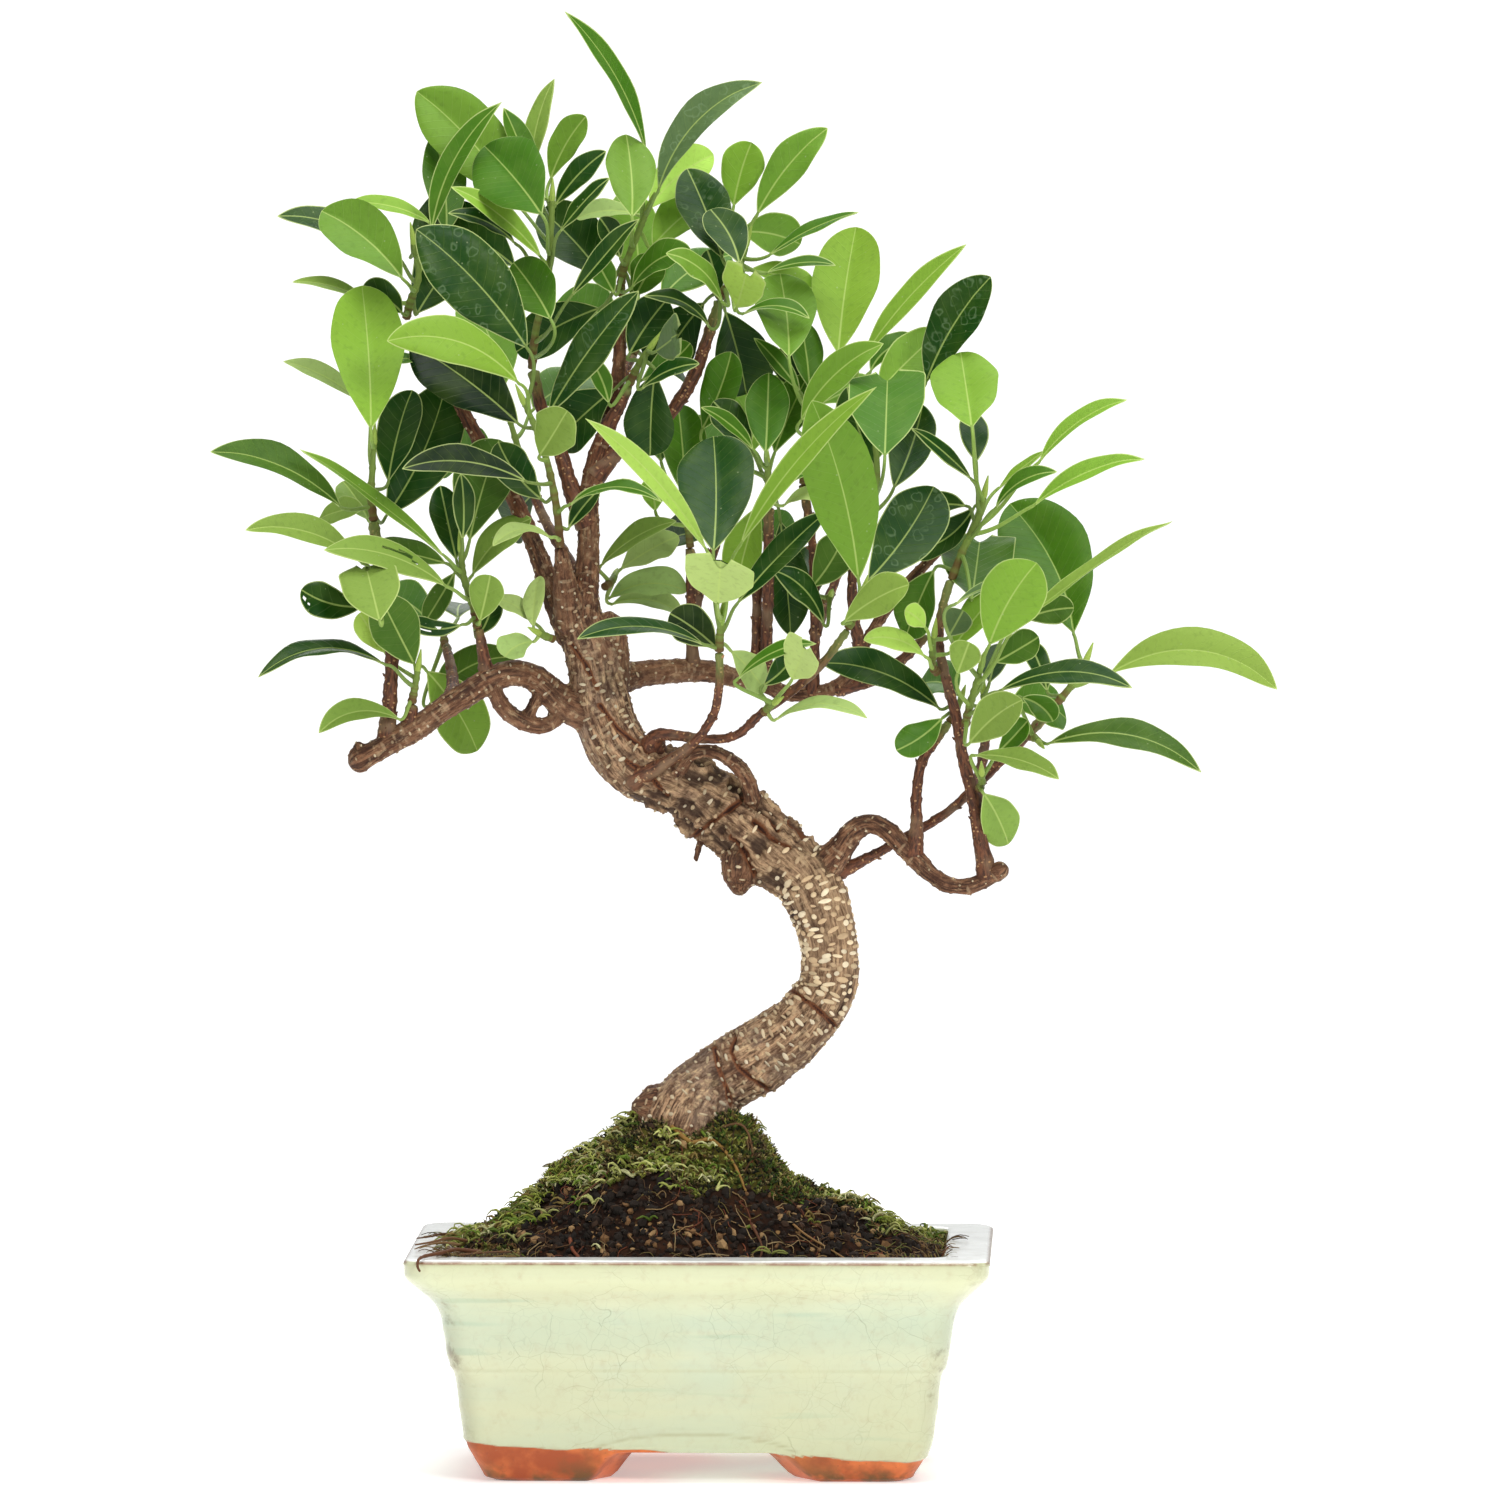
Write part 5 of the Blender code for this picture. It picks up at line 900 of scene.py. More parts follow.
def build_sprigs():
    """Curled shoots of the larger moss: branching, pale and in tufts over the dark cushions."""
    rng = np.random.default_rng(31)
    shells = Shells()
    tints = palette(SPRIG_TINTS)
    made = 0
    while made < SPRIG_TUFTS:
        x = rng.uniform(-84.0, 84.0)
        y = -abs(rng.normal(0.0, 26.0)) if made % 3 else rng.uniform(-55.0, 55.0)
        cover = mossy(np.array([x]), np.array([y]))[0]
        if abs(y) > 57.0 or rng.uniform() > 0.04 + cover or not clear_of_trunk(x, y, -2.0):
            continue
        if rng.uniform() > 0.35 + 1.3 * noise(np.array([[x, y, 0.0]]), 13.0, 41)[0]:
            continue
        made += 1
        foot = np.array((x, y, ground_at(x, y) + 0.4))
        tint = tints[rng.integers(0, len(tints))] * rng.uniform(0.6, 1.2)
        heading = rng.uniform(0.0, TURN)
        for branch in range(rng.integers(2, 6)):
            angle = heading + branch * 1.7 + rng.normal(0.0, 0.4)
            length = rng.uniform(2.8, 7.5)
            rise = rng.uniform(0.4, 1.5)
            path = []
            here = foot
            for k in range(5):
                path.append((Vector(here), rng.uniform(0.4, 0.75) * (1.0 - 0.17 * k)))
                angle += rng.normal(0.0, 0.5)
                slope = rise * (1.0 - 0.55 * k)
                here = here + length / 4.0 * np.array((math.cos(angle), math.sin(angle), slope))
            shells.bar(path, 5, tint=tint)
    show("moss_sprigs", shells.mesh("moss_sprigs"), tinted_material("sprig", 0.85, 0.5), "moss")


FIBRE_TINTS = ((150, 120, 78), (92, 62, 34), (66, 42, 24), (176, 150, 106), (112, 96, 48), (120, 60, 34))
FIBRE_COUNT = 900
STRAND_STEPS = 8


def wander(rng, start, heading, length, lift):
    """Path of a loose strand that starts on the heap and follows it."""
    spots = []
    spot = np.array(start, dtype=float)
    for k in range(STRAND_STEPS + 1):
        spots.append(Vector(spot))
        heading += rng.normal(0.0, 0.42)
        spot = spot + length / STRAND_STEPS * np.array((math.cos(heading), math.sin(heading), 0.0))
        ground = ground_at(spot[0], spot[1])
        if max(abs(spot[0] - POT_X) / 84.0, abs(spot[1]) / 59.0) > 1.0:
            ground = max(ground, POT_TOP)
        goal = ground + lift * math.sin(math.pi * (k + 1) / (STRAND_STEPS + 1))
        spot[2] += (goal - spot[2]) * 0.5
    return spots


def strand(spots, radius):
    """Bar along a strand that gets thinner to its end."""
    return [(spot, radius * (1.0 - 0.6 * k / (STRAND_STEPS + 1.0))) for k, spot in enumerate(spots)]


def build_fibres():
    """Dry stems, root hairs and bits of moss that lie on the earth."""
    rng = np.random.default_rng(12)
    shells = Shells()
    tints = palette(FIBRE_TINTS)
    for _ in range(FIBRE_COUNT):
        x = rng.uniform(-84.0, 84.0)
        y = rng.uniform(-59.0, 40.0)
        if not clear_of_trunk(x, y, 1.0):
            continue
        length = rng.uniform(3.0, 13.0) * (1.5 if rng.uniform() < 0.12 else 1.0)
        start = (x, y, ground_at(x, y) + 0.4)
        spots = wander(rng, start, rng.uniform(0.0, TURN), length, rng.uniform(0.3, 2.4))
        path = strand(spots, rng.uniform(0.11, 0.3))
        tint = tints[rng.integers(0, len(tints))] * rng.uniform(0.6, 1.1)
        tint[3] = 1.0
        shells.bar(path, 5, tint=tint)
    show("loose_fibres", shells.mesh("loose_fibres"), tinted_material("fibre", 0.75, 0.45), "soil")


# Larger roots and stems that lie on the heap: colour, start radius, places (x, y, height over it)
ROOTS = (
    ((120, 62, 36), 0.75, ((-42, -40, 1), (-41, -46, 1.6), (-38.5, -50, 1.2), (-41, -55, 1),
        (-37, -59, 0.6))),
    ((150, 112, 52), 0.9, ((-8, -17, 2.5), (-1, -21, 3), (6, -22, 2.6), (13, -25, 2), (18, -31, 1.2))),
    ((128, 92, 44), 0.6, ((-6, -20, 1.5), (-14, -24, 2), (-21, -26, 1.2))),
    ((96, 60, 34), 0.5, ((-28, -20, 1), (-33, -24, 3.4), (-39, -27, 3), (-44, -28, 0.8))),
    ((80, 50, 30), 0.45, ((-30, -16, 1), (-36, -15, 4.6), (-41, -15, 4.2), (-45, -18, 2))),
    ((104, 72, 40), 0.55, ((4, -18, 1), (16, -19, 4), (20, -22, 2), (16, -26, 0.6))),
    ((140, 104, 60), 0.5, ((30, -30, 0.8), (38, -38, 1.6), (48, -42, 1), (56, -50, 0.6))),
    ((120, 84, 48), 0.45, ((-5, -46, 0.8), (4, -50, 1.4), (10, -56, 0.8))),
    ((92, 54, 30), 0.6, ((20, -40, 0.8), (24, -48, 1.4), (22, -56, 0.8))),
)

# Roots that have grown out over the lip, with heights above the table
LIP_ROOTS = (
    ((98, 58, 32), 0.85, ((-72, -52, 79), (-80, -56, 80.3), (-85.5, -64, 79.8), (-90, -70, 79.4),
        (-92, -75.6, 78.8), (-92.4, -77.6, 76.6), (-91.6, -77.4, 74.8))),
    ((110, 74, 44), 0.6, ((-78, -20, 80), (-84, -24, 81.4), (-90, -26, 80.2), (-95.5, -30, 79.6))),
    ((124, 92, 56), 0.45, ((-80, -34, 80), (-86, -32, 80.6), (-92, -38, 80), (-95, -44, 79.4))),
    ((92, 60, 34), 0.5, ((-81, -5, 80), (-87, -10, 81.6), (-91, -14, 81), (-96, -12, 80.2))),
    ((104, 70, 40), 0.45, ((-60, -56, 79.4), (-66, -60.5, 80), (-73, -62, 79.7), (-79, -64, 79.4))),
)

FRINGE_TINTS = ((86, 60, 32), (120, 96, 50), (104, 104, 48), (62, 42, 24))
FRINGE_COUNT = 260


def build_roots():
    """Surface roots, roots over the lip, and a fringe of short strands at both ends of the pot."""
    rng = np.random.default_rng(3)
    shells = Shells()
    for on_heap, group in ((True, ROOTS), (False, LIP_ROOTS)):
        for tint, radius, places in group:
            marks = [Vector((x, y, z + (ground_at(x, y) if on_heap else 0.0))) for x, y, z in places]
            path = smooth_path([(mark, radius) for mark in marks], 7)
            path = [(spot, radius * (1.0 - 0.55 * k / len(path)) * rng.uniform(0.85, 1.12))
                    for k, (spot, _) in enumerate(path)]
            shells.bar(path, 9, tint=linear(*tint))
    tints = palette(FRINGE_TINTS)
    for _ in range(FRINGE_COUNT):
        left = rng.uniform() < 0.62
        x = rng.uniform(-86.0, -58.0) if left else rng.uniform(58.0, 84.0)
        y = rng.uniform(-59.0, 10.0)
        if left and rng.uniform() < 0.4:
            y = rng.uniform(-62.0, -52.0)
        heading = rng.normal(0.0, 0.7) + (math.pi if left else 0.0)
        start = (x, y, max(ground_at(x, y), 78.0) + 0.6)
        spots = wander(rng, start, heading, rng.uniform(4.0, 12.0), rng.uniform(0.6, 2.6))
        inside = [spot for spot in spots if abs(spot.x - POT_X) < 98.0 and abs(spot.y) < 73.0]
        if len(inside) > 3:
            shells.bar(strand(inside, 0.26), 5, tint=tints[rng.integers(0, 4)])
    show("surface_roots", shells.mesh("surface_roots"), tinted_material("root_skin", 0.7, 0.4), "bark")


# ---------------------------------------------------------------- wood

SKIN_CELL = 0.75          # cell of the skin that joins all thick wood
CORK_GAP = 1.9            # least distance between corky dashes, on the stretched bark
CORK_SIDES = 10
TWIG_SIDES = 12
GNARLED_AT = 0.64         # shares of the trunk's length where it is most gnarled and most worn
WORN_AT = 0.45
CORK_TINTS = ((238, 216, 178), (224, 198, 158), (206, 176, 138), (246, 228, 194))

# Foot of the trunk inside the heap: (height, radius)
TRUNK_FOOT = ((96.0, 12.0), (108.0, 16.0), (119.0, 17.5))
# Trunk above it: (x, depth, z, radius)
TRUNK = (
    (6.5, 0, 131.5, 12.5), (22, -2, 141.5, 12), (35.5, -4, 151.5, 11), (44.5, -5, 164, 10.5),
    (46, -5, 176.5, 10.2), (43.5, -4, 189, 10.6), (37.5, -2, 202.5, 11.6), (27.5, 0, 211, 13),
    (17, 1, 219.5, 13), (6.5, 1, 227.5, 12.2), (-5, 0, 234.5, 11.2), (-19, -1, 240, 10.8),
    (-28, -1, 250, 10.4), (-33, 0, 262.5, 9.8), (-36, 0, 279.5, 9.2), (-40, 0, 292, 7.6),
    (-39, 0, 303, 5.5),
)

WOOD = {
    # name: places (x, depth, z, radius), the first inside the wood it grows from
    "old_stump": ((2, 0, 118, 13), (-9, -1, 121.5, 11), (-18, -2, 123, 8)),
    "second_stump": ((-31, 4, 262, 8), (-30, 3, 280, 7), (-29.5, 2, 292.5, 5)),
    "left_stem": ((-42, 1, 286, 6.5), (-49, 2, 300, 4.4), (-56, 4, 318, 3.3), (-64, 6, 336, 2.8),
        (-74, 8, 352, 2.5), (-82, 9, 367, 2.3), (-90, 9, 381, 2.1), (-99, 8, 393, 1.9)),
    "core_twig": ((-43, -2, 290, 6), (-45, -8, 303, 4.2), (-46.5, -14, 316, 2.4)),
    "main_stem": ((-39, 0, 296, 6), (-37, 2, 316, 3.8), (-37, 3, 334, 3.6), (-34, 5, 348, 3.2),
        (-30, 8, 360, 2.7), (-27, 10, 374, 2.5), (-26, 12, 390, 2.3), (-26, 13, 402, 1.9)),
    "left_fork": ((-37.5, 2, 324, 3.2), (-43, 4, 337, 2.9), (-47, 7, 350, 2.5), (-53, 9, 364, 2.2),
        (-56, 9, 377, 2)),
    "right_fork": ((-35.5, 4, 341, 3.2), (-27, 7, 350, 2.9), (-17, 10, 355, 2.5), (-8, 12, 364, 2.3),
        (-1, 14, 375, 2.3), (3, 15, 386, 2.1), (8, 15, 401, 1.7)),
    "mid_twig": ((-31, 7, 357, 2.3), (-26, 0, 366, 2), (-23.5, -4, 372, 1.7)),
    "under_knob": ((18, -2, 214, 9), (15.5, -4, 205.5, 7), (15, -5, 200, 4.2), (15.6, -6, 197, 1.6)),
    "under_peg": ((5, -2, 224, 2), (2, -3, 217, 1.3), (-0.2, -3, 208.5, 1.1)),
    "left_branch": ((-36, -1, 258, 7), (-47, -4, 264, 5.8), (-55, -7, 271, 4.8), (-62, -9, 273.5, 4.3),
        (-70, -10, 271.5, 4.2), (-79, -12, 266, 4.3), (-87, -14, 261, 4.3), (-95, -16, 255, 4.2),
        (-103, -18, 250.5, 4), (-110, -20, 246.5, 3.9), (-117.5, -21, 242.5, 4.2)),
    "left_stub": ((-114, -20.5, 244, 2.6), (-117, -22, 249, 1.6)),
    "branch_loop": ((-71, -10, 270, 3.2), (-66.5, -9, 261.5, 3), (-60, -8, 256.5, 2.9),
        (-53.5, -7, 255, 2.8), (-48.5, -5, 257.5, 2.7), (-46, -4, 264, 2.8)),
    "loop_link": ((-58.5, -7.5, 257, 2.2), (-54, -8, 266.5, 2)),
    "left_upright": ((-107, -19, 249, 2.7), (-105.5, -17, 265, 2.5), (-105, -15, 282, 2.3),
        (-107, -13, 300, 2.1), (-110, -12, 316, 2.1), (-111, -11, 325, 1.8)),
    "low_upright": ((-99, -17, 254, 2.2), (-98, -18, 262, 1.9)),
    "branch_upright": ((-72, -10, 272, 2.2), (-73.5, -11, 281, 1.9), (-75, -12, 288, 1.6)),
    "trunk_loop": ((-7, -8, 238, 3.2), (-3, -11, 244.5, 2.6), (4, -12, 246.5, 2.5), (11, -12, 244, 2.5),
        (17, -11, 238, 2.6), (20, -9, 229, 3)),
    "right_branch": ((42, -3, 204, 7), (50, -6, 213, 4.8), (54.5, -8, 219, 4), (60, -10, 221.5, 3.3),
        (66, -12, 219, 3.3), (70.5, -13, 214.5, 3.2), (76, -14, 209, 3.3), (81, -16, 204, 2.9),
        (87, -17, 200.5, 2.6), (94, -18, 200, 2.7), (100, -19, 202.5, 3), (106, -22, 206, 2.3)),
    "inner_upright": ((75, -14, 210, 2.8), (76, -13, 221, 2.1), (76, -12, 232, 1.9), (78, -11, 243, 1.8),
        (83, -10, 251, 1.7), (87, -9, 256, 1.5)),
    "right_upright": ((100.5, -20, 203, 2.8), (98, -20, 216, 2.5), (95.5, -20, 231, 2.4),
        (92, -20, 244, 2.1), (90, -19, 257, 1.9), (87, -18, 268, 1.8), (84, -16, 281, 1.7),
        (84, -14, 292, 1.6), (87.5, -12, 305, 1.4)),
    "long_twig": ((48, -2, 204, 2.4), (60, -3, 210, 1.8), (70, -4, 215.5, 1.7), (78, -5, 220, 1.7),
        (88, -6, 226.5, 1.6), (98, -7, 236, 1.6), (108, -9, 246, 1.7), (116, -10, 254, 1.7),
        (124, -11, 262.5, 1.6)),
    "back_branch": ((-30, 4, 270, 6), (-20, 14, 273, 4.6), (-8, 21, 274, 4.2), (4, 25, 274, 3.8),
        (12, 27, 272, 3.4), (22, 28, 270, 3.1), (31, 28, 266.5, 2.9), (41, 27, 266.5, 2.8),
        (49, 25, 269, 2.6), (55, 23, 276, 2.3), (59, 20, 285, 2.1), (70, 17, 301, 2), (85, 12, 317, 1.7)),
    "back_prong": ((48, 25, 268, 2.4), (61, 27, 271, 2), (71, 28, 278, 1.8), (79, 28, 286, 1.6)),
    "left_riser": ((-1, 23, 274, 2.2), (-1.5, 20, 290, 1.9), (-2, 18, 316, 1.6)),
    "mid_riser": ((24, 28, 269, 2.3), (24.5, 22, 290, 2), (25, 14, 310, 1.9), (25, 8, 330, 1.7)),
    "twin_riser": ((20, 28, 270, 2), (21, 26, 290, 1.8), (21, 22, 316, 1.6)),
    "right_riser": ((40, 27, 266, 2.1), (41, 22, 284, 1.8), (41, 18, 300, 1.7), (40, 14, 318, 1.6),
        (37, 10, 338, 1.5)),
    "dark_riser": ((57, 21, 281, 2.1), (54, 12, 296, 1.8), (54, 4, 314, 1.6)),
    "front_twig": ((-15, -6, 247, 4), (-12, -14, 252, 2), (4, -20, 250.5, 1.6), (14, -25, 252, 1.6),
        (22, -30, 259, 1.5), (31, -35, 265.5, 1.5), (40, -40, 273, 1.5), (47, -43, 281, 1.4),
        (52, -44, 288, 1.3)),
    "heart_twig": ((-22, -8, 236, 3.2), (-8, -18, 244, 2), (0, -26, 250, 1.6), (6, -32, 259, 1.5),
        (8, -36, 269, 1.5), (8, -38, 280, 1.4)),
    "rear_left": ((-38, 2, 300, 3.2), (-44, 16, 312, 2.2), (-52, 34, 326, 1.8), (-58, 48, 340, 1.5)),
    "rear_high": ((-29, 9, 366, 2.2), (-26, 24, 374, 1.8), (-22, 40, 382, 1.5)),
    "rear_mid": ((-1.5, 20, 289, 1.9), (2, 34, 304, 1.7), (8, 50, 320, 1.5)),
    "rear_right": ((41, 21, 287, 1.8), (46, 36, 300, 1.6), (52, 52, 316, 1.4)),
    "rear_low": ((-84, -13, 263, 3), (-84, 4, 272, 2), (-86, 22, 282, 1.6)),
    "rear_far": ((96, -20, 229, 2.2), (98, -4, 240, 1.8), (100, 14, 252, 1.5)),
}

STOUT = ("trunk", "old_stump", "second_stump", "left_branch", "right_branch", "back_branch",
         "branch_loop", "trunk_loop", "main_stem", "left_stem", "core_twig", "left_stub", "loop_link",
         "under_knob", "under_peg")
# Thick stems whose bark turns young between two heights
YOUNG_STEMS = (("main_stem", 300.0, 345.0), ("left_stem", 295.0, 330.0))
# Twigs that are green at the tip
FRESH_TIPS = ("left_stem", "left_fork", "right_fork", "mid_twig", "main_stem", "left_upright",
              "inner_upright", "right_upright", "long_twig", "front_twig", "heart_twig")

# Carved and knotted places on the wood: (x, depth, z), reach, push
KNOBS = (
    ((15.6, -7, 206), 7, 4), ((15, -12, 209), 4, 2), ((35, -6, 210), 8, 1.5), ((30, -10, 224), 6, 1.6),
    ((19, -12, 222), 5, 1.3), ((-14, -10, 243), 5, 2.2), ((-21, -9, 236), 6, 1.6), ((-33, -8, 257), 6, 1.5),
    ((-20, -6, 123), 6, 1.4), ((-117, -21, 243), 5, 1.4), ((-100, -17, 253), 4, 0.9),
    ((-79, -12, 266), 4, 1), ((-64, -9, 273), 5, 1.2), ((104.5, -21, 205.5), 4, 1.3),
    ((94, -18, 200), 3.5, 1), ((86, -17, 200.5), 3.5, 1), ((76, -14, 209), 4, 1), ((56, -8, 220), 4, 0.9),
    ((-39, -3, 296), 6, 1.2), ((-31, 0, 292), 4, 0.8), ((22, -14, 213), 4, -1.6), ((29, -13, 217), 4, -1.8),
    ((24, -13, 229), 3.5, -1.4), ((33, -14, 214), 3, -1.4),
)

# Scars and cracks on the front of the wood: depth, places (x, z) of the front drawing
SCARS = (
    (1, ((31, 165), (36.5, 161.5), (42, 157), (48.5, 151))),
    (1.2, ((13.5, 147.5), (12, 142.5), (14.5, 137.5), (19, 133.5), (24.5, 129.5))),
    (0.6, ((6, 144), (7.5, 137.5), (10.5, 130), (12, 124))),
    (1.6, ((-1, 217), (6, 222), (13, 227.5), (22, 233))),
    (2, ((16, 231), (21, 226), (25, 223), (28, 219))),
    (2.2, ((23, 233), (29, 227), (33, 221), (38, 217))),
    (1.8, ((20, 222), (26, 216.5), (32, 213))),
    (1.5, ((12, 217), (17, 211), (20, 204))),
    (0.8, ((-33, 262), (-27, 254), (-20, 249))),
    (0.7, ((-24, 243), (-16, 238), (-10, 231))),
    (0.6, ((-43, 283), (-38, 276), (-34, 268))),
)


def line_distance(points, line):
    """Distance on the front drawing from surface points to a drawn line."""
    depth = 1.0 + points[:, 1] / -SIGHT.y
    x = SIGHT.x + (points[:, 0] - SIGHT.x) / depth
    z = SIGHT.z + (points[:, 2] - SIGHT.z) / depth - RAISE
    best = np.full(len(points), 1e9)
    for (ax, az), (bx, bz) in zip(line, line[1:]):
        run_x, run_z = bx - ax, bz - az
        share = np.clip(((x - ax) * run_x + (z - az) * run_z) / (run_x ** 2 + run_z ** 2), 0.0, 1.0)
        best = np.minimum(best, np.hypot(x - ax - share * run_x, z - az - share * run_z))
    return best


class Bark:
    """Where each surface point is on its limb: nearest centre sample, length along, angle round."""

    def __init__(self, points, limbs):
        rows = []
        for number, path in enumerate(smooth_path(limb, 8) for limb in limbs.values()):
            spots = [spot for spot, _ in path]
            runs = np.concatenate([[0.0], np.cumsum(run_lengths(spots))])
            for (spot, radius), axes, run in zip(path, frames_along(spots), runs):
                rows.append((*spot, *axes[0], *axes[1], *axes[2], radius, run, run / runs[-1], number))
        samples = np.array(rows)
        best = np.zeros(len(points), dtype=np.int64)
        for start in range(0, len(points), 4000):
            block = points[start:start + 4000]
            away = np.linalg.norm(block[:, None, :] - samples[None, :, :3], axis=2)
            best[start:start + 4000] = np.argmin(away - samples[None, :, 12], axis=1)
        near = samples[best]
        offset = points - near[:, :3]
        self.ahead = near[:, 3:6]
        self.radius, run, self.share, self.limb = near[:, 12:].T
        self.along = run + np.sum(offset * self.ahead, axis=1)
        angle = np.arctan2(np.sum(offset * near[:, 9:12], axis=1), np.sum(offset * near[:, 6:9], axis=1))
        self.space = np.column_stack([np.cos(angle) * self.radius, np.sin(angle) * self.radius,
                                      self.along + 300.0 * self.limb])
        self.trunk = self.limb == 0.0

    def grain(self, across, along, size, seed):
        return noise(self.space * (across, across, along), size, seed)


def build_wood():
    """Thick wood as one skinned body with bark relief, and the thin twigs as turned stems."""
    limbs = {"trunk": [(Vector((TRUNK_X, 0.0, z)), radius) for z, radius in TRUNK_FOOT] + drawn(TRUNK)}
    limbs.update({name: drawn(points) for name, points in WOOD.items()})
    build_stout({name: points for name, points in limbs.items() if name in STOUT})
    build_twigs({name: points for name, points in limbs.items() if name not in STOUT})


def build_stout(limbs):
    rough = Shells()
    for name, points in limbs.items():
        rough.bar(smooth_path(points, 5), 36 if name == "trunk" else 18)
    blank = add_object("wood_blank", rough.mesh("wood_blank"))
    skin = blank.modifiers.new("skin", "REMESH")
    skin.mode = "VOXEL"
    skin.voxel_size = SKIN_CELL * MM
    ease = blank.modifiers.new("ease", "SMOOTH")
    ease.factor = 0.6
    ease.iterations = 5
    mesh = settled(blank)
    mesh.name = "trunk_wood"
    points = read_vectors(mesh, "co") / MM + CENTRE
    normals = read_vectors(mesh, "normal")
    bark = Bark(points, limbs)
    size = np.clip(bark.radius / 11.0, 0.2, 1.2)

    # broad lumps, flutes and fibre of the bark, with rings round the branches
    lumps = 0.75 * bark.grain(1.0, 1.0, 15.0, 51) + 0.45 * bark.grain(1.0, 1.0, 6.5, 52)
    fibre = 0.5 * bark.grain(1.0, 0.22, 1.5, 53) + 0.4 * bark.grain(1.0, 0.3, 3.0, 54)
    push = size * (lumps + 0.5 * bark.grain(1.0, 0.1, 7.0, 56)) + 0.36 * fibre * np.clip(size * 1.5, 0.4, 1.0)
    push += 0.2 * bark.grain(0.4, 1.0, 1.9, 55) * size
    ring = np.sin(bark.along * 1.1 + 2.0 * bark.grain(1.0, 1.0, 9.0, 57))
    push += np.where(bark.trunk, 0.0, 0.3 * np.maximum(0.0, ring) ** 6)
    for spot, reach, height in KNOBS:
        away = np.linalg.norm(points - np.array(place(*spot)), axis=1) / reach
        push += height * np.exp(-2.2 * away ** 2) * (1.0 + 0.4 * noise(points, 2.6, 58))

    # scars with a raised lip, cracks between the bark plates, and the gnarled bend above them
    scar = np.zeros(len(points))
    front = ramp(-normals[:, 1], -0.1, 0.2) * (bark.radius > 6.0)
    for depth, line in SCARS:
        away = line_distance(points, line) + 0.35 * noise(points, 3.0, 59)
        groove = bell(away, 0.0, 0.8) * front
        push += depth * (0.45 * bell(away, 2.0, 0.9) * front - groove)
        scar = np.maximum(scar, groove)
    plates = np.abs(bark.grain(1.0, 0.32, 3.1, 62))
    crack = (1.0 - ramp(plates, 0.02, 0.16)) * np.clip(size, 0.0, 1.0)
    crack *= ramp(bark.grain(1.0, 1.0, 13.0, 63), -0.3, 0.25)
    gnarl = np.where(bark.trunk, bell(bark.share, GNARLED_AT, 0.13), 0.0)
    splits = np.abs(bark.grain(1.0, 0.45, 1.9, 66))
    crack = np.maximum(crack, 0.9 * gnarl * (1.0 - ramp(splits, 0.04, 0.2)))
    folds = 1.0 - np.abs(bark.grain(1.0, 0.7, 4.6, 64))
    push += gnarl * (3.2 * folds ** 3 - 1.5 + 0.8 * bark.grain(1.0, 1.0, 2.0, 65)) - 0.55 * crack
    points = points + normals * push[:, None]
    mesh.vertices.foreach_set("co", put(points).astype(np.float32).ravel())

    # shares of smooth young bark: stems turn young with height, branches are nearly so throughout
    young = np.zeros(len(points))
    for name, low, high in YOUNG_STEMS:
        young = np.where(bark.limb == list(limbs).index(name), ramp(points[:, 2], low, high), young)
    young = np.where(bark.limb == list(limbs).index("core_twig"), 0.8, young)
    branch = np.where(bark.trunk, ramp(points[:, 2], 268.0, 312.0), 0.85)
    worn = np.maximum(bell(bark.share, WORN_AT, 0.17), 0.7 * gnarl)
    # relief, the bark's push about its median, is also read by the material to paint shade into the hollows
    write_values(mesh, bark_space=bark.space, scar=scar, crack=crack, worn=np.where(bark.trunk, worn, 0.35),
                 twiggy=np.maximum(young, 0.92 * branch),
                 relief=np.clip(0.5 + 0.35 * (push - np.median(push)), 0.0, 1.0))
    mesh.shade_smooth()
    show("trunk_wood", mesh, bark_material(), "bark", "tree")
    build_lenticels(points, normals, bark, bark.trunk & (scar < 0.2))


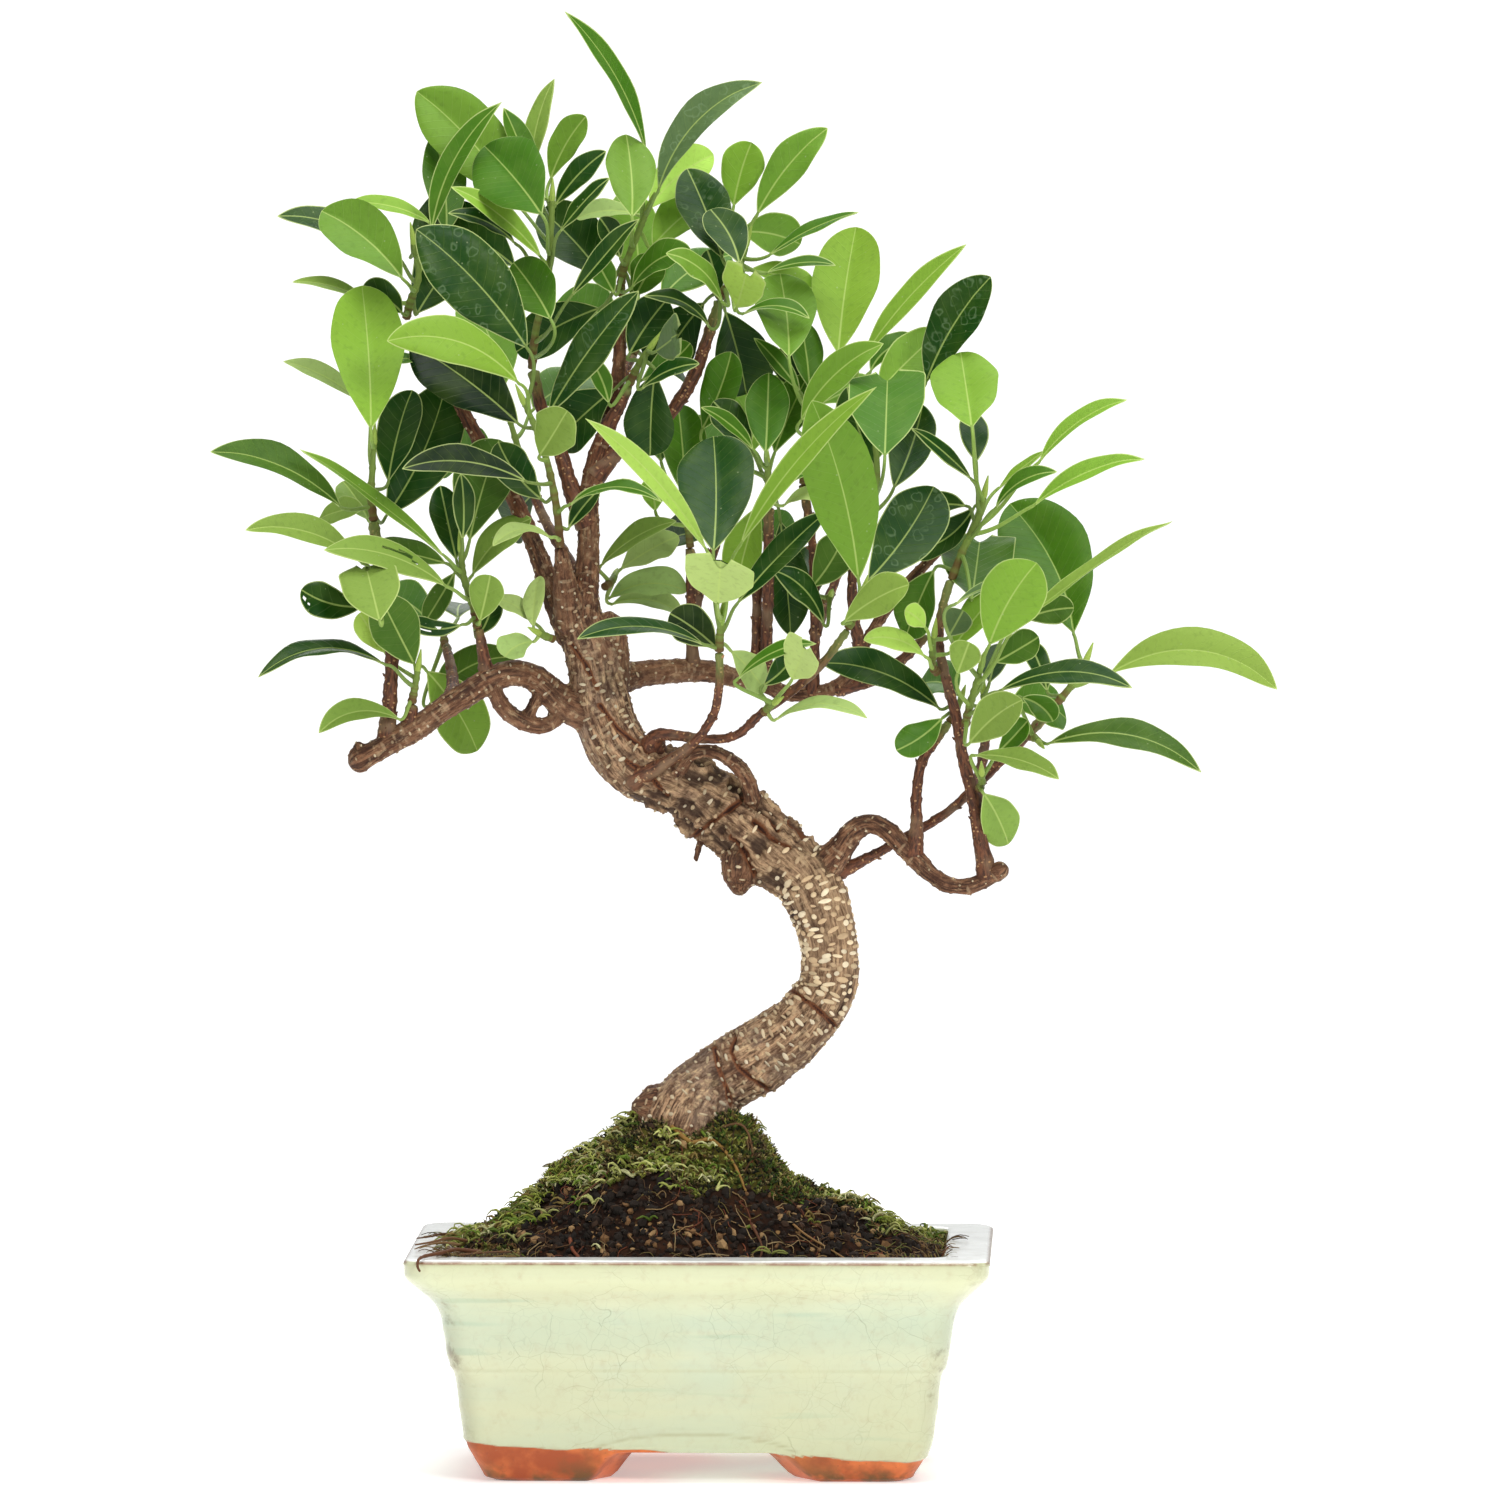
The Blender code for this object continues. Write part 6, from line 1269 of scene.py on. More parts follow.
def build_lenticels(points, normals, bark, clean):
    """Raised corky dashes that lie across the wood, thickest on the middle of the trunk."""
    rng = np.random.default_rng(77)
    bend = np.where(clean, bell(bark.share, 0.44, 0.16), 0.0)
    dense = 0.4 + 0.3 * bark.grain(1.0, 1.0, 20.0, 61) + 1.2 * bend
    dense = np.where(bark.radius < 5.0, 0.22, dense)
    order = rng.permutation(len(points))
    order = order[rng.uniform(0.0, 1.0, len(order)) < 0.26 * np.clip(dense[order], 0.0, 1.3)]
    stretched = bark.space * (0.42, 0.42, 0.94) * (0.94 + 0.26 * bend)[:, None]
    kept = []
    taken = np.zeros((0, 3))
    for index in order:
        if len(taken) and np.min(np.sum((taken - stretched[index]) ** 2, axis=1)) < CORK_GAP ** 2:
            continue
        taken = np.vstack([taken, stretched[index]])
        kept.append(index)
    points, normals, bend = points[kept], normals[kept], bend[kept]
    count = len(kept)
    around = unit(np.cross(bark.ahead[kept], normals), 1e-9)
    along = np.cross(normals, around)
    slim = np.clip(bark.radius[kept] / 9.0, 0.35, 1.0)
    long = rng.uniform(0.7, 2.3, count) * slim * (0.75 + 0.42 * bend)
    wide = rng.uniform(0.35, 0.8, count) * (0.5 + 0.5 * slim) * (0.95 + 0.55 * bend)
    around = around + along * rng.normal(0.0, 0.14, count)[:, None]
    outward = normals * (0.4 + 0.6 * slim)[:, None]
    rings = []
    for reach, lift in ((1.0, -0.35), (0.95, 0.12), (0.6, 0.32)):
        for angle in np.arange(CORK_SIDES) * TURN / CORK_SIDES:
            rings.append(points + around * (long * reach * math.cos(angle))[:, None]
                         + along * (wide * reach * math.sin(angle))[:, None] + outward * lift)
    rings.append(points + outward * 0.38)
    walls = tube_faces(3, CORK_SIDES)[0]
    edge = np.arange(CORK_SIDES)
    middle = np.full(CORK_SIDES, 3 * CORK_SIDES)
    top = np.stack([edge + 2 * CORK_SIDES, (edge + 1) % CORK_SIDES + 2 * CORK_SIDES, middle], axis=-1)
    base = edge[::-1][None, :]
    offset = np.arange(count)[:, None, None] * (3 * CORK_SIDES + 1)
    flip = np.sum(np.cross(around, along) * normals, axis=1) < 0.0
    faces = []
    for block in (walls, top, base):
        faces.append(np.concatenate([(block + offset[~flip]).reshape(-1, block.shape[1]),
                                     (block[:, ::-1] + offset[flip]).reshape(-1, block.shape[1])]))
    shade = rng.uniform(0.5, 0.85, count) + 0.4 * bend
    tint = palette(CORK_TINTS)[rng.integers(0, 4, count)] * shade[:, None]
    tint[:, 3] = 1.0
    shells = Shells()
    shells.add(np.stack(rings, axis=1), faces, tint=np.repeat(tint, 3 * CORK_SIDES + 1, axis=0))
    cork = tinted_material("cork", 0.8, 0.35)
    show("bark_lenticels", shells.mesh("bark_lenticels"), cork, "bark", "tree")


def bark_material():
    mat = Mat("fig_bark", Specular_IOR_Level=0.28)
    where = mat.place
    space = mat.value("bark_space", "Vector")
    worn, twiggy, scar = (mat.value(label) for label in ("worn", "twiggy", "scar"))
    streak = mat.noise(mat.scaled(space, 1.0, 1.0, 0.12), 0.95, 5.0, 0.65)
    patch = mat.noise(space, 0.11, 4.0, 0.6)
    blotch = mat.noise(where, 42.0, 5.0, 0.62)
    light = mat.mix(mat.step(streak, 0.3, 0.7), (98, 70, 48), (190, 158, 122))
    light = mat.paint(light, mat.step(blotch, 0.5, 0.64), (92, 64, 44), 0.6)
    dark = mat.mix(mat.step(streak, 0.36, 0.64), (56, 33, 21), (190, 152, 116))
    dark = mat.paint(dark, mat.step(blotch, 0.48, 0.66), (142, 118, 98), 0.8)
    dark = mat.paint(dark, mat.step(patch, 0.52, 0.66), (122, 70, 44), 0.55)
    pale_share = mat.math("ADD", mat.madd(mat.step(patch, 0.35, 0.65), 0.5, -0.25), worn, clamp=True)
    old = mat.mix(pale_share, dark, light)
    lichen = mat.step(mat.noise(where, 70.0, 5.0, 0.7), 0.6, 0.72)
    old = mat.paint(old, lichen, (132, 128, 84), 0.25)
    twig = mat.mix(mat.step(streak, 0.35, 0.65), (46, 23, 13), (120, 74, 48))
    twig = mat.paint(twig, mat.step(blotch, 0.5, 0.62), (140, 100, 70), 0.5)
    skin = mat.mix(twiggy, old, twig)
    # flakes: dark where they have come off, pale where they stand
    flake = mat.noise(mat.scaled(space, 1.0, 1.0, 0.55), 0.42, 5.0, 0.7)
    calm = mat.madd(worn, -0.5, 1.0)
    skin = mat.paint(skin, mat.step(flake, 0.5, 0.4), (66, 36, 21), mat.times(calm, 0.75))
    calm = mat.times(calm, mat.madd(twiggy, -0.5, 0.8))
    skin = mat.paint(skin, mat.step(flake, 0.54, 0.66), (214, 184, 142), calm)
    dash, chance = mat.cells(mat.scaled(space, 0.36, 0.36, 1.0), 0.5)
    small = mat.times(mat.step(dash, 0.4, 0.2), mat.step(chance[0], 0.5, 0.56))
    pale = mat.mix(mat.noise(space, 1.6, 2.0), (212, 184, 146), (182, 152, 118))
    skin = mat.paint(skin, small, pale, 0.35)
    # low places of the relief painted dark: painted shade in the hollows of the bark
    skin = mat.paint(skin, mat.step(mat.value("relief"), 0.42, 0.1), (44, 26, 18), 0.8)
    skin = mat.paint(skin, mat.value("crack"), (58, 36, 24), 0.72)
    skin = mat.mix(mat.step(scar, 0.1, 0.55), skin, (116, 70, 42))
    skin = mat.mix(mat.step(scar, 0.6, 0.95), skin, (56, 28, 16))
    split = mat.noise(mat.scaled(space, 1.0, 1.0, 0.16), 2.4, 3.0, 0.7)
    skin = mat.paint(skin, mat.step(split, 0.42, 0.3), (42, 26, 17), 0.7)
    relief = mat.madd(mat.math("ADD", split, flake), 0.8, mat.times(small, 0.35))
    mat.bump(mat.madd(mat.noise(where, 1500.0, 2.0), 0.25, relief), 0.7, 0.0006)
    return mat.finish(skin, mat.madd(streak, 0.25, 0.62))


def build_twigs(limbs):
    """Thin woody stems with leaf-scar rings, buds and small corky dots."""
    rng = np.random.default_rng(19)
    shells = Shells()
    for number, (name, points) in enumerate(limbs.items()):
        path = smooth_path(points, 12)
        spots = [spot for spot, _ in path]
        runs = np.concatenate([[0.0], np.cumsum(run_lengths(spots))])
        total = runs[-1]
        marks = [rng.uniform(2.0, 5.0)]
        while marks[-1] < total:
            marks.append(marks[-1] + rng.uniform(2.6, 6.5))
        marks.pop()
        swell = np.zeros(len(runs))
        for mark in marks:
            swell += 0.24 * bell(runs, mark, 0.55)
        flare = 1.0 + 0.35 * bell(runs, 0.0, 3.0 * path[0][1])
        shaped = [(spot, radius * flare[i] * 0.97 + swell[i]) for i, (spot, radius) in enumerate(path)]
        cloud = tube_points(shaped, TWIG_SIDES)
        angle = np.concatenate([np.tile(np.arange(TWIG_SIDES) * TURN / TWIG_SIDES, len(path)), [0.0, 0.0]])
        thick = ringed([radius for _, radius in path], path[0][1], path[-1][1])
        space = np.column_stack([np.cos(angle) * thick, np.sin(angle) * thick,
                                 ringed(runs, 0.0, total) + 200.0 * number])
        centre = np.concatenate([np.repeat(np.array(spots), TWIG_SIDES, axis=0), cloud[-2:]])
        bumps = 0.2 * noise(space, 1.5, 71) + 0.12 * noise(space, 0.8, 72)
        cloud = cloud + unit(cloud - centre, 1e-9) * bumps[:, None]
        fresh = ringed(runs / total, 0.0, 1.0)
        green = ramp(fresh, 0.8, 1.02) * (0.75 if name in FRESH_TIPS else 0.25)
        scarred = ringed(np.clip(swell * 3.0, 0.0, 1.0), 0.0, 0.0)
        shells.add(cloud, tube_faces(len(shaped), TWIG_SIDES), bark_space=space,
                   twig_values=np.column_stack([green, scarred, fresh]))
        for mark in marks[::2]:
            i = int(np.argmin(np.abs(runs - mark)))
            if not 2 < i < len(path) - 2:
                continue
            ahead = (spots[i + 1] - spots[i - 1]).normalized()
            side = ahead.orthogonal().normalized()
            around = rng.uniform(0.0, TURN)
            out = side * math.cos(around) + ahead.cross(side) * math.sin(around)
            foot = spots[i] + out * path[i][1] * 0.7
            bud = [(foot, 0.55), (foot + out * 0.8 + ahead * 0.4, 0.5), (foot + out * 1.3 + ahead * 1.1, 0.2)]
            shells.bar(bud, 6, bark_space=(0.0, 0.0, mark), twig_values=(0.0, 1.0, fresh[i]))
    show("woody_twigs", shells.mesh("woody_twigs"), twig_material(), "bark", "tree")


def ringed(values, first, last):
    """One value for each ring of a twig as values for its points, and those of its two ends."""
    return np.concatenate([np.repeat(values, TWIG_SIDES), [first, last]])


def twig_material():
    mat = Mat("twig_bark", Specular_IOR_Level=0.35)
    space = mat.value("bark_space", "Vector")
    green_share, scarred, _ = mat.parts(mat.value("twig_values", "Vector"))
    streak = mat.noise(mat.scaled(space, 1.0, 1.0, 0.25), 1.2, 4.0, 0.6)
    brown = mat.mix(mat.step(streak, 0.35, 0.65), (56, 29, 16), (116, 70, 45))
    grey = mat.mix(streak, (96, 72, 52), (140, 112, 84))
    brown = mat.mix(mat.step(mat.noise(space, 0.06, 2.0), 0.5, 0.62), brown, grey)
    brown = mat.paint(brown, scarred, (92, 60, 40), 0.5)
    away, chance = mat.cells(mat.scaled(space, 0.7, 0.7, 1.0), 0.85)
    dot = mat.times(mat.step(away, 0.36, 0.2), mat.step(chance[1], 0.5, 0.56))
    brown = mat.paint(brown, dot, (190, 146, 100), 0.75)
    green = mat.mix(streak, (104, 128, 58), (142, 160, 84))
    mat.bump(mat.math("ADD", streak, dot), 0.5, 0.0003)
    return mat.finish(mat.mix(green_share, brown, green), mat.madd(streak, 0.25, 0.5))


SHOOTS = {
    # name: (stem places, leaves)
    # leaf: (share of the stem, base, tip, width, tilt in degrees, arch, tone)
    "shoot_crown_left": (
        ((-56.5, 9, 378.5), (-55, 2, 392), (-51, -6, 408), (-50, -8, 422), (-49.5, -8, 436)),
        ((0.06, (-50, -34, 395), (-63, -8, 415), 17, 10, 1, "mid"),
         (0.16, (-43, -18, 403), (-20, -26, 430), 9, 40, 1, "dark"),
         (0.36, (-62, 14, 413), (-92, 28, 431), 19, 25, 2, "dark"),
         (0.42, (-53, -20, 416), (-84, -26, 441), 9, 40, 3, "young"),
         (0.52, (-62, -6, 421), (-85, -10, 432), 8, 50, 3, "dark"),
         (0.62, (-47, -14, 425), (-30, -18, 444), 8, 50, 1, "dark"),
         (0.7, (-53, -34, 431), (-73, 6, 455), 25, 5, 1, "mid"),
         (0.76, (-60, 14, 433), (-96, 26, 474), 24, 15, 3, "fresh"),
         (0.84, (-48.5, 2, 434), (-31, 0, 453), 10, 30, 2, "dark"),
         (0.88, (-55, 18, 440), (-66, 24, 468), 10, 30, 1, "mid"),
         (0.92, (-50, 10, 443), (-38, 8, 465), 12, 25, 2, "fresh"),
         (1, (-57, 20, 444), (-49, 26, 478), 9, 35, 2, "matte"))),
    "shoot_crown_mid": (
        ((-26, 13.3, 403.5), (-25, 12, 412), (-21, 10, 422), (-17, 8, 432)),
        ((0.04, (-22, -2, 406), (-2, -10, 419), 12, 45, 4, "mid"),
         (0.1, (-33, 22, 399), (-62, 34, 384), 18, 25, 2, "dark"),
         (0.14, (-28, 4, 404), (-35, 0, 417), 9, 10, 0, "mid"),
         (0.24, (-21, 16, 403), (-14, 16, 417), 13, 15, 0, "mid"),
         (0.34, (-26, 2, 416), (-33, -2, 430), 9, 20, 1, "dark"),
         (0.4, (-31, 22, 408), (-53, 34, 433), 21, 25, 2, "dark"),
         (0.58, (-22, -16, 430), (-24, 10, 459), 17, 5, 1, "fresh"),
         (0.7, (-20, 22, 431), (-41, 26, 430), 10, 55, 3, "pale"),
         (0.7, (-15, 16, 420), (6, 26, 439), 18, 30, 2, "young"),
         (0.8, (-16, 20, 433), (6, 24, 452), 16, 20, 3, "lime"),
         (0.9, (-17, 4, 452), (-45, -6, 501), 10, 55, 5, "mid"),
         (1, (-13, 2, 439), (22, -4, 477), 14, 35, 8, "painted_sheen"))),
    "shoot_crown_right": (
        ((8, 15, 402.5), (12, 14, 408), (15, 13, 414), (17, 12, 420)),
        ((0.05, (5, 2, 392), (-18, -8, 403), 8, 50, 5, "dark"),
         (0.1, (3, 24, 401), (-14, 36, 378), 20, 20, 1, "dark"),
         (0.16, (9, -4, 401), (-10, -14, 418), 10, 50, 4, "fresh"),
         (0.2, (10, 24, 398), (18, 40, 369), 22, 20, 1, "dark"),
         (0.26, (14, -6, 399), (18, -30, 413), 15, 15, 0, "lime"),
         (0.36, (16, 4, 397), (39, -4, 396), 7, 60, 4, "mid"),
         (0.46, (7, 22, 403), (4, 22, 419), 9, 15, 1, "dark"),
         (0.5, (18, 20, 412), (42, 26, 405), 12, 45, 2, "young"),
         (0.56, (9, -4, 416), (-3, 18, 447), 18, 10, 1, "dark"),
         (0.64, (24, 16, 411), (48, 12, 414), 7, 60, 3, "mid"),
         (0.72, (15, -16, 414), (5, 2, 433), 14, 15, 2, "dark"),
         (0.8, (25, 6, 417), (56, 0, 432), 8, 55, 3, "mid"),
         (0.86, (15, 24, 425), (36, 26, 421), 15, 20, 2, "fresh"),
         (0.92, (21, 14, 431), (45, 12, 461), 14, 20, 3, "fresh"),
         (1, (13, 22, 434), (19, 22, 456), 15, 10, 1, "young"))),
    "shoot_left_top": (
        ((-99.8, 8, 395.4), (-98, 7, 402), (-95.5, 6, 410), (-97, 5, 421)),
        ((0.08, (-101, -2, 397), (-115, -6, 405), 12, 20, 2, "dark"),
         (0.2, (-113, 10, 401), (-139, 8, 408), 9, 60, 3, "matte"),
         (0.2, (-96, 14, 397), (-79, 30, 421), 22, 20, 1, "dark"),
         (0.34, (-101, -16, 409), (-129, 4, 433), 20, 20, 3, "fresh"),
         (0.48, (-104, 14, 417), (-144, 14, 431), 12, 50, 4, "dark"),
         (0.62, (-91, 8, 428), (-120, 4, 435), 10, 55, 4, "young"),
         (0.8, (-91, -4, 425), (-67, -2, 470), 10, 30, 6, "mid"),
         (0.85, (-98, 14, 417), (-84, 24, 440), 12, 35, 1, "dark"),
         (1, (-86, 18, 424), (-90, 40, 459), 15, 15, 2, "mid"))),
    "shoot_left_mid": (
        ((-87.5, 5.5, 378), (-90, 2, 380), (-92, -1, 381.5)),
        ((1, (-93, -4, 380), (-112, -10, 377), 9, 55, 4, "mid"),)),
    "shoot_left_tower": (
        ((-111, -11, 325.8), (-112, -10, 334), (-111.5, -9, 343), (-111, -8, 352)),
        ((0.05, (-107, 6, 327), (-86, 14, 374), 22, 10, -3, "dark"),
         (0.17, (-122, -16, 330), (-167, -26, 350), 14, 45, 6, "olive"),
         (0.3, (-114, 8, 330), (-131, 34, 326), 10, 30, 2, "matte"),
         (0.4, (-106, 0, 339), (-98, 12, 371), 16, 25, 1, "dark"),
         (0.42, (-113, 16, 326), (-122, 46, 340), 12, 20, 1, "matte"),
         (0.7, (-116, 6, 367), (-142, 10, 381), 10, 50, 3, "pale"),
         (1, (-112, -24, 357), (-115, 2, 407), 25, 5, 1, "young"))),
    "shoot_left_side": (
        ((-110.5, -14.8, 308), (-113, -18, 309), (-114, -22, 308), (-113, -26, 303)),
        ((0.2, (-115, -24, 311), (-155, -34, 323), 12, 45, 6, "matte"),
         (0.6, (-115, -22, 296), (-136, -30, 302), 12, 15, -2, "dark"),
         (1, (-109, -58, 291), (-114, -30, 311), 19, 5, 0, "matte"))),
    "shoot_low_left": (
        ((-98, -18, 263), (-97, -19, 268), (-96, -20, 274)),
        ((0.1, (-102, -22, 257), (-130, -34, 253), 10, 45, 6, "matte"),
         (0.3, (-93, 4, 274), (-75, 24, 246), 19, 15, 2, "fresh"),
         (0.5, (-107, -24, 276), (-151, -40, 272), 12, 60, 9, "dark"),
         (0.75, (-107, -8, 280), (-116, -6, 294), 10, 15, 0, "lime"),
         (1, (-97, -28, 276), (-109, -54, 300), 17, 10, 0, "olive"))),
    "shoot_low_back": (
        ((-86.5, 22.8, 282.5), (-87, 27, 286), (-87, 33, 288)),
        ((0.3, (-92, 24, 262), (-62, 20, 279), 13, 30, 6, "olive"),
         (0.6, (-93, 44, 292), (-112, 70, 302), 18, 40, 3, "mid"),
         (1, (-82, 48, 292), (-76, 82, 296), 18, 60, 5, "dark"))),
    "shoot_branch": (
        ((-75.3, -12, 288.9), (-77, -12, 297), (-80, -12, 306), (-81, -12, 315)),
        ((0.04, (-74.5, -18, 291), (-71, -22, 307), 12, 10, 0, "matte"),
         (0.12, (-80.5, -20, 290), (-101, -26, 293), 8, 45, -3, "dark"),
         (0.22, (-75, -2, 286), (-70, 2, 299), 9, 20, -1, "dark"),
         (0.36, (-86, -22, 303), (-128, -32, 316), 13, 45, 6, "matte"),
         (0.48, (-83, 2, 308), (-94, 6, 290), 9, 20, 0, "olive"),
         (0.6, (-77, 0, 307), (-57, 4, 327), 13, 35, 3, "matte"),
         (0.7, (-86, -6, 311), (-112, 4, 318), 12, 40, 1, "olive"),
         (0.72, (-86, -16, 313), (-136, -28, 351), 9, 65, 3, "fresh"),
         (0.86, (-82.5, 0, 312), (-88, 6, 338), 12, 15, 0, "dark"),
         (0.95, (-78, -4, 319), (-68, 8, 354), 21, 20, 1, "olive"),
         (1, (-80.5, -14, 319), (-81, -18, 342), 8, 25, 1, "dark"))),
    "shoot_core_left": (
        ((-46.8, -15, 316.9), (-48, -19, 330), (-51, -23, 345), (-55, -26, 357), (-59, -28, 366)),
        ((0.05, (-50, -28, 320), (-70, -38, 317), 8, 60, 5, "pale"),
         (0.13, (-44, -16, 323), (-33, -18, 337), 8, 30, 1, "dark"),
         (0.24, (-44, -26, 331), (-12, -40, 333), 8, 60, 6, "mid"),
         (0.34, (-53, -10, 333), (-68, -4, 353), 13, 20, -2, "dark"),
         (0.44, (-58, -34, 339), (-101, -46, 344), 12, 35, 6, "deep"),
         (0.6, (-54, -34, 348), (-45, -66, 363), 16, 10, 0, "matte"),
         (0.72, (-51, -18, 362), (-20, -26, 405), 14, 25, 2, "dark"),
         (0.82, (-61, -14, 359), (-98, -2, 387), 23, 20, 2, "deep"),
         (0.91, (-61, -40, 373), (-106, -54, 388), 17, 30, 8, "young"),
         (1, (-58, -34, 385), (-96, -44, 426), 24, 10, 3, "dark"))),
    "shoot_core_mid": (
        ((-23, -4.6, 372.8), (-20, -7, 379), (-16, -9, 385)),
        ((0.1, (-30, -12, 366), (-36, -16, 381), 7, 15, 1, "mid"),
         (0.2, (-28, 4, 371), (-49, 16, 352), 19, 25, 1, "dark"),
         (0.35, (-19, 0, 374), (-2, 2, 387), 11, 25, -1, "mid"),
         (0.6, (-23, 6, 383), (-10, 8, 402), 15, 10, 1, "dark"),
         (0.6, (-14, 2, 377), (-16, 16, 348), 18, 20, 1, "dark"),
         (0.8, (-19, -14, 371), (1, -20, 380), 8, 50, 3, "dark"),
         (1, (-14, -16, 384), (-6, -44, 391), 14, 30, 0, "painted_sheen"))),
    "shoot_trunk_left": (
        ((-49.3, -8, 285), (-52, -11, 286), (-54, -14, 287)),
        ((0.5, (-55, -6, 290), (-69, -4, 299), 8, 50, 2, "pale"),
         (0.9, (-56, -10, 289), (-54, 0, 307), 9, 35, 1, "pale"),
         (1, (-56, -12, 284), (-66, -16, 279), 11, 30, 2, "pale"))),
    "shoot_trunk_right": (
        ((-31.5, 9, 303), (-29, 14, 305), (-28, 20, 307)),
        ((0.3, (-33, 8, 310), (-7, 2, 326), 10, 50, 3, "matte"),
         (0.65, (-30, 18, 299), (-3, 20, 302), 13, 45, 5, "pale"),
         (0.8, (-26, 25, 309), (-6, 34, 321), 12, 35, 1, "pale"),
         (1, (-29, 30, 297), (-5, 34, 294), 12, 55, 4, "pale"))),
    "shoot_heart": (
        ((8, -38.3, 280.9), (8.3, -40, 287), (9, -43, 293)),
        ((0.08, (3, -42, 283), (-41, -56, 285), 12, 60, 7, "dark"),
         (0.2, (12, -30, 281), (24, -16, 267), 12, 30, 1, "pale"),
         (0.26, (7, -30, 282), (-9, -28, 294), 14, 15, 1, "deep"),
         (0.44, (14, -38, 297), (46, -34, 330), 11, 30, 2, "dark"),
         (0.58, (6, -56, 315), (6, -26, 355), 26, 0, 1, "dark"),
         (0.7, (15, -60, 317), (62, -80, 372), 9, 25, 5, "young"),
         (0.84, (4, -62, 315), (-38, -84, 361), 8, 30, 5, "lime"),
         (1, (7.5, -58, 297), (8.5, -92, 314), 23, 0, 0, "pale"))),
    "shoot_front_twig": (
        ((52.3, -44.2, 288.8), (55, -45, 294), (57, -46, 300)),
        ((0.2, (51, -54, 291), (73, -66, 304), 14, 25, 2, "matte"),
         (0.6, (59, -46, 305), (82, -24, 338), 21, 5, -2, "dark"),
         (1, (56, -56, 305), (40, -68, 367), 24, 5, 3, "fresh"))),
    "shoot_front_low": (
        ((23.6, -34.2, 259.6), (25, -37, 261.5), (27, -41, 263)),
        ((0.15, (27, -36, 257), (59, -50, 258), 9, 60, 6, "pale"),
         (0.4, (23, -26, 269), (34, -24, 280), 9, 20, -1, "dark"),
         (0.7, (33, -44, 271), (38, -70, 284), 14, 15, 0, "pale"),
         (1, (14, -46, 271), (41, -56, 284), 7, 55, 4, "mid"))),
    "shoot_mid_riser": (
        ((25, 7.6, 330.9), (25, 4, 338), (24.5, 0, 346)),
        ((0.15, (30, -2, 331), (47, -8, 333), 7, 50, 4, "pale"),
         (0.25, (22, 14, 331), (14, 24, 303), 14, 25, 1, "young"),
         (0.3, (29, 16, 326), (33, 24, 286), 16, 25, 1, "dark"),
         (0.35, (19, 8, 350), (6, 10, 367), 12, 15, 1, "dark"),
         (0.6, (2, 16, 357), (12, 14, 384), 14, 15, -1, "mid"),
         (0.6, (27, 8, 349), (39, 20, 377), 14, 25, 1, "mid"),
         (0.8, (20, -6, 350), (2, -14, 365), 7, 40, 2, "mid"),
         (1, (24, -6, 349), (25, 14, 377), 15, 5, 0, "mid"))),
    "shoot_right_riser": (
        ((36.9, 9.5, 338.8), (37.5, 7, 349), (38.5, 4, 360), (40, 2, 368)),
        ((0.2, (41, -4, 342), (27, -10, 338), 6, 50, 2, "mid"),
         (0.55, (36, -10, 360), (64, -22, 387), 13, 30, 4, "fresh"),
         (0.68, (36, 8, 370), (20, 12, 389), 7, 30, 1, "mid"),
         (0.75, (43, 6, 366), (62, 16, 374), 12, 35, 1, "fresh"),
         (0.78, (38, 18, 369), (26, 22, 384), 10, 20, 1, "dark"),
         (0.88, (32, -2, 382), (29, 28, 411), 21, 5, 1, "fresh"),
         (0.9, (39, 8, 371), (36, 18, 395), 13, 25, 1, "mid"),
         (1, (49, 8, 383), (55, 34, 427), 23, 5, 1, "young"))),
    "shoot_right_low": (
        ((44.2, 16.5, 298.5), (46, 13, 299.5), (46.5, 9, 300.5)),
        ((0.3, (40, 2, 303), (51, -2, 321), 14, 15, -1, "olive"),
         (1, (44, 4, 290), (27, -2, 309), 10, 40, 4, "dark"))),
    "shoot_dark_riser": (
        ((54, 3.2, 314.9), (58, -2, 325), (62, -6, 336), (62, -5, 350), (60, -2, 364)),
        ((0.28, (68, 2, 337), (78, 22, 366), 15, 15, -1, "dark"),
         (0.42, (65, -52, 348), (66, -14, 378), 25, 0, 0, "mid"),
         (0.56, (62, 6, 343), (52, 8, 372), 13, 15, -1, "dark"),
         (0.76, (60, 20, 377), (76, 26, 388), 10, 35, 4, "mid"),
         (0.88, (79, 4, 373), (101, 2, 410), 17, 20, 3, "dark"),
         (0.95, (62, 6, 369), (84, 14, 391), 16, 25, 1, "fresh"),
         (1, (57, -6, 381), (93, -14, 421), 10, 45, 3, "young"))),
    "shoot_right_column": (
        ((88, -12, 305.8), (92, -12, 316), (97, -12, 326), (99, -12, 334)),
        ((0.1, (82, -2, 309), (72, 10, 286), 16, 25, 1, "mid"),
         (0.3, (95, -24, 299), (98, 14, 322), 24, 5, 0, "mid"),
         (0.5, (96, 0, 331), (71, 4, 315), 12, 35, -4, "dark"),
         (0.58, (103, -20, 330), (124, -28, 343), 8, 45, 4, "mid"),
         (0.66, (116, -14, 331), (154, -20, 348), 9, 50, 4, "young"),
         (0.74, (118, -6, 346), (148, -8, 368), 9, 50, 4, "young"),
         (0.8, (93, -4, 331), (77, 6, 331), 9, 35, 1, "dark"),
         (0.82, (104, 6, 337), (120, 8, 350), 6, 60, 1, "young"),
         (0.9, (95, -24, 340), (74, -32, 358), 7, 45, 1, "dark"),
         (0.95, (96.5, -2, 346), (95, 14, 364), 10, 10, 0, "dark"),
         (1, (95, -30, 358), (91, 8, 384), 23, 0, 0, "young"))),
    "shoot_right_column_back": (
        ((99.6, 15, 252.5), (99, 20, 258), (99, 26, 266)),
        ((0.4, (108, 34, 262), (128, 62, 258), 18, 40, 4, "mid"),
         (0.7, (90, 38, 266), (76, 70, 270), 18, 45, 4, "mid"),
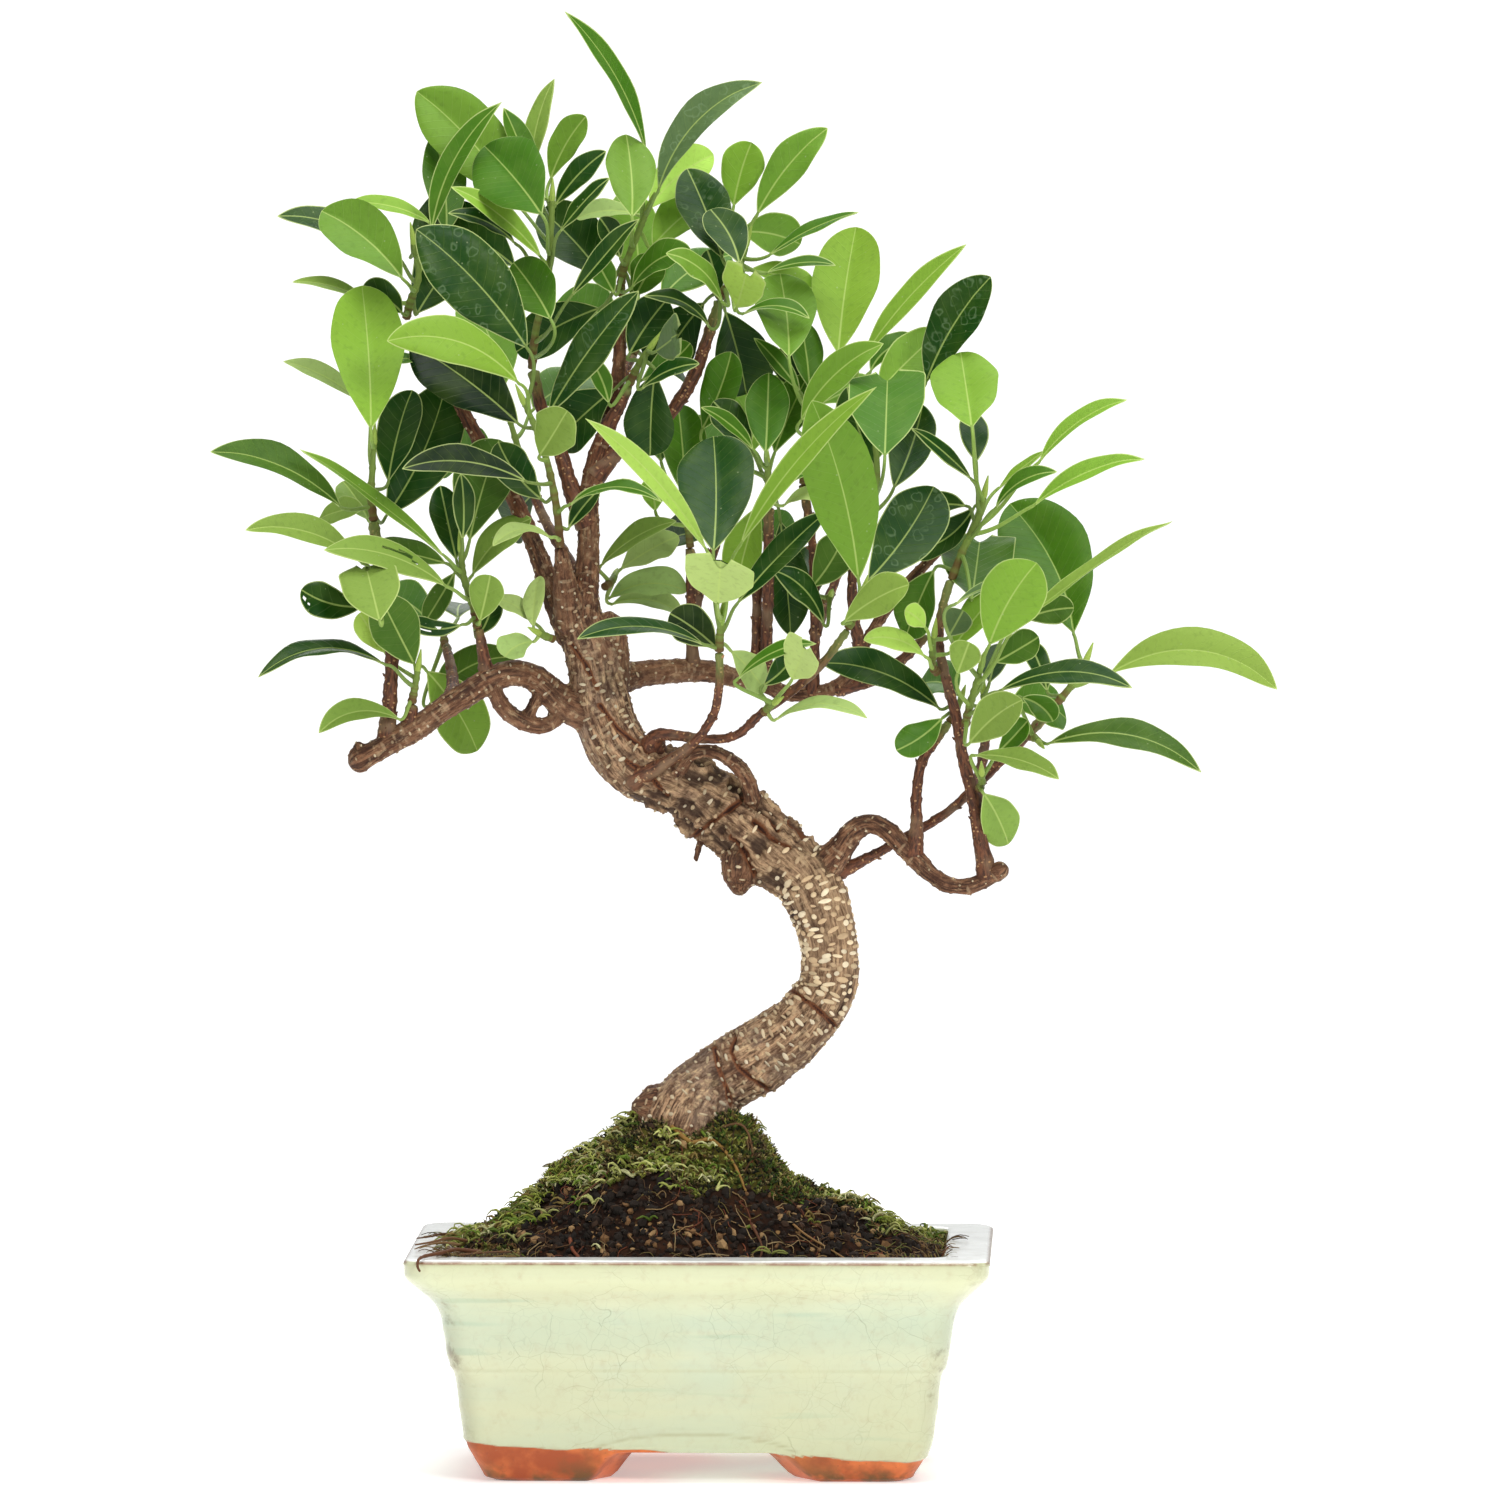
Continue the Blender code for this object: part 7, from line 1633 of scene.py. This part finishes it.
         (1, (101, 24, 270), (104, 40, 284), 10, 15, 0, "dark"))),
    "shoot_column_side": (
        ((83, -19, 273.5), (81.5, -22, 276), (81.5, -25, 281), (82, -28, 286)),
        ((0.2, (79, -30, 279), (58, -40, 285), 9, 40, 4, "lime"),
         (0.5, (88, -20, 281), (105, -14, 303), 12, 30, 1, "young"),
         (0.6, (79, -32, 289), (72, -38, 295), 8, 20, 1, "lime"),
         (1, (87, -30, 286), (92, -34, 295), 10, 10, 0, "painted_sheen"))),
    "shoot_right_heart": (
        ((92.8, -22.3, 255.5), (94, -26, 261), (96, -29, 268), (98, -31, 275)),
        ((0.08, (94, -40, 249), (112, -64, 264), 14, 15, 2, "matte"),
         (0.22, (104, -44, 267), (150, -58, 269), 11, 50, 7, "dark"),
         (0.38, (90, -38, 273), (94, -44, 284), 11, 10, 0, "matte"),
         (0.5, (103, -30, 277), (118, -34, 286), 11, 15, 0, "olive"),
         (0.62, (113, -16, 292), (130, -20, 296), 10, 20, 1, "olive"),
         (0.74, (112, -46, 291), (163, -66, 327), 9, 60, 2, "matte"),
         (0.86, (89, -50, 297), (120, -62, 303), 7, 60, 5, "painted_sheen"),
         (1, (101, -42, 283), (117, -66, 311), 21, 5, 2, "young"))),
    "shoot_right_bottom": (
        ((97.5, -23, 233.5), (98.5, -27, 235.5), (98.5, -31, 238.5)),
        ((0.2, (99, -14, 232), (108, 6, 214), 14, 10, 1, "matte"),
         (0.6, (96, -38, 245), (125, -54, 237), 10, 45, 4, "matte"),
         (1, (104, -34, 246), (114, -40, 257), 9, 20, 0, "mid"))),
    "shoot_right_inner": (
        ((87.4, -9, 256.8), (89.5, -6, 260), (91, -2, 264)),
        ((0.4, (85, -18, 258), (69, -24, 247), 12, 20, -1, "mid"),
         (1, (84, -6, 261), (43, -14, 277), 14, 40, 6, "dark"))),
    "shoot_long_twig": (
        ((124.5, -11, 263.3), (128, -11, 267.5), (132, -11, 272.5), (134, -10, 277)),
        ((0.15, (121, -4, 267), (114, 0, 285), 8, 20, 1, "dark"),
         (0.45, (142, -16, 273), (200, -22, 269), 17, 40, 13, "matte"),
         (1, (130, -4, 287), (108, 32, 332), 30, 5, 5, "mid"))),
    "shoot_twig_side": (
        ((114.5, -13, 251.5), (117, -17, 251), (118, -20, 250)),
        ((0.4, (112, -24, 265), (123, -28, 257), 9, 25, 2, "mid"),
         (1, (121, -24, 249), (174, -34, 240), 13, 40, 9, "olive"))),
    "shoot_left_riser": (
        ((-2, 17.6, 316.9), (-3, 15, 324), (-6, 12, 331)),
        ((0.5, (-14, 8, 329), (-15, 4, 341), 9, 10, 0, "young"),
         (0.5, (-4, 19, 334), (-6, 26, 366), 17, 25, 1, "mid"),
         (1, (-12, 10, 346), (-17, 36, 368), 15, 15, 1, "mid"))),
    "shoot_rear_left": (
        ((-58.3, 48.8, 340.8), (-61, 54, 350), (-64, 58, 360)),
        ((0.2, (-54, 60, 336), (-64, 92, 322), 20, 40, 3, "dark"),
         (0.45, (-70, 62, 348), (-88, 92, 346), 20, 45, 4, "mid"),
         (0.7, (-56, 68, 364), (-36, 98, 376), 20, 40, 3, "mid"),
         (1, (-66, 64, 372), (-78, 80, 404), 21, 30, 2, "fresh"))),
    "shoot_rear_high": (
        ((-21.7, 40.8, 382.6), (-20, 47, 388), (-19, 54, 395)),
        ((0.2, (-16, 56, 382), (-4, 92, 376), 20, 45, 4, "dark"),
         (0.5, (-28, 58, 392), (-48, 86, 402), 19, 40, 3, "mid"),
         (0.75, (-12, 60, 402), (12, 82, 418), 18, 35, 3, "mid"),
         (1, (-20, 60, 406), (-24, 74, 440), 19, 20, 2, "fresh"))),
    "shoot_rear_mid": (
        ((8.4, 50.8, 320.6), (11, 57, 327), (13, 62, 335)),
        ((0.2, (4, 62, 320), (-14, 92, 316), 20, 45, 4, "dark"),
         (0.45, (18, 66, 322), (36, 96, 314), 20, 45, 4, "mid"),
         (0.7, (8, 70, 344), (-4, 94, 362), 20, 35, 3, "mid"),
         (1, (18, 68, 348), (28, 84, 376), 20, 25, 2, "fresh"))),
    "shoot_rear_right": (
        ((52.4, 52.8, 316.8), (55, 58, 324), (57, 62, 333)),
        ((0.2, (48, 64, 314), (40, 96, 300), 19, 45, 4, "dark"),
         (0.45, (64, 66, 324), (84, 92, 320), 20, 45, 4, "mid"),
         (0.7, (52, 70, 342), (42, 96, 356), 19, 35, 3, "dark"),
         (1, (62, 66, 346), (72, 80, 374), 20, 25, 2, "mid"))),
}

# Leaves with a habit of their own: (shoot, number of the leaf)
SPECIAL = {
    ("shoot_dark_riser", 1): {"heart": 0.12, "fold": 0.12},
    ("shoot_right_column", 1): {"heart": 0.1, "fold": 0.12},
    ("shoot_heart", 7): {"heart": 0.3, "fold": 0.22},
    ("shoot_crown_right", 4): {"heart": 0.3, "fold": 0.1},
    ("shoot_core_mid", 6): {"heart": 0.34, "fold": 0.2},
    ("shoot_front_low", 2): {"heart": 0.18, "fold": 0.12},
    ("shoot_left_side", 2): {"heart": 0.12, "fold": 0.12},
    ("shoot_core_left", 9): {"marks": 1.0, "fold": 0.16},
    ("shoot_core_left", 6): {"marks": 0.6},
    ("shoot_front_twig", 1): {"marks": 1.0, "fold": 0.14},
    ("shoot_dark_riser", 4): {"marks": 1.0},
    ("shoot_right_column", 6): {"marks": 0.5},
    ("shoot_crown_right", 8): {"marks": 0.6},
    ("shoot_crown_mid", 11): {"marks": 1.0},
    ("shoot_left_top", 4): {"marks": 0.5},
    ("shoot_branch", 3): {"holes": ((0.42, -0.45, 2, 2), (0.47, -0.3, 2, 1), (0.36, -0.2, 1, 1))},
    ("shoot_branch", 1): {"holes": ((0.5, 0.25, 3, 2), (0.42, -0.2, 2, 2))},
    ("shoot_left_side", 1): {"holes": ((0.78, 0.3, 2, 2), (0.7, 0.55, 1, 1))},
}


# ---------------------------------------------------------------- leafy shoots

LEAF_ROWS = 26
LEAF_HALF = 7             # grid columns on each side of the midrib
LEAF_THICKNESS = 0.42
BARE = (0.0, 0.0, 90.0)   # blade value of stems and stalks, which have no half width
PETIOLE_RADIUS = 0.72
STEM_RADIUS = 1.5
BUD = ((-0.8, 0.9), (1.0, 1.15), (3.0, 1.0), (5.5, 0.6), (7.6, 0.22))  # (reach past the stem, radius)

# Leaf tones: colour of the side that faces the front, colour of its other side, gloss
TONES = {
    "lime": ((182, 218, 96), (184, 218, 118), 0.4),
    "young": ((134, 176, 56), (160, 202, 84), 0.5),
    "fresh": ((112, 154, 48), (142, 182, 84), 0.6),
    "mid": ((70, 118, 20), (132, 162, 84), 0.75),
    "olive": ((72, 108, 30), (126, 150, 84), 0.6),
    "matte": ((138, 170, 72), (56, 92, 40), 0.15),
    "pale": ((186, 212, 124), (60, 98, 40), 0.2),
    # tone of dark leaves with a grey-green painted sheen in their front colour
    "painted_sheen": ((96, 124, 76), (122, 148, 86), 0.9),
    "dark": ((22, 66, 8), (118, 146, 78), 1.0),
    "deep": ((6, 36, 4), (112, 138, 78), 1.0),
}
UNDERSIDE_UP = ("pale", "matte")     # tones of leaves that show their underside to the front
UPPER_GLOSS = 0.9
UNDER_GLOSS = 0.15


def outline(t, slim):
    """Half width along a blade, full and round on broad leaves and pointed on slim ones."""
    rise = 1.0 + 0.04 * slim
    fall = 0.54 + 0.42 * slim
    peak = rise / (rise + fall)
    top = peak ** rise * (1.0 - peak) ** fall
    return np.maximum(t ** rise * (1.0 - t) ** fall / top, 0.015)


def cad_slide(tip, finder):
    """Move along the line of sight that the leaf made in the CAD model."""
    slides = [3.0 * step for step in range(-14, 15)]
    return min(slides, key=lambda slide: finder.find(Vector(put(place(tip[0], tip[1] + slide, tip[2]))))[2])


def grow_leaf(shells, start, outward, leaf, slide, rng, extra):
    """One leaf: a tapering stalk, then a thin folded blade with two sides."""
    _, base, tip, width, tilt, arch, tone = leaf
    root = place(base[0], base[1] + slide, base[2])
    run = place(tip[0], tip[1] + slide, tip[2]) - root
    length = run.length
    along = run.normalized()
    face = (Vector((0.0, -1.0, 0.0)) + along * along.y).normalized()
    side = face.cross(along)
    if side.z > 0.0:
        side.negate()
    angle = math.radians(tilt)
    normal = np.array((face * math.cos(angle) - side * math.sin(angle)).normalized())

    # midrib with its arch, and the axes along it
    t = np.linspace(0.0, 1.0, LEAF_ROWS + 1)
    t = t - 0.1 * np.sin(TURN * t)
    middle = np.array(root) + np.outer(t, run) + np.outer(4.0 * t * (1.0 - t), -side * arch * 0.88)
    middle += np.outer(4.0 * rng.uniform(-0.02, 0.015) * length * t * (1.0 - t), normal)
    middle -= np.outer(rng.uniform(0.0, 0.03) * length * ramp(t, 0.72, 1.0) ** 2, normal)
    ahead = unit(np.gradient(middle, axis=0))
    up = unit(normal - ahead * (ahead @ normal)[:, None])
    across = np.cross(up, ahead)

    # half width, fold at the midrib, curled and rippled rim, twist
    slim = float(np.clip((0.55 - width / length) / 0.35, 0.0, 1.0)) + rng.uniform(-0.12, 0.12)
    shape = outline(t, slim) * (1.0 + 0.02 * np.sin(t * 17.0 + rng.uniform(0.0, TURN)))
    if "heart" in extra:
        shape = np.maximum(outline(t, 0.0), ramp(t, 0.3, 0.75) * np.cos(ramp(t, 0.86, 1.0) * 1.25))
    half = 0.53 * width * shape
    v = np.linspace(-1.0, 1.0, 2 * LEAF_HALF + 1)
    grid_v, grid_w = np.meshgrid(np.sign(v) * np.abs(v) ** 0.9, half)
    fold = rng.uniform(0.14, 0.36)
    fold = extra.get("fold", fold)
    rise = fold * (np.abs(grid_v) - 0.5) - rng.uniform(-0.05, 0.16) * grid_v ** 4
    phase = rng.uniform(0.0, TURN, 2)
    depth = rng.uniform(0.15, 0.75)
    ripple = depth * np.sin(TURN * rng.uniform(1.2, 2.4) * t[:, None] + np.where(grid_v > 0.0, *phase))
    height = rise * grid_w + ripple * grid_v ** 2 * np.minimum(grid_w / 6.0, 1.0)
    spread = grid_w * grid_v * (1.0 - 0.5 * fold * fold)
    back = extra.get("heart", 0.0) * length * ramp(t, 0.8, 1.0)[:, None] * (1.0 - np.abs(grid_v) ** 1.6)
    height += np.sin(rng.uniform(-0.22, 0.22) * t[:, None]) * spread
    surface = (middle[:, None, :] + across[:, None, :] * spread[:, :, None]
               + up[:, None, :] * height[:, :, None] - ahead[:, None, :] * back[:, :, None])

    rims = ramp(t, 0.0, 0.03)[:, None] * ramp(1.0 - t, 0.0, 0.03)[:, None]
    lean = LEAF_THICKNESS * (1.0 - grid_v ** 6) * rims
    rib = 0.35 * bell(spread, 0.0, 0.55) * (1.0 - 0.8 * t[:, None])
    upper = surface + up[:, None, :] * (0.3 * lean - 0.25 * rib)[:, :, None]
    lower = surface - up[:, None, :] * (0.7 * lean + rib)[:, :, None]
    blade = np.stack(np.broadcast_arrays(spread, (t * length)[:, None], grid_w), axis=-1)
    add_blade(shells, upper, lower, blade, tone, extra, rng)

    reach = (root - start).length
    first = start + outward * reach * 0.4
    second = root - along * reach * 0.3
    stalk = []
    steps = max(6, int(reach / 1.6))
    for k in range(steps + 1):
        s = k / steps
        spot = (start * (1.0 - s) ** 3 + first * 3.0 * s * (1.0 - s) ** 2
                + second * 3.0 * s * s * (1.0 - s) + root * s ** 3)
        stalk.append((spot, PETIOLE_RADIUS * (1.35 - 0.55 * s ** 0.4)))
    stalk.append((Vector(middle[2]), 0.42))
    tint = 0.35 * np.array(linear(*TONES[tone][0])) + 0.65 * np.array(linear(158, 182, 98))
    shells.bar(stalk, 8, tint=tint, blade=BARE, leaf=(0.0, rng.uniform(), 0.5))


def add_blade(shells, upper, lower, blade, tone, extra, rng):
    """Two grids that share their rim; holes are walled where they go through."""
    rows, cols = blade.shape[:2]
    top = np.arange(rows * cols).reshape(rows, cols)
    inner = np.zeros((rows, cols), dtype=bool)
    inner[1:-1, 1:-1] = True
    low = top.copy()
    low[inner] = rows * cols + np.arange(inner.sum())
    cells = np.ones((rows - 1, cols - 1), dtype=bool)
    for hole_t, hole_v, hole_rows, hole_cols in extra.get("holes", ()):
        i = int(hole_t * (rows - 1))
        j = int((hole_v + 1.0) * 0.5 * (cols - 1))
        cells[i:i + hole_rows, j:j + hole_cols] = False
    faces = [np.stack([top[:-1, :-1], top[:-1, 1:], top[1:, 1:], top[1:, :-1]], axis=-1)[cells],
             np.stack([low[:-1, :-1], low[1:, :-1], low[1:, 1:], low[:-1, 1:]], axis=-1)[cells]]
    walls = []
    for i, j in np.argwhere(~cells):
        corners = ((i, j), (i, j + 1), (i + 1, j + 1), (i + 1, j), (i, j))
        for a, b, (di, dj) in zip(corners, corners[1:], ((-1, 0), (0, 1), (1, 0), (0, -1))):
            if cells[i + di, j + dj]:
                walls.append((top[b], top[a], low[a], low[b]))
    if walls:
        faces.append(np.array(walls))
    front, behind, gloss = TONES[tone]
    sizes = (rows * cols, int(inner.sum()))
    tints = palette((front, behind)) * (1.0 + rng.normal(0.0, 0.045))
    tints[:, 0] *= 1.0 + rng.normal(0.0, 0.03)
    tints[:, 3] = 1.0
    shine = np.repeat((gloss, UPPER_GLOSS if tone in UNDERSIDE_UP else UNDER_GLOSS), sizes)
    marks = np.full(len(shine), extra.get("marks", 0.0))
    seed = np.full(len(shine), rng.uniform())
    shells.add(np.concatenate([upper.reshape(-1, 3), lower[inner]]), faces,
               tint=np.repeat(np.clip(tints, 0.0, 1.0), sizes, axis=0),
               blade=np.concatenate([blade.reshape(-1, 3), blade[inner]]),
               leaf=np.column_stack([marks, seed, shine]))


def stem_stations(stem, leaves):
    """Places on a green stem where its leaves start, as in the CAD model."""
    spots = [spot for spot, _ in smooth_path([(place(*point), STEM_RADIUS) for point in stem], 4)]
    lengths = run_lengths(spots)
    total = sum(lengths)

    def sample(run):
        for a, b, length in zip(spots, spots[1:], lengths):
            if run <= length:
                return a.lerp(b, run / length)
            run -= length
        return spots[-1].copy()

    half = min(0.8, 0.35 * total / (len(leaves) + 1.0))
    position = 0.0
    starts = []
    for i, leaf in enumerate(leaves):
        room_after = (len(leaves) - i - 1) * 2.6 * half
        wanted = max(leaf[0] * total, position + 1.3 * half + 0.3)
        position = min(wanted, total - room_after - 1.3 * half)
        starts.append((sample(position), position))
        position += 1.3 * half
    return spots, total, starts


def build_shoot(number, name, stem, leaves, material):
    rng = np.random.default_rng(500 + number)
    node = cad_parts[name].data
    finder = KDTree(len(node.vertices))
    for i, vert in enumerate(node.vertices):
        finder.insert(vert.co, i)
    finder.balance()
    spots, total, starts = stem_stations(stem, leaves)
    shells = Shells()
    green_from = 0.65 if number % 3 else 0.43
    path = []
    greens = []
    fine = smooth_path([(spot, 0.0) for spot in spots], 3)
    for k, (spot, _) in enumerate(fine):
        share = k / (len(fine) - 1)
        radius = STEM_RADIUS - 0.62 * share
        for _, run in starts:
            radius += 0.3 * bell(share * total, run, 0.7)
        path.append((spot, radius))
        greens.append(ramp(share + 0.2 * rng.uniform(-1.0, 1.0), 0.05, green_from))
    greens = np.array(greens)[:, None]
    tints = np.array(linear(112, 80, 50)) * (1.0 - greens) + np.array(linear(126, 148, 70)) * greens
    tints = np.concatenate([np.repeat(tints, 10, axis=0), [tints[0], tints[-1]]])
    shells.bar(path, 10, tint=tints, blade=BARE, leaf=(0.0, 0.3, 0.4))
    direction = (spots[-1] - spots[-2]).normalized()
    bud = [(spots[-1] + direction * reach, radius) for reach, radius in BUD]
    shells.bar(bud, 8, tint=linear(172, 196, 92), blade=BARE, leaf=(0.0, 0.5, 0.5))
    axis = (spots[-1] - spots[0]).normalized()
    for i, (leaf, (start, _)) in enumerate(zip(leaves, starts)):
        slide = cad_slide(leaf[2], finder)
        outward = (place(leaf[1][0], leaf[1][1] + slide, leaf[1][2]) - start).normalized()
        outward = (outward - axis * outward.dot(axis) * 0.5).normalized()
        grow_leaf(shells, start + outward * 0.4, outward, leaf, slide, rng, SPECIAL.get((name, i), {}))
    mesh = shells.mesh(name)
    mesh.set_sharp_from_angle(angle=math.radians(42.0))
    show(name + "_leaves", mesh, material, "foliage", name)


def leaf_material():
    mat = Mat("fig_leaf", Specular_IOR_Level=0.2)
    where = mat.place
    tint = mat.value("tint", "Color")
    across, along, half = mat.parts(mat.value("blade", "Vector"))
    marks, _, shine = mat.parts(mat.value("leaf", "Vector"))
    off = mat.math("ABSOLUTE", across)
    is_blade = mat.math("LESS_THAN", half, 60.0)
    patch = mat.noise(where, 85.0)
    colour = mat.paint(tint, mat.step(patch, 0.35, 0.7), mat.mix(0.5, tint, (150, 180, 80)), 0.2)
    mottle = mat.noise(where, 520.0)
    colour = mat.paint(colour, mat.step(mottle, 0.5, 0.75), (34, 58, 20), 0.16)
    # side veins leave the midrib at a steep slant and fade near the rim
    wave = mat.madd(patch, 2.0, mat.math("SUBTRACT", along, mat.times(off, 0.75)))
    vein = mat.times(mat.step(mat.math("PINGPONG", wave, 1.9), 0.24, 0.0), mat.step(half, 3.0, 6.0))
    vein = mat.times(vein, is_blade)
    colour = mat.paint(colour, vein, (178, 202, 116), 0.09)
    rib_width = mat.madd(along, -0.004, 0.34)
    rib = mat.times(mat.step(mat.math("SUBTRACT", off, rib_width), 0.14, -0.14), is_blade)
    colour = mat.paint(colour, rib, (196, 218, 122), 0.6)
    # pale rim of the blade: partly its own pale margin, partly a painted highlight along the edge
    rim_and_highlight = mat.times(mat.step(mat.math("SUBTRACT", half, off), 0.62, 0.3), is_blade)
    colour = mat.paint(colour, rim_and_highlight, (208, 224, 142), 0.7)
    # dried water rings on old leaves, and small pale specks on all
    drop, _ = mat.cells(mat.warped(where, 200.0, 0.004), 230.0)
    ring = mat.step(mat.math("ABSOLUTE", mat.math("SUBTRACT", drop, 0.36)), 0.1, 0.0)
    ring = mat.times(mat.times(ring, mat.step(mat.noise(where, 110.0), 0.38, 0.55)), marks)
    colour = mat.paint(colour, ring, (168, 196, 150), 0.2)
    dot, chance = mat.cells(where, 420.0)
    speck = mat.times(mat.step(dot, 0.16, 0.1), mat.step(chance[2], 0.86, 0.9))
    colour = mat.paint(colour, speck, (176, 190, 140), 0.4)
    rough = mat.madd(mottle, 0.12, mat.madd(shine, -0.28, 0.6))
    material = mat.finish(colour, mat.madd(ring, 0.2, rough))
    relief = mat.madd(vein, -0.5, mat.times(mottle, 0.5))
    normal = mat.bump(mat.madd(mat.noise(where, 180.0, 2.0), 0.8, relief), 0.35, 0.0004)
    # light that comes through the blade
    glow = mat.node("ShaderNodeBsdfTranslucent")
    mat.plug(glow.inputs["Color"], mat.mix(0.1, colour, (180, 220, 50)))
    mat.plug(glow.inputs["Normal"], normal)
    blend = mat.node("ShaderNodeMixShader")
    for socket, value in zip(blend.inputs, (0.22, mat.shader.outputs[0], glow.outputs[0])):
        mat.plug(socket, value)
    mat.plug(mat.tree.nodes["Material Output"].inputs["Surface"], blend.outputs[0])
    return material


# ---------------------------------------------------------------- screens, floor, light and camera

WHITE = (1.0, 1.0, 1.0, 1.0)
FLOOR_HALF = 1.15
SURROUND_LIGHT = 0.24     # strength of the room on the object
SURROUND_SEEN = 1.15      # strength of the white backdrop behind it
GLOSSY_SHARE = 0.4        # how much of the backdrop shows in reflections
VIEW_EYE = (0.1258, -4.776, 0.509)
VIEW_AIM = (0.0014, -0.003, 0.2482)
VIEW_WIDTH = 0.5168       # width seen at the distance of the plant
SENSOR = 36.0

# Lamps: place, place lit, size, power, all in metres and watts
LAMPS = {
    "overhead": ((0.1, -0.3, 2.2), (0.0, 0.0, 0.25), (2.0, 1.6), 50.0),
    "front_right": ((1.3, -2.3, 1.5), (0.0, 0.0, 0.25), (0.7, 0.7), 34.0),
    "front_left": ((-1.9, -2.1, 1.0), (0.0, 0.0, 0.25), (1.2, 1.2), 9.0),
    "behind": ((0.2, 2.3, 1.7), (0.0, 0.0, 0.3), (2.0, 1.2), 24.0),
}


def dress_screens():
    """Material of the netting over the drain holes, which stays as it was modelled."""
    mat = Mat("netting", Specular_IOR_Level=0.4)
    grain = mat.noise(mat.place, 500.0)
    mat.bump(grain, 0.3, 0.0002)
    material = mat.finish(mat.mix(grain, (24, 24, 24), (52, 52, 48)), mat.madd(grain, 0.2, 0.5))
    for name in ("drain_screen_left", "drain_screen_right"):
        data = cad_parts[name].data
        data.materials.clear()
        data.materials.append(material)


def build_floor():
    mesh = bpy.data.meshes.new("floor")
    corners = [(x * FLOOR_HALF, y * FLOOR_HALF, 0.0) for x, y in ((-1, -1), (1, -1), (1, 1), (-1, 1))]
    mesh.from_pydata(corners, [], [(0, 1, 2, 3)])
    mat = Mat("floor_white", Specular_IOR_Level=0.1, Emission_Strength=0.4, Emission_Color=WHITE)
    shade = mat.noise(mat.place, 3.0, 2.0)
    mesh.materials.append(mat.finish(mat.mix(shade, (0.9, 0.9, 0.9, 1.0), (0.92, 0.92, 0.92, 1.0)), 0.9))
    add_object("floor", mesh)


def aim_at(thing, eye, aim):
    thing.location = eye
    thing.rotation_euler = (Vector(aim) - Vector(eye)).to_track_quat("-Z", "Y").to_euler()


def build_light():
    world = bpy.data.worlds.new("studio")
    world.use_nodes = True
    tree = world.node_tree
    soft = tree.nodes["Background"]
    white = tree.nodes.new("ShaderNodeBackground")
    for shader, strength in ((soft, SURROUND_LIGHT), (white, SURROUND_SEEN)):
        shader.inputs["Color"].default_value = WHITE
        shader.inputs["Strength"].default_value = strength
    path = tree.nodes.new("ShaderNodeLightPath")
    blend = tree.nodes.new("ShaderNodeMixShader")
    seen = tree.nodes.new("ShaderNodeMath")
    seen.operation = "MULTIPLY_ADD"
    seen.use_clamp = True
    seen.inputs[1].default_value = GLOSSY_SHARE
    for source, socket in ((path.outputs["Is Glossy Ray"], seen.inputs[0]),
                           (path.outputs["Is Camera Ray"], seen.inputs[2]),
                           (seen.outputs[0], blend.inputs[0]), (soft.outputs[0], blend.inputs[1]),
                           (white.outputs[0], blend.inputs[2]),
                           (blend.outputs[0], tree.nodes["World Output"].inputs["Surface"])):
        tree.links.new(source, socket)
    bpy.context.scene.world = world
    for name, (eye, aim, size, power) in LAMPS.items():
        data = bpy.data.lights.new(name, "AREA")
        data.shape = "RECTANGLE"
        data.size, data.size_y = size
        data.energy = power
        aim_at(add_object(name, data), eye, aim)


def build_camera():
    data = bpy.data.cameras.new("camera")
    data.sensor_width = SENSOR
    data.lens = SENSOR * (Vector(VIEW_AIM) - Vector(VIEW_EYE)).length / VIEW_WIDTH
    data.clip_end = 30.0
    camera = add_object("camera", data)
    aim_at(camera, VIEW_EYE, VIEW_AIM)
    bpy.context.scene.camera = camera
    bpy.context.scene.view_settings.view_transform = "Standard"


build_pot()
build_soil()
build_moss()
build_grit()
build_sprigs()
build_fibres()
build_roots()
build_wood()
leaf_look = leaf_material()
for shoot_number, (shoot, (shoot_stem, shoot_leaves)) in enumerate(SHOOTS.items()):
    build_shoot(shoot_number, shoot, shoot_stem, shoot_leaves, leaf_look)
dress_screens()
build_floor()
build_light()
build_camera()
